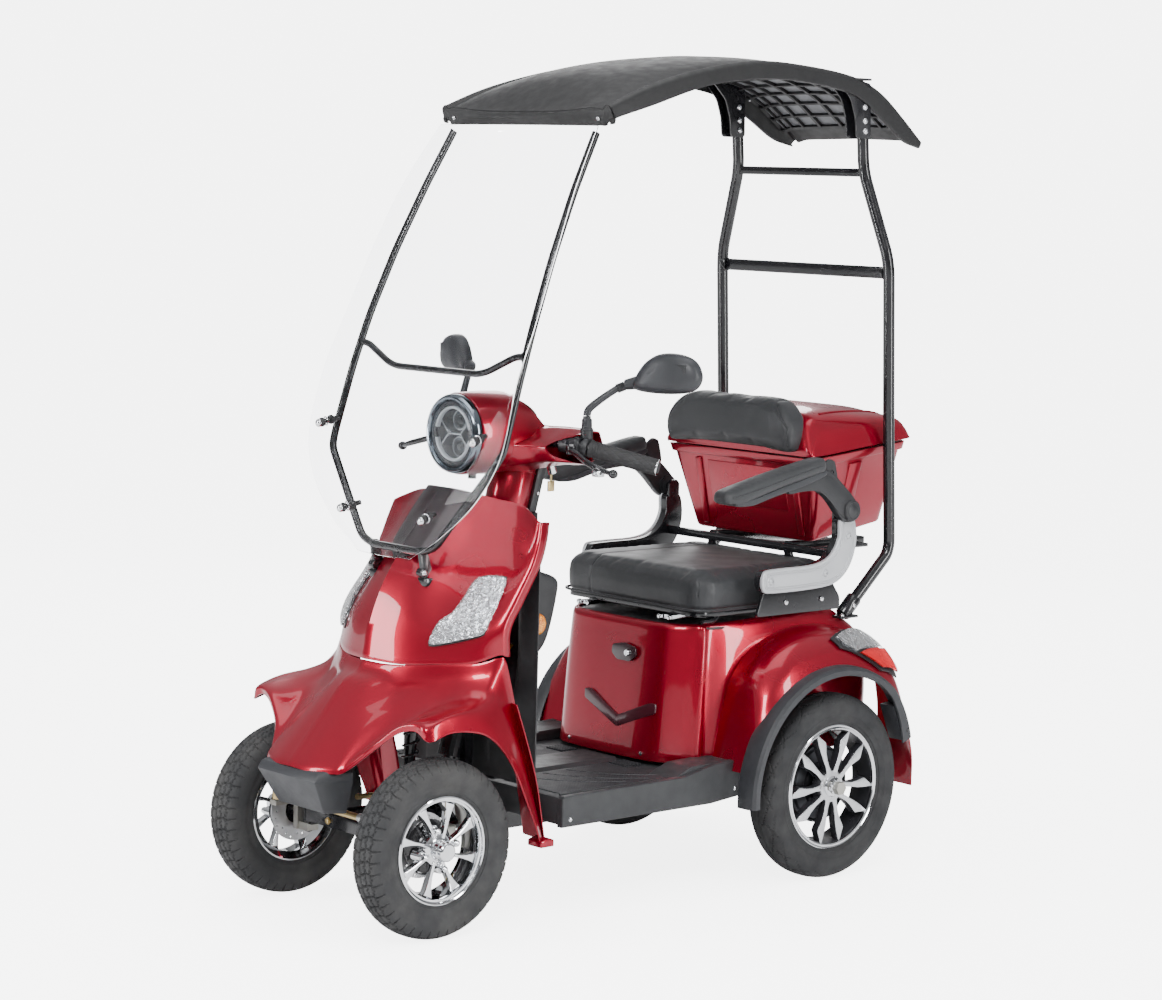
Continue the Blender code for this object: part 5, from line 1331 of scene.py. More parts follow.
def windscreen():
    piece = SCREEN.shell("windscreen_sheet", 0.0035, 28, 84, bevel=0.0008)
    put(piece, "chassis", ACRYLIC, "windscreen", 50)
    path = [(x, y + 0.008, z) for x, y, z in SCREEN_PATH]
    hoop = pipe("screen_hoop", path + flipped_points(path)[::-1], 0.0080, 0.030, 24)
    bar = pipe("screen_cross_tube",
               [(0.264, -0.421, 1.143), (0.235, -0.421, 1.140), (0.145, -0.430, 1.100),
                                     (-0.145, -0.430, 1.100), (-0.235, -0.421, 1.140),
                (-0.264, -0.421, 1.143)],
               0.0070, 0.030, 20)
    welds = [ring("weld", (side * 0.2625, -0.4215, 1.1425), (1, 0, 0.05), 0.0078, 0.0022, 24,
                  8) for side in (1, -1)]
    parts = [hoop, bar, *welds]
    for side in (1, -1):
        parts += [flat_plate("bracket",
                             round_corners([(-0.531, 0.752), (-0.512, 0.752), (-0.489, 0.680),
                                            (-0.497, 0.668),
                                                       (-0.520, 0.690)], 0.005), side * 0.078 - 0.004,
                             side * 0.078 + 0.004, 0.001),
                  rod("bracket_eye", (side * 0.078 - 0.008, -0.520, 0.700),
                      (side * 0.078 + 0.008, -0.520, 0.700), 0.0095, bevel=0.001),
                  block("foot", (side * 0.078 - 0.015, -0.522, 0.673),
                        (side * 0.078 + 0.015, -0.494, 0.690), 0.003)]
    put(merged("screen_frame_tubes", parts), "chassis", BLACK_PAINT, "windscreen_frame", 35)
    bolts = [button_head("bolt", (side * 0.086, -0.520, 0.700), (side, 0, 0), 0.0062) for side in (1, -1)]
    put(merged("screen_bracket_bolts", bolts), "chassis", CHROME)
    rubbers, caps = [], []
    for side in (1, -1):
        for x, y, z in ((0.240, -0.500, 0.986), (0.122, -0.530, 0.822)):
            spot = Vector((side * x, y, z))
            out = Vector((side * 0.25, -1.0, -0.25)).normalized()
            rubbers.append(rod("stud", spot - out * 0.006, spot + out * 0.030, 0.0052, bevel=0.0006))
            rubbers.append(ball("rubber_back", spot + out * 0.012, (0.0100, 0.0075, 0.0100), 20, 12))
            rubbers.append(ball("rubber_front", spot + out * 0.034, (0.0098, 0.0080, 0.0098), 20, 12))
            caps.append(ball("cap", spot + out * 0.041, (0.0086, 0.0066, 0.0086), 20, 12))
            caps.append(ring("washer", spot + out * 0.024, out, 0.0090, 0.0016, 28, 8))
    put(merged("screen_knob_rubbers", rubbers), "chassis", GRIP_RUBBER)
    put(merged("screen_knob_caps", caps), "chassis", CHROME)


def roll_frame():
    parts, bolts = [], []
    for side in (1, -1):
        path = POST_PATH if side > 0 else flipped_points(POST_PATH)
        parts.append(pipe("post", path, 0.0128, 0.045, 28))
        spot = Vector((side * 0.250, 0.527, 0.5555))
        parts += [block("foot_plate", (side * 0.250 - 0.022, 0.501, 0.5500),
                        (side * 0.250 + 0.022, 0.556, 0.5560), 0.002),
                  rod("foot_collar", spot, spot + Vector((side * 0.003, 0.032, 0.034)), 0.0170,
                      bevel=0.0015),
                  ring("foot_weld", spot + Vector((side * 0.003, 0.032, 0.034)),
                       (side * 0.1, 0.69, 0.72), 0.0140, 0.003, 28, 8)]
        gusset = round_corners([(0.560, 1.596), (0.555, 1.640), (0.540, 1.680), (0.505, 1.712),
                                (0.470, 1.724),
                                (0.470, 1.730), (0.600, 1.716), (0.604, 1.596)], 0.010)
        for shift in (-0.0165, 0.0125):
            parts.append(flat_plate("gusset", gusset, side * 0.195 + shift, side * 0.195 + shift + 0.004,
                                    0.001))
        parts.append(block("gusset_pad", (side * 0.195 - 0.018, 0.470, 1.7215),
                           (side * 0.195 + 0.018, 0.600, 1.7265), 0.001))
        parts.append(ring("low_weld", (side * 0.2495, 0.627, 1.305), (1, 0, 0), 0.0130, 0.0030, 28, 8))
        for z, y in ((1.612, 0.586), (1.634, 0.584), (1.664, 0.582)):
            for end in (1, -1):
                bolts.append(button_head("bolt", (side * 0.195 + end * 0.0165, y, z), (end, 0, 0),
                                         0.0070, 0.0045))
        bolts.append(button_head("clamp_bolt", (side * 0.250 - 0.015, 0.510, 0.5555), (0, 0, 1), 0.0058,
                                 0.005))
        bolts.append(button_head("clamp_bolt", (side * 0.250 + 0.015, 0.510, 0.5555), (0, 0, 1), 0.0058,
                                 0.005))
        bolts.append(button_head("collar_bolt", (side * 0.250 + side * 0.0165, 0.545, 0.576),
                                 (side, 0, 0), 0.0060, 0.005))
    bar = block("low_bar", (-0.252, 0.6215, 1.2920), (0.252, 0.6325, 1.3180), 0.0025, 3)
    top = block("top_bar", (-0.190, 0.5980, 1.5130), (0.190, 0.6080, 1.5310), 0.0025, 3)
    put(merged("roll_frame_tubes", [*parts, bar, top]), "chassis", BLACK_PAINT, "rear_roll_frame", 35)
    put(merged("roll_frame_bolts", bolts), "chassis", BRIGHT_ALLOY)


roof_panel()
roof_underside()
windscreen()
roll_frame()


# ---- wheels ---------------------------------------------------------------------------------
def groove(distance, half):
    """1 in the middle of a groove, 0 outside it, with steep sides."""
    t = min(max((half * 1.25 - abs(distance)) / (half * 0.5), 0.0), 1.0)
    return t * t * (3 - 2 * t)


def zigzag(t):
    return abs((t % 1.0) * 2 - 1) * 2 - 1


def block_tread(turn, across):
    """Depth share of the front tyre's block pattern; across runs from -1 to 1 over the tread."""
    pitch = turn * 46
    reach = abs(across)
    wave = zigzag(pitch) * 0.055
    depth = max(groove(across - wave, 0.040), groove(reach - 0.40 - wave, 0.040),
                groove(reach - 0.74 + wave, 0.036))
    row = 0 if reach < 0.40 + wave else (1 if reach < 0.74 - wave else 2)
    shift = (0.0, 0.5, 0.0)[row] + (0.25 if across > 0 else 0.0)
    slant = (0.55, -0.45, 0.12)[row] * reach
    local = (pitch + shift + slant) % 1.0 - 0.5
    if reach < 1.34:
        depth = max(depth, groove(local, 0.075 if row < 2 else 0.060))
    return depth


def road_tread(turn, across):
    """Depth share of the rear tyre's long curved grooves."""
    reach = abs(across)
    side = 0.5 if across > 0 else 0.0
    depth = groove(across, 0.030)
    for period, start, end, bend, width in ((18, 0.16, 1.30, 1.15, 0.034),
                                            (18, 0.50, 1.20, -0.75, 0.026)):
        place = turn * period + side + bend * max(reach - 0.1, 0.0) ** 1.35 + (0.35 if bend < 0 else 0.0)
        local = place % 1.0 - 0.5
        if start < reach < end:
            ease = min((reach - start) / 0.10, (end - reach) / 0.14, 1.0)
            depth = max(depth, groove(local, width * ease))
    return depth


def tyre(name, hub, side, outer, bead, tread, depth, around, material, node, body):
    """A tyre whose grooves are in its mesh: the profile turned round the hub, lowered in the grooves."""
    half = TYRE_HALF - 0.0004
    wall = outer - bead
    profile = []
    crown = 34
    for k in range(crown + 1):
        across = -1.38 + 2.76 * k / crown
        bent = min(abs(across), 1.38)
        x = half * 0.985 * sin(min(bent * 0.98, 1.5)) * (1 if across > 0 else -1)
        r = outer - 0.0004 - wall * 0.30 * (bent / 1.38) ** 2.6
        profile.append((x, r, across))
    flank = [(half * 1.0, bead + wall * 0.58, None), (half * 0.985, bead + wall * 0.46, None),
             (half * 0.955, bead + wall * 0.335, None), (half * 0.940, bead + wall * 0.325, None),
             (half * 0.900, bead + wall * 0.20, None), (half * 0.86, bead + wall * 0.12, None),
             (half * 0.82, bead + wall * 0.115, None), (half * 0.76, bead + wall * 0.03, None),
             (half * 0.70, bead - 0.0005, None), (half * 0.58, bead - 0.0005, None)]
    profile = [(-x, r, a) for x, r, a in reversed(flank)] + profile + flank
    shape = bmesh.new()
    loops = []
    for i in range(around):
        turn = i / around
        a = 2 * pi * turn
        loop = []
        for x, r, across in profile:
            if across is not None:
                fade = min(max((1.42 - abs(across)) / 0.10, 0.0), 1.0)
                r -= depth * fade * tread(turn, across)
            loop.append(shape.verts.new((side * hub.x + x, hub.y + r * cos(a), hub.z + r * sin(a))))
        loops.append(loop)
    count = len(profile)
    for i in range(around):
        for j in range(count):
            shape.faces.new((loops[i][j], loops[(i + 1) % around][j],
                             loops[(i + 1) % around][(j + 1) % count], loops[i][(j + 1) % count]))
    put(from_bmesh(name, shape), body, material, node, 33)


def around_hub(pieces, hub, side):
    """Wheel pieces drawn with +X outwards about the origin, put on their hub on either side."""
    for piece in pieces:
        piece.data.transform(Matrix.Translation((side * hub.x, hub.y, hub.z)) @ Matrix.Diagonal((side, 1,
                                                                                                 1, 1)))
        if side < 0:
            piece.data.flip_normals()
    return pieces


def blade(name, outline, x_low, x_high, angle, bevel, mirror=1):
    """A spoke from (radius, offset) points, turned to its angle round the hub."""
    made = flat_plate(name, [(r, t * mirror) for r, t in outline], x_low, x_high, bevel, 2)
    made.data.transform(Matrix.Rotation(radians(angle), 4, "X"))
    return made


def acorn(name, place, radius, length):
    return turned(name, [(place[0], 0.0), (place[0], radius * 1.15),
                         (place[0] + length * 0.12, radius * 1.15),
                         (place[0] + length * 0.15, radius), (place[0] + length * 0.55, radius),
                         (place[0] + length * 0.80, radius * 0.86),
                         (place[0] + length * 0.94, radius * 0.55),
                         (place[0] + length, 0.0)], (0, place[1], place[2]), 28)


def front_wheel(side, word):
    body = "front_wheel_" + word
    tyre("front_tyre_treads_" + word, FRONT_HUB, side, FRONT_R, FRONT_RIM_R, block_tread, 0.0042, 736,
         FRONT_RUBBER,
         "front_tyre_" + word, body)
    edge = FRONT_RIM_R + 0.0015
    lip = turned("lip", [(0.0300, edge), (0.0325, edge - 0.0005), (0.0338, edge - 0.0030),
                         (0.0328, edge - 0.0060),
                         (0.0290, edge - 0.0075), (0.0285, edge - 0.0110), (0.0255, edge - 0.0125),
                         (0.0120, edge - 0.0165),
                         (-0.0220, edge - 0.0175), (-0.0290, edge - 0.0080), (-0.0320, edge - 0.0030),
                         (-0.0310, edge), (-0.0250, edge - 0.0050), (-0.0200, edge - 0.0130),
                         (0.0100, edge - 0.0130),
                         (0.0240, edge - 0.0060)], (0, 0, 0), 120)
    spoke = [(0.024, -0.0068), (0.040, -0.0060), (0.056, -0.0040), (0.072, 0.0005), (0.084, 0.0055),
             (0.0935, 0.0110),
             (0.0935, -0.0120), (0.084, -0.0105), (0.066, -0.0108), (0.046, -0.0128), (0.024, -0.0150)]
    outline = [(r, t + 0.0105) for r, t in spoke]
    blades = [blade("spoke", outline, 0.0060, 0.0225, 22.5 + 45 * k, 0.0022) for k in range(8)]
    hub = turned("hub", [(-0.0160, 0.0), (-0.0160, 0.0300), (0.0080, 0.0330), (0.0180, 0.0320),
                         (0.0200, 0.0290),
                         (0.0215, 0.0215), (0.0380, 0.0205), (0.0400, 0.0192), (0.0490, 0.0188),
                         (0.0515, 0.0170),
                         (0.0525, 0.0150), (0.0520, 0.0)], (0, 0, 0), 64)
    nuts, lugs = [], []
    for k in range(4):
        a = radians(90 * k + 14)
        y, z = 0.0400 * cos(a), 0.0400 * sin(a)
        lugs.append(turned("lug_seat",
                           [(-0.004, 0.0), (-0.004, 0.0118), (0.0165, 0.0108), (0.0180, 0.0090),
                            (0.0180, 0.0)],
                           (0, y, z), 28))
        nuts.append(acorn("lug_nut", (0.0180, y, z), 0.0072, 0.0165))
    around_hub([lip, *blades, hub, *lugs, *nuts], FRONT_HUB, side)
    put(merged("front_wheel_chrome_" + word, [lip, *blades, hub, *lugs, *nuts]), body, CHROME,
        "front_rim_" + word, 28)
    drum = turned("drum", [(-0.0300, 0.0), (-0.0300, 0.0500), (-0.0120, 0.0560), (-0.0080, 0.0500),
                           (-0.0060, 0.0)],
                  (0, 0, 0), 64)
    disc = turned("disc", [(-0.0345, 0.030), (-0.0345, 0.066), (-0.0315, 0.066), (-0.0315, 0.030)],
                  (0, 0, 0), 72)
    holes = []
    for k in range(24):
        a = 2 * pi * k / 24
        r = 0.0555 + 0.004 * (k % 3 - 1)
        holes.append(rod("hole", (-0.05, r * cos(a), r * sin(a)), (-0.02, r * cos(a), r * sin(a)),
                         0.0022, segments=10))
    disc = carved(disc, merged("holes", holes))
    valve = [rod("valve", (0.0200, 0.0, 0.0935), (0.0335, 0.0, 0.0845), 0.0032, segments=16),
             rod("valve_cap", (0.0310, 0.0, 0.0862), (0.0370, 0.0, 0.0822), 0.0042, segments=12,
                 bevel=0.0006)]
    around_hub([drum, disc, *valve], FRONT_HUB, side)
    put(drum, body, BLACK_PAINT)
    drum.name = "front_hub_drum_" + word
    put(disc, body, STEEL)
    disc.name = "front_brake_disc_" + word
    put(merged("front_valve_" + word, valve), body, GRIP_RUBBER)


def rear_wheel(side, word):
    body = "rear_wheel_" + word
    tyre("rear_tyre_treads_" + word, REAR_HUB, side, REAR_R, REAR_RIM_R, road_tread, 0.0036, 720,
         REAR_RUBBER,
         "rear_tyre_" + word, body)
    edge = REAR_RIM_R + 0.0015
    lip = turned("lip", [(0.0270, edge), (0.0305, edge - 0.0004), (0.0318, edge - 0.0025),
                         (0.0310, edge - 0.0045),
                         (0.0300, edge - 0.0050), (0.0318, edge - 0.0056), (0.0322, edge - 0.0085),
                         (0.0305, edge - 0.0108),
                         (0.0270, edge - 0.0112), (0.0240, edge - 0.0080)], (0, 0, 0), 144)
    barrel = turned("barrel", [(0.0262, edge - 0.0010), (0.0262, edge - 0.0125), (0.0100, edge - 0.0150),
                               (-0.0250, edge - 0.0170), (-0.0310, edge - 0.0060), (-0.0320, edge),
                               (-0.0280, edge - 0.0050),
                               (-0.0220, edge - 0.0120), (0.0100, edge - 0.0110),
                               (0.0220, edge - 0.0040)], (0, 0, 0), 144)
    outline = [(0.022, -0.0100), (0.034, -0.0062), (0.046, -0.0054), (0.062, -0.0072), (0.082, -0.0104),
               (0.102, -0.0120),
               (0.1245, -0.0115), (0.1245, -0.0065), (0.1010, 0.0112), (0.0940, 0.0104), (0.078, 0.0060),
               (0.060, 0.0046),
               (0.046, 0.0060), (0.034, 0.0082), (0.022, 0.0120)]
    dark, bright = [], []
    for k in range(10):
        mirror = 1 if k % 2 else -1
        angle = 90 + 36 * k + (17.0 if k % 2 else 19.0)
        dark.append(blade("arm", outline, 0.0080, 0.0258, angle, 0.0018, mirror))
        face = [(r, t * 0.93) for r, t in outline]
        bright.append(blade("face", face, 0.0235, 0.0272, angle, 0.0009, mirror))
    centre = turned("centre",
                    [(0.0060, 0.0), (0.0060, 0.0400), (0.0200, 0.0385), (0.0252, 0.0350), (0.0256, 0.0)],
                    (0, 0, 0), 72)
    centre_face = turned("centre_face",
                         [(0.0200, 0.0), (0.0240, 0.0345), (0.0268, 0.0335), (0.0278, 0.0290),
                          (0.0278, 0.0)],
                         (0, 0, 0), 72)
    cap = turned("cap", [(0.0240, 0.0), (0.0240, 0.0235), (0.0300, 0.0228), (0.0330, 0.0200),
                         (0.0340, 0.0150),
                         (0.0360, 0.0140), (0.0380, 0.0)], (0, 0, 0), 56)
    nut = turned("nut", [(0.0340, 0.0), (0.0340, 0.0125), (0.0455, 0.0125), (0.0475, 0.0105),
                         (0.0480, 0.0)], (0, 0, 0), 6)
    stub = turned("stub", [(0.0450, 0.0), (0.0450, 0.0072), (0.0535, 0.0068), (0.0550, 0.0050),
                           (0.0550, 0.0)], (0, 0, 0), 32)
    pin = pipe("pin", [(0.0505, -0.016, 0.002), (0.0505, 0.008, 0.002), (0.0500, 0.015, 0.006)], 0.0013,
               0.003, 8)
    drum = turned("drum", [(-0.0300, 0.0), (-0.0300, 0.0780), (-0.0120, 0.0800), (-0.0080, 0.0760),
                           (-0.0070, 0.0520),
                           (-0.0020, 0.0500), (-0.0010, 0.0)], (0, 0, 0), 96)
    fins = [turned("fin", [(x, 0.070), (x, 0.0845), (x + 0.002, 0.0845), (x + 0.002, 0.070)], (0, 0, 0),
                   96)
            for x in (-0.028, -0.0235, -0.019, -0.0145)]
    valve = [rod("valve", (0.0150, 0.0, 0.119), (0.0290, 0.0, 0.110), 0.0032, segments=16),
             rod("valve_cap", (0.0265, 0.0, 0.1115), (0.0330, 0.0, 0.1075), 0.0042, segments=12,
                 bevel=0.0006)]
    around_hub([lip, barrel, *dark, *bright, centre, centre_face, cap, nut, stub, pin, drum, *fins,
                *valve], REAR_HUB, side)
    put(merged("rear_wheel_dark_" + word, [barrel, *dark, centre]), body, DARK_PAINT_ALLOY,
        "rear_rim_" + word, 28)
    put(merged("rear_wheel_faces_" + word, [*bright, centre_face]), body, MACHINED, sharp=28)
    put(merged("rear_wheel_lip_" + word, [lip, cap, nut, stub, pin]), body, CHROME, sharp=28)
    put(merged("rear_brake_drum_" + word, [drum, *fins]), body, DARK_ALLOY, sharp=28)
    put(merged("rear_valve_" + word, valve), body, GRIP_RUBBER)


for wheel_side, wheel_word in SIDES:
    front_wheel(wheel_side, wheel_word)
    rear_wheel(wheel_side, wheel_word)


# ---- handlebar, headlamp and controls ---------------------------------------------------
BAR_START = Vector((0.2140, -0.1977, 0.9487))
BAR_END = Vector((0.3300, -0.1240, 0.9180))
BAR_RUN = (BAR_END - BAR_START).normalized()
COLUMN_RUN = Vector((0, sin(radians(15)), cos(radians(15))))
COLUMN_TOP = Vector((0, -0.215, 0.900))
LAMP_Z = 0.9685


def on_column(height):
    return COLUMN_TOP + COLUMN_RUN * ((height - COLUMN_TOP.z) / COLUMN_RUN.z)


def wing_sections():
    """Across the cover's wing, from the lamp housing out: closed (y, z) sections."""
    rows = (
        (-0.001, (-0.330, 0.950), (-0.290, 0.992), (-0.230, 0.996), (-0.182, 0.985), (-0.166, 0.950),
         (-0.180, 0.902),
         (-0.235, 0.880), (-0.306, 0.896)),
        (0.030, (-0.322, 0.950), (-0.290, 0.992), (-0.230, 0.996), (-0.182, 0.985), (-0.166, 0.950),
         (-0.180, 0.906),
         (-0.235, 0.884), (-0.300, 0.900)),
        (0.070, (-0.302, 0.9485), (-0.252, 0.964), (-0.222, 0.981), (-0.180, 0.984), (-0.164, 0.952),
         (-0.180, 0.912),
         (-0.225, 0.893), (-0.284, 0.905)),
        (0.110, (-0.268, 0.9475), (-0.234, 0.964), (-0.206, 0.984), (-0.172, 0.985), (-0.158, 0.955),
         (-0.172, 0.917),
         (-0.208, 0.903), (-0.256, 0.914)),
        (0.150, (-0.256, 0.9475), (-0.226, 0.9695), (-0.202, 0.9855), (-0.170, 0.985), (-0.158, 0.957),
         (-0.168, 0.922),
         (-0.206, 0.910), (-0.248, 0.918)),
        (0.180, (-0.244, 0.9475), (-0.218, 0.9735), (-0.194, 0.9850), (-0.167, 0.984), (-0.156, 0.957),
         (-0.165, 0.925),
         (-0.204, 0.912), (-0.240, 0.9190)),
        (0.210, (-0.234, 0.9480), (-0.210, 0.9760), (-0.190, 0.9835), (-0.168, 0.981), (-0.158, 0.957),
         (-0.166, 0.928),
         (-0.200, 0.915), (-0.230, 0.9200)),
    )
    return [[(row[0], y, z) for y, z in row[1:]] for row in rows]


def wing(name):
    solid = lofted(name, between(wing_sections(), 24))
    return frozen(rounded(solid, 0.0030, 3, 24))


def shrunk(loops, amount):
    """The loops pulled in by an amount, for a shell's inside."""
    result = []
    for loop in loops:
        centre = sum((Vector(p) for p in loop), Vector()) / len(loop)
        arms = [Vector(p) - centre for p in loop]
        result.append([centre + arm * (1 - amount / arm.length) for arm in arms])
    return result


def handlebar_cover():
    shell_profile = [(-0.3715, 0.0760), (-0.3715, 0.0835), (-0.3690, 0.0845), (-0.3100, 0.0860),
                     (-0.2700, 0.0850),
                     (-0.2300, 0.0800), (-0.1950, 0.0700), (-0.1700, 0.0560), (-0.1640, 0.0400),
                     (-0.1640, 0.0010),
                     (-0.3300, 0.0010), (-0.3300, 0.0760)]
    housing = turned("handlebar_cover_shell", shell_profile, (0, 0, LAMP_Z), 96, "Y")
    housing = carved(welded(housing),
                     flat_plate("slant", [(-0.2560, 1.0720), (-0.2560, 1.0400), (-0.2480, 1.0370),
                                                           (-0.1840, 0.9720), (-0.1500, 0.9720),
                                          (-0.1500, 1.0720)],
                                                 -0.10, 0.10, 0.004))
    inside = lofted("inside", between(shrunk(wing_sections(), 0.0032), 24))
    keep_out = block("keep_out", (-0.10, -0.40, 0.80), (0.118, 0.0, 1.10))
    inside = carved(inside, keep_out)
    end_room = block("end_room", (0.186, -0.230, 0.9235), (0.225, -0.166, 0.9765), 0.006)
    mouth = flat_plate("mouth",
                       smooth_outline([(0.142, 0.9480), (0.150, 0.9580), (0.170, 0.9670), (0.196, 0.9735),
                                                (0.224, 0.9780), (0.224, 0.9180), (0.196, 0.9225),
                                       (0.166, 0.9285),
                                                (0.149, 0.9370)], 5), -0.40, -0.208, 0.0, 2, "XZ")
    near = wing("wing")
    for cutter in (inside, end_room, mouth):
        near = carved(near, cutter)
    far = mirror_copy(near, "far_wing")
    housing = carved(carved(housing, near, "UNION"), far, "UNION")
    put(frozen(rounded(housing, 0.0012, 2, 40)), "handlebar", RED, "handlebar_cover", 32)


def instrument():
    """The display behind the slanted back of the lamp housing, with a pale rim."""
    slope = Matrix.Rotation(radians(-45), 4, "X")
    rim = ball("instrument_rim", (0, 0, 0), (0.0600, 0.0490, 0.0150), 48, 20)
    rim.matrix_world = Matrix.Translation((0, -0.2160, 1.0020)) @ slope
    put(frozen(rim), "handlebar", SILVER_PLASTIC)
    face = ball("instrument_face", (0, 0, 0), (0.0500, 0.0400, 0.0045), 48, 16)
    face.matrix_world = Matrix.Translation((0, -0.2160, 1.0020)) @ slope @ Matrix.Translation((0, 0,
                                                                                               0.0125))
    put(frozen(face), "handlebar", DARK_LENS)
    barrel = rod("key_barrel", (0.098, -0.205, 0.912), (0.098, -0.196, 0.888), 0.0095, segments=32,
                 bevel=0.001)
    put(barrel, "handlebar", CHROME)
    key = merged("ignition_key",
                 [block("blade", (0.0970, -0.2025, 0.8700), (0.0990, -0.1975, 0.8900), 0.0004),
                                  block("bow", (0.0960, -0.2090, 0.8500), (0.1000, -0.1910, 0.8720),
                                        0.0016)])
    put(key, "handlebar", ZINC)


def column_shroud():
    low, high = on_column(0.795), on_column(0.905)
    put(rod("column_shroud", low, high, 0.0460, segments=64, bevel=0.002), "handlebar", RED)
    collar = rod("column_collar", on_column(0.8860), on_column(0.8900), 0.0472, segments=64, bevel=0.001)
    put(collar, "handlebar", RED)
    back = Vector((0, 0.0400, -0.0107))
    plate = flat_plate("column_plate", [((on_column(z) + back).y + shift, z) for z, shift in
                                        ((0.800, -0.006), (0.905, -0.006), (0.905, 0.014),
                                         (0.800, 0.014))],
                       -0.0400, 0.0400, 0.0025)
    put(plate, "handlebar", BLACK_PLASTIC)
    for side, word in SIDES:
        place = on_column(0.8500) + back + Vector((side * 0.0400, 0.004, 0))
        screw = button_head("column_plate_screw_" + word, place, (side, 0, 0), 0.0048, 0.0030)
        put(screw, "handlebar", CHROME)
    lug = rod("horn_bracket", (0, -0.330, 0.890), (0, -0.330, 0.874), 0.0090, segments=24, bevel=0.001)
    put(lug, "handlebar", BLACK_PLASTIC)


def headlamp():
    centre = (0, 0, LAMP_Z)
    bezel = turned("headlamp_bezel",
                   [(-0.3725, 0.0700), (-0.3725, 0.0815), (-0.3760, 0.0822), (-0.3840, 0.0812),
                                      (-0.3900, 0.0785), (-0.3925, 0.0745), (-0.3915, 0.0705),
                    (-0.3870, 0.0680),
                                      (-0.3800, 0.0665)], centre, 96, "Y")
    put(bezel, "handlebar", DARK_CHROME, "headlamp")
    step = turned("headlamp_step",
                  [(-0.3840, 0.0590), (-0.3840, 0.0672), (-0.3780, 0.0690), (-0.3700, 0.0690),
                                    (-0.3700, 0.0590)], centre, 96, "Y")
    put(step, "handlebar", DARK_ALLOY)
    bowl = turned("headlamp_bowl",
                  [(-0.3760, 0.0590), (-0.3360, 0.0480), (-0.3330, 0.0010), (-0.3280, 0.0010),
                                    (-0.3280, 0.0700), (-0.3760, 0.0700)], centre, 96, "Y")
    put(bowl, "handlebar", DARK_ALLOY)
    halo_radius = 0.0535
    for word, start, end in (("upper", 12, 168), ("lower", 192, 348)):
        points = [(halo_radius * cos(radians(a)), -0.3800, LAMP_Z + halo_radius * sin(radians(a)))
                  for a in range(start, end + 1, 4)]
        guide = rod_path("halo_" + word, points, [(0.0060, 0.0035), (0.0060, 0.0035)], 60, 14)
        put(guide, "handlebar", LAMP_WHITE)
    divider = [block("bar", (-0.0200, -0.3790, LAMP_Z - 0.0022), (0.0200, -0.3420, LAMP_Z + 0.0022),
                     0.0008)]
    for side in (-1, 1):
        for up in (-1, 1):
            start = Vector((side * 0.0190, 0, LAMP_Z))
            end = Vector((side * 0.0420, 0, LAMP_Z + up * 0.0260))
            divider.append(flat_plate("arm",
                                      [(start.x, start.z + up * 0.0024), (start.x, start.z - up * 0.0020),
                                              (end.x + side * 0.0016, end.z - up * 0.0016),
                                              (end.x - side * 0.0012, end.z + up * 0.0020)],
                                      -0.3790, -0.3420, 0.0006, 2, "XZ"))
    put(merged("headlamp_divider", divider), "handlebar", REFLECTOR_SILVER)
    for up, word in ((1, "high"), (-1, "low")):
        z = LAMP_Z + up * 0.0270
        cup = turned("projector_cup_" + word,
                     [(-0.3660, 0.0185), (-0.3660, 0.0205), (-0.3400, 0.0205), (-0.3400, 0.0010),
                                               (-0.3430, 0.0010), (-0.3430, 0.0140)], (0, 0, z), 64, "Y")
        put(cup, "handlebar", REFLECTOR_SILVER)
        lens = ball("projector_lens_" + word, (0, -0.3560, z), (0.0150, 0.0110, 0.0150), 40, 20)
        put(lens, "handlebar", LENS_CLEAR)
        core = ball("projector_core_" + word, (0, -0.3440, z), (0.0080, 0.0040, 0.0080), 24, 12)
        put(core, "handlebar", LAMP_WHITE)
    glass = turned("headlamp_glass",
                   [(-0.3850, 0.0665), (-0.3880, 0.0560), (-0.3910, 0.0380), (-0.3925, 0.0190),
                                      (-0.3930, 0.0005), (-0.3905, 0.0005), (-0.3900, 0.0190),
                    (-0.3885, 0.0380),
                                      (-0.3857, 0.0560), (-0.3830, 0.0665)], centre, 96, "Y")
    put(glass, "handlebar", LENS_CLEAR)


def switches():
    rods = [rod("cone", (0.150, -0.2200, 0.9530), BAR_START - BAR_RUN * 0.0030, 0.0165, 0.0175, 40,
                0.002),
            rod("band", BAR_START - BAR_RUN * 0.0160, BAR_START - BAR_RUN * 0.0040, 0.0190, 0.0185, 40,
                0.002),
            block("mount", (0.1750, -0.2280, 0.9380), (0.2030, -0.1900, 0.9680), 0.006, 3),
            rod("mirror_seat", (0.2000, -0.1960, 0.9600), (0.2000, -0.1960, 0.9855), 0.0130, segments=40,
                bevel=0.001)]
    put_pair(merged("switch_housing_left", rods), "handlebar", BLACK_PLASTIC)
    buttons = [rod("button", (0.1760, -0.2280, 0.9600), (0.1760, -0.2335, 0.9615), 0.0042, segments=24,
                   bevel=0.0006),
               block("rocker", (0.1760, -0.1780, 0.9560), (0.1960, -0.1700, 0.9640), 0.0015)]
    put_pair(merged("switch_button_left", buttons), "handlebar", GREY_PLASTIC)


def grip_height(angle, along):
    """How far the diamond pattern stands out."""
    turns = 9
    lean = 30.0
    first = abs(sin(turns / 2 * (angle + lean * along)))
    second = abs(sin(turns / 2 * (angle - lean * along)))
    return 0.0013 * min(1.0, 2.2 * min(first, second))


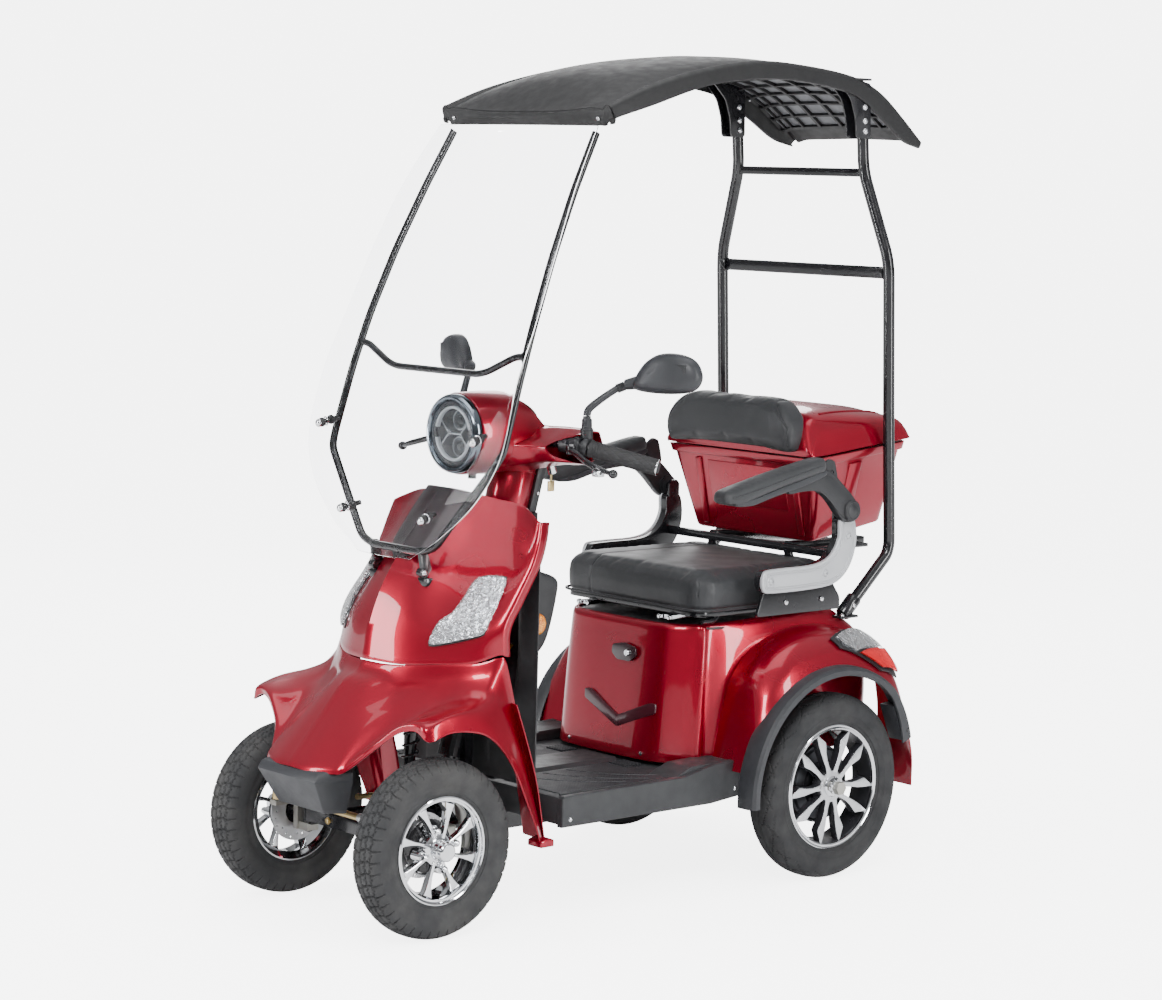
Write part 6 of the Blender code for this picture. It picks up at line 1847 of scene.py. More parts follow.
def grips():
    across = BAR_RUN.cross(Vector((0, 0, 1))).normalized()
    up = across.cross(BAR_RUN)
    length = (BAR_END - BAR_START).length + 0.0040
    around, steps = 96, 120
    loops = []
    for i in range(steps + 1):
        along = length * i / steps
        loop = []
        for k in range(around):
            angle = 2 * pi * k / around
            if along < 0.0040:
                radius = 0.0186
            elif along < 0.0300:
                radius = 0.0166 + 0.0012 * (0.5 + 0.5 * cos(2 * pi * along / 0.0052))
            elif along > length - 0.0060:
                radius = 0.0168
            else:
                radius = 0.0158 + grip_height(angle, along)
            loop.append(BAR_START + BAR_RUN * along + (across * cos(angle) + up * sin(angle)) * radius)
        loops.append(loop)
    grip = lofted("grip_rubber_left", loops)
    put_pair(grip, "handlebar", GRIP_RUBBER, "grip_left", 50, ("throttle", "throttle_grip"))
    end = BAR_START + BAR_RUN * length
    rim = rod("grip_end_ring_left", end - BAR_RUN * 0.0010, end + BAR_RUN * 0.0028, 0.0166, segments=48,
              bevel=0.0012)
    put_pair(rim, "handlebar", CHROME, right=("throttle", ()))
    plug = rod("grip_end_plug_left", end + BAR_RUN * 0.0020, end + BAR_RUN * 0.0040, 0.0120, segments=40,
               bevel=0.0008)
    put_pair(plug, "handlebar", BLACK_PLASTIC, right=("throttle", ()))


def levers():
    boss = Vector((0.1960, -0.2335, 0.9455))
    blade = rod_path("blade",
                     [(0.1760, -0.2270, 0.9460), boss, (0.2300, -0.2440, 0.9380),
                      (0.2700, -0.2545, 0.9270),
                               (0.3000, -0.2560, 0.9190), (0.3240, -0.2510, 0.9130),
                      (0.3330, -0.2480, 0.9110)],
                     [(0.0050, 0.0060), (0.0090, 0.0070), (0.0060, 0.0066), (0.0052, 0.0062),
                      (0.0050, 0.0060),
                      (0.0046, 0.0050), (0.0046, 0.0050)], 48, 20)
    tip = ball("tip", (0.3380, -0.2460, 0.9100), (0.0098, 0.0098, 0.0092), 28, 16)
    hub = rod("hub", boss - Vector((0, 0, 0.0085)), boss + Vector((0, 0, 0.0085)), 0.0100, segments=32,
              bevel=0.001)
    lever = merged("brake_lever_blade_left", [blade, tip, hub])
    put_pair(lever, "lever_left", BLACK_PAINT,
             "brake_lever_left")
    pin = rod("lever_pin_left", boss + Vector((0, 0, 0.0080)), boss + Vector((0, 0, 0.0115)), 0.0045,
              segments=6)
    put_pair(pin, "lever_left", STEEL)
    clip = merged("parking_clip",
                  [block("clip", (0.2960, -0.2660, 0.9020), (0.3160, -0.2480, 0.9150), 0.0020),
                                   rod("clip_pin", (0.3060, -0.2660, 0.9085), (0.3060, -0.2700, 0.9085),
                                       0.0035,
                                       segments=20, bevel=0.0006)])
    put(clip, "lever_left", BRIGHT_ALLOY)


MIRROR_OUTLINE = ((0.010, -0.004), (0.022, 0.020), (0.040, 0.042), (0.066, 0.057), (0.098, 0.0605),
                  (0.130, 0.055),
                  (0.151, 0.042), (0.1615, 0.020), (0.159, 0.002), (0.147, -0.012), (0.124, -0.0195),
                  (0.090, -0.0225),
                  (0.055, -0.0225), (0.026, -0.0200), (0.012, -0.0150))


def mirror_layer(outline, inward, depth):
    """The head's outline pulled in and moved along its thickness, in the handlebar's space."""
    turn = radians(20)
    along, forward = Vector((cos(turn), sin(turn), 0)), Vector((sin(turn), -cos(turn), 0))
    neck = Vector((0.2540, -0.1310, 1.0880))
    middle_s = sum(p[0] for p in outline) / len(outline)
    middle_t = sum(p[1] for p in outline) / len(outline)
    result = []
    for s, t in outline:
        s, t = middle_s + (s - middle_s) * inward, middle_t + (t - middle_t) * inward
        result.append(neck + along * s + forward * depth + Vector((0, 0, t)))
    return result


def mirrors():
    stem_points = [(0.2000, -0.1960, 1.0060), (0.2000, -0.1960, 1.0180), (0.2030, -0.1915, 1.0300),
                   (0.2180, -0.1730, 1.0500), (0.2360, -0.1510, 1.0700), (0.2470, -0.1375, 1.0800)]
    stem = merged("mirror_arm_stem_left", [
        rod_path("arm", stem_points,
                 [(0.0085, 0.0085), (0.0080, 0.0080), (0.0078, 0.0078), (0.0074, 0.0074),
                                      (0.0070, 0.0070), (0.0066, 0.0066)], 40, 20),
        rod("base", (0.2000, -0.1960, 0.9856), (0.2000, -0.1960, 1.0080), 0.0112, 0.0104, 8, 0.0008),
        rod("flange", (0.2000, -0.1960, 0.9856), (0.2000, -0.1960, 0.9890), 0.0135, segments=40,
            bevel=0.0008)])
    put_pair(stem, "mirror_arm_left", GREY_PLASTIC,
             "mirror_stem_left")
    run = (Vector((0.2600, -0.1230, 1.0860)) - Vector((0.2360, -0.1510, 1.0700))).normalized()
    joint = [ring("rib", Vector((0.2380, -0.1485, 1.0712)) + run * (0.0034 * k), run, 0.0078, 0.0020, 32,
                  8)
             for k in range(5)]
    put_pair(merged("mirror_joint_left", joint), "mirror_arm_left", BLACK_PLASTIC)
    outline = smooth_outline(MIRROR_OUTLINE, 5)
    layers = [mirror_layer(outline, inward, depth) for inward, depth in
              ((0.960, -0.0110), (0.992, -0.0090), (1.000, -0.0040), (0.995, 0.0030), (0.965, 0.0095),
               (0.900, 0.0155),
               (0.780, 0.0205), (0.600, 0.0240), (0.380, 0.0258), (0.120, 0.0265))]
    cap = lofted("cap", layers)
    root = rod("root", (0.2470, -0.1375, 1.0790), (0.2690, -0.1210, 1.0850), 0.0105, 0.0140, 28, 0.003)
    put_pair(merged("mirror_back_left", [cap, root]), "mirror_glass_left", GREY_PLASTIC,
             "mirror_head_left", 45)
    glass = lofted("mirror_pane_left",
                   [mirror_layer(outline, 0.930, depth) for depth in (-0.0125, -0.0100)])
    put_pair(glass, "mirror_glass_left", MIRROR_GLASS)
    plaque_outline = ((0.093, 0.0420), (0.137, 0.0395), (0.137, 0.0225), (0.092, 0.0245))
    low = mirror_layer(plaque_outline, 1.0, 0.0120)
    high = mirror_layer(plaque_outline, 1.0, 0.0232)
    plaque = frozen(rounded(lofted("mirror_plaque_left", [low, high]), 0.0010, 2))
    put_pair(plaque, "mirror_glass_left", BLACK_PLASTIC)


handlebar_cover()
instrument()
column_shroud()
headlamp()
switches()
grips()
levers()
mirrors()


# ---- seat, armrests and trunk -------------------------------------------------------------
def puffed(base, cap, voxel=0.0055, pressure=4.0):
    """Padding by cloth simulation: the shape is blown up under its cover, by no more than the cap."""
    name = base.name
    made = frozen(modify(base, "REMESH", mode="VOXEL", voxel_size=voxel))
    made.name = name
    start = [vertex.co.copy() for vertex in made.data.vertices]
    cloth = made.modifiers.new("cloth", "CLOTH").settings
    cloth.quality = 5
    cloth.mass = 0.3
    cloth.tension_stiffness = 12
    cloth.compression_stiffness = 12
    cloth.shear_stiffness = 4
    cloth.bending_stiffness = 0.6
    cloth.use_pressure = True
    cloth.uniform_pressure_force = pressure
    cloth.effector_weights.gravity = 0
    scene = bpy.context.scene
    for frame_number in range(1, 21):
        scene.frame_set(frame_number)
    blown = made.evaluated_get(bpy.context.evaluated_depsgraph_get()).to_mesh()
    moved = [vertex.co.copy() for vertex in blown.vertices]
    made.evaluated_get(bpy.context.evaluated_depsgraph_get()).to_mesh_clear()
    made.modifiers.clear()
    scene.frame_set(1)
    for vertex, before, after in zip(made.data.vertices, start, moved):
        shift = after - before
        vertex.co = before + shift * min(1.0, cap / max(shift.length, 1e-9))
    modify(made, "SUBSURF", levels=1, render_levels=1)
    made = frozen(made)
    made.name = name
    return made


def dented(made, depth_at):
    """Press the surface in along its normals, by the depth the function gives for each point."""
    for vertex in made.data.vertices:
        depth = depth_at(vertex.co, vertex.normal)
        if depth:
            vertex.co -= vertex.normal * depth
    return made


def piping(name, made, points, towards, radius=0.0011, lift=0.0002):
    """A sewn line laid on the surface: each point is dropped onto it."""
    tree = BVHTree.FromPolygons([v.co for v in made.data.vertices],
                                [tuple(p.vertices) for p in made.data.polygons])
    towards = Vector(towards).normalized()
    laid = []
    for i in range(61):
        place = spline_point([Vector(p) for p in points], i / 60)
        hit, normal, _, _ = tree.ray_cast(place - towards * 0.08, towards)
        if hit is not None:
            laid.append(hit + normal * lift)
    return pipe(name, laid, radius, sides=8)


def round_block(low, high, corner, crown=0.0):
    """A slab with rounded plan corners and a soft upper edge, as closed loops from the bottom up."""
    (x0, y0, z0), (x1, y1, z1) = low, high
    levels = ((0.0, 0.010), (0.12, 0.002), (0.5, 0.0), (0.78, 0.003), (0.92, 0.014), (1.0, 0.034))
    loops = []
    for share, inset in levels:
        a, b, c, d = x0 + inset, y0 + inset, x1 - inset, y1 - inset
        corners = [(a, b), (c, b), (c, d), (a, d)]
        z = z0 + (z1 - z0) * share + crown * (share == 1.0)
        loops.append([(p[0], p[1], z) for p in round_corners(corners, max(corner - inset, 0.012), 6)])
    return loops


def cushion():
    base = lofted("seat_cushion_pad",
                  round_block((-0.2300, 0.1100, 0.5830), (0.2300, 0.5400, 0.6660), 0.060, 0.002))
    pad = puffed(base, 0.0065)
    seam_x = -0.1250

    def depth_at(place, normal):
        near = max(0.0, 1 - abs(place.x - seam_x) / 0.006)
        pleat = 0.0
        if place.y < 0.20 and place.x > 0.15:
            corner = Vector((0.2000, 0.1350, place.z))
            off_line = abs((place - corner).normalized().angle(Vector((0.55, -0.84, 0)), 9))
            pleat = 0.0035 * max(0.0, 1 - off_line / 0.10) * max(0.0, min(1.0, (0.664 - place.z) / 0.03))
        return 0.0022 * near * near * (normal.z > 0.2 or normal.y < -0.5) + pleat

    dented(pad, depth_at)
    put(pad, "seat", LEATHER, "seat_cushion", 0)
    line = piping("seat_seam", pad, [(seam_x, 0.125, 0.66), (seam_x, 0.33, 0.66), (seam_x, 0.53, 0.66)],
                  (0, 0, -1))
    put(line, "seat", LEATHER)
    edge_points = [(p[0], p[1], 0.5900) for p in
                   round_corners([(-0.228, 0.112), (0.228, 0.112), (0.228, 0.538), (-0.228, 0.538)],
                                 0.055, 8)]
    put(pipe("seat_cushion_welt", edge_points, 0.0030, sides=10, closed=True), "seat", LEATHER)
    tray = flat_plate("seat_tray",
                      round_corners([(-0.215, 0.125), (0.215, 0.125), (0.215, 0.530), (-0.215, 0.530)],
                                                 0.03, 6), 0.5740, 0.5860, 0.002, 2, "XY")
    put(tray, "seat", BLACK_PAINT)


def backrest():
    rows = ((0.9130, 0.186, 0.408, 0.436), (0.9200, 0.196, 0.399, 0.442), (0.9450, 0.199, 0.395, 0.450),
            (0.9750, 0.193, 0.397, 0.460), (1.0000, 0.176, 0.404, 0.466), (1.0180, 0.152, 0.414, 0.468),
            (1.0280, 0.124, 0.426, 0.464))
    loops = []
    for z, half, front, rear in rows:
        corners = [(-half, front), (half, front), (half, rear), (-half, rear)]
        loops.append([(x, y - 0.010 * (1 - (x / 0.2) ** 2) * (y < 0.43), z)
                      for x, y in round_corners(corners, min(0.020, (rear - front) * 0.45), 5)])
    base = lofted("backrest_cushion", between(loops, 18))
    pad = puffed(base, 0.0060, 0.0050)

    def depth_at(place, normal):
        arc = 0.188 - max(0.0, (place.z - 0.965)) * 0.9
        near = max(0.0, 1 - abs(abs(place.x) - arc) / 0.006)
        return 0.0022 * near * near * (normal.y < 0.4)

    dented(pad, depth_at)
    put(pad, "lid", LEATHER, "backrest_pad", 0)
    for side, word in SIDES:
        points = [(side * (0.188 - max(0.0, z - 0.965) * 0.9), 0.40, z) for z in (0.928, 0.945, 0.965,
                                                                                  0.985, 1.005)]
        put(piping("backrest_seam_" + word, pad, points, (0, 1, 0)), "lid", LEATHER)
        plate = block("backrest_mount_" + word, (side * 0.11 - 0.02, 0.430, 0.925),
                      (side * 0.11 + 0.02, 0.452, 0.975),
                      0.003)
        put(plate, "lid", BLACK_PAINT)


ARM_PAD = ((0.110, 0.826), (0.105, 0.838), (0.112, 0.852), (0.150, 0.862), (0.230, 0.880), (0.320, 0.898),
           (0.392, 0.911), (0.404, 0.906), (0.407, 0.892), (0.402, 0.880), (0.340, 0.866), (0.260, 0.848),
           (0.190, 0.830), (0.150, 0.821))
ARM_TRAY = ((0.150, 0.819), (0.135, 0.822), (0.125, 0.828), (0.190, 0.834), (0.260, 0.851),
            (0.340, 0.869),
            (0.402, 0.883), (0.404, 0.872), (0.350, 0.856), (0.300, 0.845), (0.240, 0.832),
            (0.190, 0.820))
ARM_LINK = ((0.285, 0.842), (0.330, 0.846), (0.368, 0.846), (0.395, 0.838), (0.424, 0.815),
            (0.452, 0.785),
            (0.472, 0.770), (0.490, 0.767), (0.508, 0.774), (0.516, 0.790), (0.512, 0.806),
            (0.492, 0.828),
            (0.462, 0.853), (0.436, 0.874), (0.412, 0.886), (0.395, 0.884), (0.340, 0.868),
            (0.290, 0.856))
ARM_FIN = ((0.408, 0.884), (0.420, 0.896), (0.434, 0.905), (0.446, 0.903), (0.455, 0.894), (0.464, 0.850),
           (0.440, 0.856), (0.420, 0.868))


def armrests():
    base = flat_plate("armrest_pad_left", smooth_outline(ARM_PAD, 4), 0.2610, 0.3060, 0.013, 4)
    pad = puffed(frozen(base), 0.0035, 0.0040)
    pad.name = "armrest_pad_left"
    line = piping("armrest_seam_left", pad, [(0.32, y, z) for y, z in
                                             ((0.125, 0.839), (0.190, 0.851), (0.260, 0.866),
                                              (0.330, 0.882),
                                              (0.392, 0.895))], (-1, 0, 0), 0.0010)
    body = "arm_left"
    pads = put_pair(pad, body, LEATHER, "armrest_left", 0)
    put_pair(line, body, LEATHER)
    tray = frozen(flat_plate("armrest_tray_left", smooth_outline(ARM_TRAY, 4), 0.2640, 0.3030, 0.003, 3))
    put_pair(tray, body, GREY_PLASTIC)
    link = frozen(flat_plate("link", smooth_outline(ARM_LINK, 4), 0.2815, 0.3000, 0.004, 3))
    web = frozen(flat_plate("web", smooth_outline(ARM_LINK, 4), 0.2840, 0.3020, 0.002, 2))
    web.data.transform(Matrix.Translation((0, 0.402, 0.824)) @ Matrix.Diagonal((1, 0.90, 0.80, 1))
                       @ Matrix.Translation((0, -0.402, -0.824)))
    cap = turned("cap", [(0.2780, 0.0), (0.2780, 0.0235), (0.3040, 0.0235), (0.3075, 0.0215),
                         (0.3085, 0.0190),
                         (0.3070, 0.0175), (0.3070, 0.0110), (0.3082, 0.0095), (0.3082, 0.0)],
                 (0, 0.490, 0.793), 56)
    fin = frozen(flat_plate("fin", smooth_outline(ARM_FIN, 4), 0.2760, 0.2830, 0.002, 3))
    put_pair(merged("armrest_link_left", [link, web, welded(cap), fin]), body, BLACK_PLASTIC)
    knob = button_head("armrest_bolt_left", (0.2830, 0.4430, 0.8760), (1, 0, 0), 0.0060, 0.0040)
    put_pair(knob, body, BLACK_PAINT)


SUPPORT = ((0.250, 0.627), (0.239, 0.636), (0.235, 0.651), (0.239, 0.667), (0.251, 0.676), (0.300, 0.678),
           (0.380, 0.679), (0.425, 0.687), (0.452, 0.705), (0.468, 0.735), (0.471, 0.775), (0.510, 0.775),
           (0.522, 0.748), (0.522, 0.712), (0.508, 0.674), (0.482, 0.646), (0.445, 0.631), (0.380, 0.626),
           (0.300, 0.625))


def inset_outline(outline, amount):
    """The outline moved inwards, square to its edges."""
    points = [Vector((*p, 0)) for p in outline]
    result = []
    for index, point in enumerate(points):
        run = (points[(index + 1) % len(points)] - points[index - 1]).normalized()
        result.append(point + Vector((-run.y, run.x, 0)) * amount)
    area = sum(a.x * b.y - b.x * a.y for a, b in zip(points, points[1:] + points[:1]))
    if area < 0:
        result = [point * 2 - moved for point, moved in zip(points, result)]
    return [(p.x, p.y) for p in result]


def arm_supports():
    outline = smooth_outline(SUPPORT, 5)
    cover = frozen(flat_plate("arm_cover_left", outline, 0.2800, 0.2890, 0.0035, 3))
    beads = [pipe("bead", [(0.2888, y, z) for y, z in inset_outline(outline, inset)], 0.0014, sides=8,
                  closed=True)
             for inset in (0.0080, 0.0125)]
    put_pair(merged("arm_cover_left", [cover, *beads]), "seat", SILVER_PLASTIC,
             "seat_frame", 50, ("seat", ()))
    bolts = []
    for y, z in ((0.2620, 0.6515), (0.4280, 0.6590), (0.4970, 0.7350)):
        bolts.append(button_head("bolt", (0.2888, y, z), (1, 0, 0), 0.0078, 0.0050))
        bolts.append(rod("washer", (0.2885, y, z), (0.2895, y, z), 0.0105, segments=32, bevel=0.0003))
    put_pair(merged("arm_cover_bolt_left", bolts), "seat", SILVER_PLASTIC)
    backing = [frozen(flat_plate("backing", inset_outline(outline, 0.0020), 0.2620, 0.2805, 0.002, 2)),
               frozen(flat_plate("plate", round_corners([(0.245, 0.5735), (0.500, 0.5735), (0.500, 0.600),
                                                         (0.470, 0.640), (0.270, 0.640)], 0.008, 4),
                                 0.2580, 0.2660, 0.001)),
               block("web", (0.2000, 0.3300, 0.5735), (0.2640, 0.4800, 0.5800), 0.001),
               frozen(flat_plate("lug", [(0.474, 0.770), (0.474, 0.800), (0.482, 0.808), (0.498, 0.808),
                                         (0.506, 0.800), (0.506, 0.770)], 0.2580, 0.2660, 0.001)),
               rod("pin", (0.2600, 0.490, 0.793), (0.3000, 0.490, 0.793), 0.0080, segments=28)]
    put_pair(merged("arm_bracket_left", backing), "seat", BLACK_PAINT)
    nut = [rod("nut", (0.2660, y, z), (0.2705, y, z), 0.0060, segments=6, bevel=0.0005)
           for y, z in ((0.330, 0.600), (0.440, 0.600))]
    put_pair(merged("arm_bracket_nut_left", nut), "seat", CHROME)


def seat_frame():
    bars = [block("front_bar", (-0.262, 0.4760, 0.6840), (0.262, 0.4880, 0.7020), 0.0025),
            block("shelf", (-0.160, 0.4860, 0.6860), (0.160, 0.7000, 0.6940), 0.0015)]
    for side in (-1, 1):
        bars.append(block("runner", (side * 0.120 - 0.014, 0.4860, 0.6900),
                          (side * 0.120 + 0.014, 0.7150, 0.7060),
                          0.002))
        bars.append(rod("stay", (side * 0.120, 0.482, 0.690), (side * 0.130, 0.505, 0.590), 0.0100,
                        segments=24))
    put(merged("trunk_carrier", bars), "seat", BLACK_PAINT)
    ends = []
    for x in (0.115, 0.145):
        for side in (-1, 1):
            ends.append(rod("end", (side * x, 0.108, 0.5690), (side * x, 0.100, 0.5690), 0.0055,
                            segments=6, bevel=0.0006))
    put(merged("seat_rail_bolts", ends), "chassis", CHROME)
    handle = pipe("seat_slide_lever",
                  [(0.150, 0.200, 0.5720), (0.205, 0.190, 0.5700), (0.232, 0.150, 0.5690),
                                       (0.234, 0.115, 0.5690)], 0.0040, 0.012, 16)
    put(handle, "seat", BLACK_PAINT)


def trunk_front(level):
    return 0.4890 + (0.4460 - 0.4890) * level


def trunk_half(level):
    return 0.1850 + (0.2300 - 0.1850) * level


def trunk_loop(level, grow, corner=0.022, drop=0.0):
    """A rounded rectangle round the box, between its floor (0) and its lip (1)."""
    front, half = trunk_front(level) - grow, trunk_half(level) + grow
    rear = 0.7130 + (0.7290 - 0.7130) * level + grow
    low_front, low_rear = 0.7110, 0.7460
    high_front, high_rear = 0.9000, 0.9310
    loop = []
    for x, y in round_corners([(-half, front), (half, front), (half, rear), (-half, rear)], corner, 6):
        share = (y - front) / (rear - front)
        low = low_front + (low_rear - low_front) * share
        high = high_front + (high_rear - high_front) * share
        loop.append((x, y, low + (high - low) * level + drop))
    return loop


def trunk():
    loops = [trunk_loop(0.0, -0.006, 0.018), trunk_loop(0.0, -0.001, 0.022, 0.002), trunk_loop(0.03, 0.0),
             trunk_loop(0.30, 0.0), trunk_loop(0.60, 0.0), trunk_loop(0.90, 0.0),
             trunk_loop(0.905, 0.0055),
             trunk_loop(0.91, 0.0060), trunk_loop(0.995, 0.0060), trunk_loop(1.0, 0.0050),
             trunk_loop(1.0, -0.0040),
             trunk_loop(0.95, -0.0040), trunk_loop(0.5, -0.0040), trunk_loop(0.0, -0.0040, 0.022, 0.004)]
    box = lofted("trunk_tub", loops)
    put(frozen(rounded(box, 0.0010, 2, 40)), "seat", RED, "trunk_box", 30)
    details = [trunk_front_plate("rib", x0, x1, 0.06, 0.86, 0.0045) for x0,
               x1 in ((-0.150, -0.132), (0.150, 0.168))]
    details.append(trunk_front_plate("panel", -0.112, 0.128, 0.34, 0.84, 0.0016))
    put(merged("trunk_front_ribs", details), "seat", RED, (), 30)
    sides = [trunk_side_plate(side, 0.560, 0.600, 0.08, 0.86, 0.0030) for side in (-1, 1)]
    put(merged("trunk_side_ribs", sides), "seat", RED, (), 30)


def trunk_front_plate(name, x0, x1, low, high, raised):
    """A raised strip on the box's sloping front."""
    def at(x, level, out):
        return (x, trunk_front(level) - out, 0.7110 + (0.9000 - 0.7110) * level)

    loops = [[at(x0, low, out), at(x1, low, out), at(x1, high, out),
              at(x0, high, out)] for out in (-0.002, raised)]
    return frozen(rounded(lofted(name, loops), min(0.003, raised * 0.9), 3))


def trunk_side_plate(side, y0, y1, low, high, raised):
    """A raised strip on the box's sloping side."""
    def at(y, level, out):
        half = trunk_half(level) + out
        share = (y - 0.47) / 0.25
        floor_z, lip_z = 0.7110 + 0.035 * share, 0.9000 + 0.031 * share
        return (side * half, y, floor_z + (lip_z - floor_z) * level)

    loops = [[at(y0, low, out), at(y1, low, out), at(y1, high, out),
              at(y0, high, out)] for out in (-0.002, raised)]
    return frozen(rounded(lofted("side_rib", loops), min(0.003, raised * 0.9), 3))


LID = Surface(LID_ROWS)


def trunk_lid():
    piece = LID.shell("trunk_lid_shell", 0.0035, 60, 84, bevel=0.0010)
    put(piece, "lid", RED, "trunk_lid", 30)
    for side, word in SIDES:
        points = [LID.at(0.53, 0.42 + 0.5 * i / 30, 0.0004) for i in range(31)]
        points = [Vector((side * p.x, p.y, p.z)) for p in points]
        put(pipe("trunk_lid_bead_" + word, points, 0.0024, sides=12), "lid", RED)
    latch = [block("latch", (-0.022, 0.7440, 0.9150), (0.022, 0.7580, 0.9520), 0.003),
             rod("latch_key", (0, 0.757, 0.936), (0, 0.761, 0.936), 0.006, segments=28, bevel=0.0008)]
    put(merged("trunk_latch", latch), "lid", BLACK_PLASTIC)


cushion()
backrest()
armrests()
arm_supports()
seat_frame()
trunk()
trunk_lid()


# ---- front axle, steering links and springs --------------------------------------------------
def lug(name, place, radius, half, axis="Y"):
    """A short eye or boss with rounded rims, lying along X, Y or Z."""
    way = {"X": Vector((1, 0, 0)), "Y": Vector((0, 1, 0)), "Z": Vector((0, 0, 1))}[axis]
    return rod(name, Vector(place) - way * half, Vector(place) + way * half, radius, segments=28,
               bevel=0.0008)


def bolt_head(name, place, way, across=0.0062, height=0.0048):
    place, way = Vector(place), Vector(way).normalized()
    return [rod(name + "_washer", place, place + way * 0.0012, across * 1.25, segments=24),
            rod(name, place + way * 0.0010, place + way * height, across, segments=6, bevel=0.0005)]


AXLE_Y, AXLE_Z = FRONT_HUB.y, FRONT_HUB.z
ROD_BOX = [Vector(corner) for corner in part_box("tie_rod")]
ROD_Y, ROD_Z = (ROD_BOX[0].y + ROD_BOX[1].y) / 2, (ROD_BOX[0].z + ROD_BOX[1].z) / 2
SWING_PIVOT_Y, SWING_PIVOT_Z = -0.37, 0.185
SWING_ARM_X, SHOCK_X = 0.092, 0.115
ROD_EYE_R = 0.0115
KINGPIN_X = ROD_BOX[1].x - ROD_EYE_R


def axle_beam():
    half, deep, high = 0.154, 0.0178, 0.0138
    tube = block("beam_tube", (-half, AXLE_Y - deep, AXLE_Z - high),
                 (half, AXLE_Y + deep, AXLE_Z + high), 0.0022)
    pieces = [tube]
    for side, _ in SIDES:
        x = side * KINGPIN_X
        pieces.append(lug("kingpin_boss", (x, AXLE_Y, AXLE_Z), 0.0125, 0.029, "Z"))
        pieces.append(rod("kingpin", (x, AXLE_Y, AXLE_Z - 0.0395), (x, AXLE_Y, AXLE_Z + 0.0395), 0.0078,
                          segments=24,
                          bevel=0.001))
        pieces.append(block("gusset", (x * 0.86 - 0.008, AXLE_Y - 0.0165, AXLE_Z - 0.020),
                            (x * 0.86 + 0.008, AXLE_Y + 0.0165, AXLE_Z + 0.020), 0.002))
        foot = side * SHOCK_X
        pieces += [block("shock_ear", (foot + turn * 0.0125 - 0.0022, AXLE_Y + 0.012, AXLE_Z + 0.010),
                         (foot + turn * 0.0125 + 0.0022, AXLE_Y + 0.036, AXLE_Z + 0.043),
                         0.0012) for turn in (-1, 1)]
        arm = pipe("swing_arm", [(side * 0.106, AXLE_Y, AXLE_Z), (side * 0.100, -0.50, AXLE_Z + 0.001),
                                 (side * SWING_ARM_X, SWING_PIVOT_Y, SWING_PIVOT_Z)], 0.0127, 0.03)
        pieces += [arm, lug("arm_eye", (side * SWING_ARM_X, SWING_PIVOT_Y, SWING_PIVOT_Z), 0.0185,
                            0.0115, "X")]
    put(merged("front_axle_assembly", pieces), "front_axle", BLACK_PAINT, "front_axle_beam", 30)
    bolts = []
    for side, _ in SIDES:
        x = side * KINGPIN_X
        bolts += bolt_head("kingpin_nut", (x, AXLE_Y, AXLE_Z + 0.0390), (0, 0, 1), 0.0100, 0.0075)
        bolts += bolt_head("shock_bolt", (side * 0.1300, AXLE_Y + 0.026, AXLE_Z + 0.0325), (side, 0, 0))
        bolts += bolt_head("beam_bolt", (side * 0.075, AXLE_Y - deep, AXLE_Z), (0, -1, 0))
    put(merged("front_axle_bolts", bolts), "front_axle", ZINC, sharp=30)
    covers = [block("beam_end", (side * half - 0.003, AXLE_Y - deep + 0.003, AXLE_Z - high + 0.003),
                    (side * half + 0.002, AXLE_Y + deep - 0.003, AXLE_Z + high - 0.003), 0.001) for side,
              _ in SIDES]
    put(merged("front_axle_plugs", covers), "front_axle", BLACK_PLASTIC)


def steering_links():
    reach = KINGPIN_X - 0.026
    ends = []
    for side, _ in SIDES:
        ends.append(rod("lock_nut", (side * reach, ROD_Y, ROD_Z), (side * (reach - 0.007), ROD_Y, ROD_Z),
                        0.0108,
                        segments=6, bevel=0.0008))
        ends.append(rod("sleeve", (side * (reach - 0.008), ROD_Y, ROD_Z),
                        (side * (reach - 0.030), ROD_Y, ROD_Z), 0.0090,
                        segments=24, bevel=0.0008))
        ends += [ring("thread", (side * (reach + 0.002 + 0.0024 * k), ROD_Y, ROD_Z), (1, 0, 0), 0.0070,
                      0.0008, 24, 6)
                 for k in range(4)]
    put(merged("tie_rod_fittings", ends), "tie_link", STEEL, sharp=30)


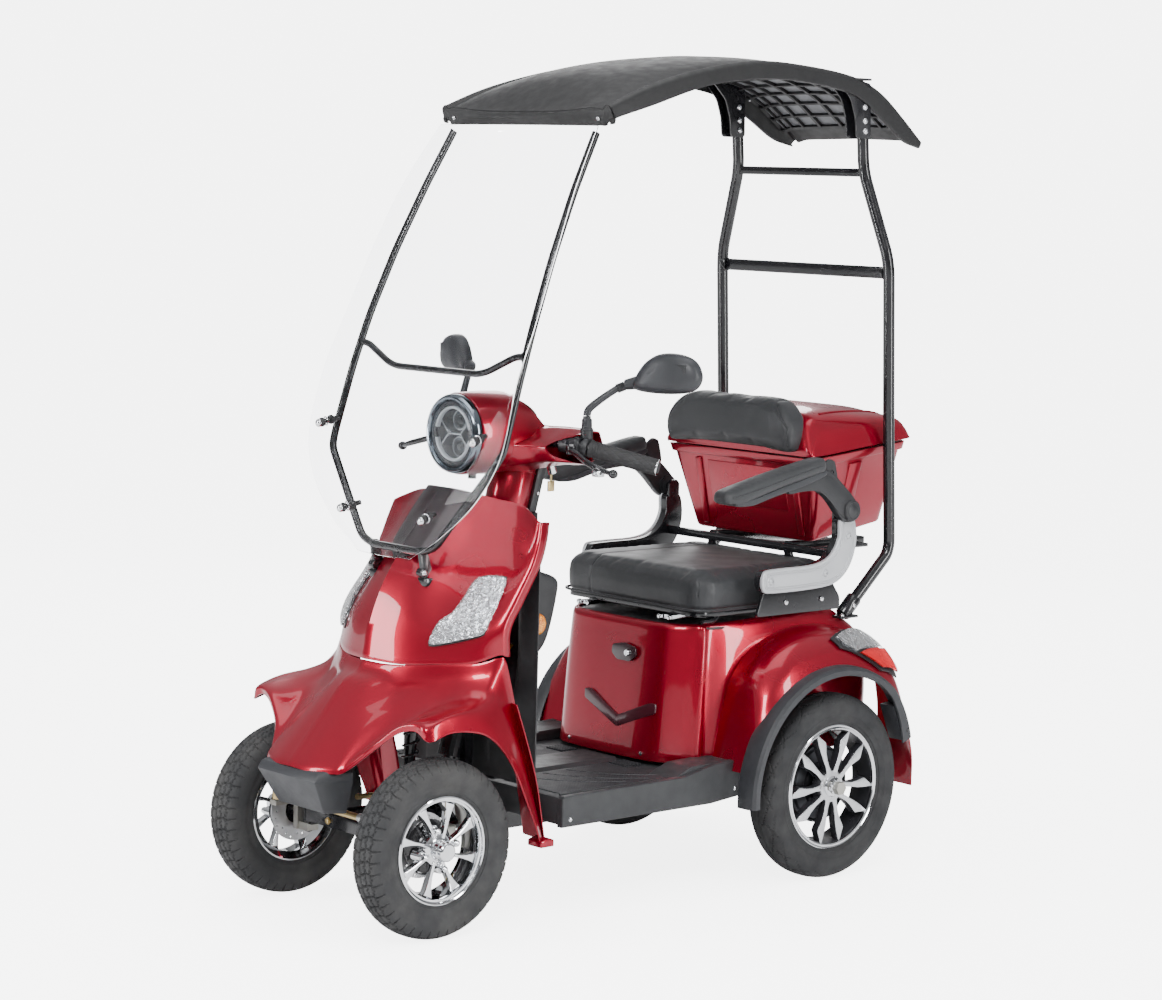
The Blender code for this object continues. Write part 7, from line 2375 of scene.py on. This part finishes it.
def knuckle(side, word):
    body = "knuckle_" + word
    x = side * 0.1865
    pieces = bolt_head("upper_bolt", (side * 0.1945, AXLE_Y + 0.010, AXLE_Z + 0.024), (side, 0, 0),
                       0.0052, 0.0042)
    pieces += bolt_head("lower_bolt", (side * 0.1945, AXLE_Y - 0.010, AXLE_Z - 0.024), (side, 0, 0),
                        0.0052, 0.0042)
    put(merged("knuckle_bolts_" + word, pieces), body, ZINC, sharp=30)
    centre = Vector((side * (FRONT_HUB.x - 0.0330), AXLE_Y + 0.064, AXLE_Z + 0.010))
    width = Vector((0.0125, 0.0150, 0.0240))
    caliper = [block("caliper", centre - width, centre + width, 0.005, 3),
               lug("piston", centre + Vector((side * -0.016, 0, 0)), 0.0115, 0.006, "X"),
               block("caliper_arm", (min(x, centre.x) - 0.003, AXLE_Y + 0.012, AXLE_Z - 0.006),
                     (max(x, centre.x) - 0.014, AXLE_Y + 0.054, AXLE_Z + 0.010), 0.002)]
    slot = block("disc_gap", (centre.x - 0.0036, centre.y - 0.04, centre.z - 0.05),
                 (centre.x + 0.0036, centre.y + 0.004, centre.z + 0.05))
    caliper[0] = carved(caliper[0], slot)
    put(merged("front_caliper_" + word, caliper), body, CAST, sharp=30)


def spring(word):
    """The coil, wound inside the spring node's box; it is attached to no body."""
    low, high = (Vector(corner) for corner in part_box("front_spring_" + word))
    wire = 0.0024
    radius = (high.x - low.x) / 2 - wire
    centre = (low + high) / 2
    foot = Vector((centre.x, low.y + radius + wire, low.z + wire))
    head = Vector((centre.x, high.y - radius - wire, high.z - wire))
    turns, steps = 7, 24
    line = []
    for k in range(turns * steps + 1):
        t, a = k / (turns * steps), 2 * pi * k / steps
        line.append(foot.lerp(head, t) + Vector((radius * cos(a), radius * sin(a), 0)))
    coil = pipe("front_coil_" + word, line, wire, sides=12)
    put(coil, None, BLACK_PAINT, "front_spring_" + word, 0)
    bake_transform(coil)


axle_beam()
steering_links()
for knuckle_side, knuckle_word in SIDES:
    knuckle(knuckle_side, knuckle_word)
    spring(knuckle_word)


# ---- CAD nodes that stay as they are ----------------------------------------------------
KEPT = {
    "battery_pack": BLACK_PLASTIC,
    "rear_axle_case": CAST,
    "main_frame": BLACK_PAINT,
    "seat_rails": CHROME,
    "steering_column": BLACK_PAINT,
    "front_knuckle": CAST,
    "front_shock_rod": BRIGHT_ALLOY,
    "front_shock_body": BLACK_PAINT,
    "front_spring": BLACK_PAINT,
    "tie_rod": ZINC,
    "drag_link": ZINC,
}
for node in nodes:
    if nodes[node].hide_render:
        continue
    family = node.removesuffix("_left").removesuffix("_right")
    if family in KEPT:
        repaint(node, KEPT[family])
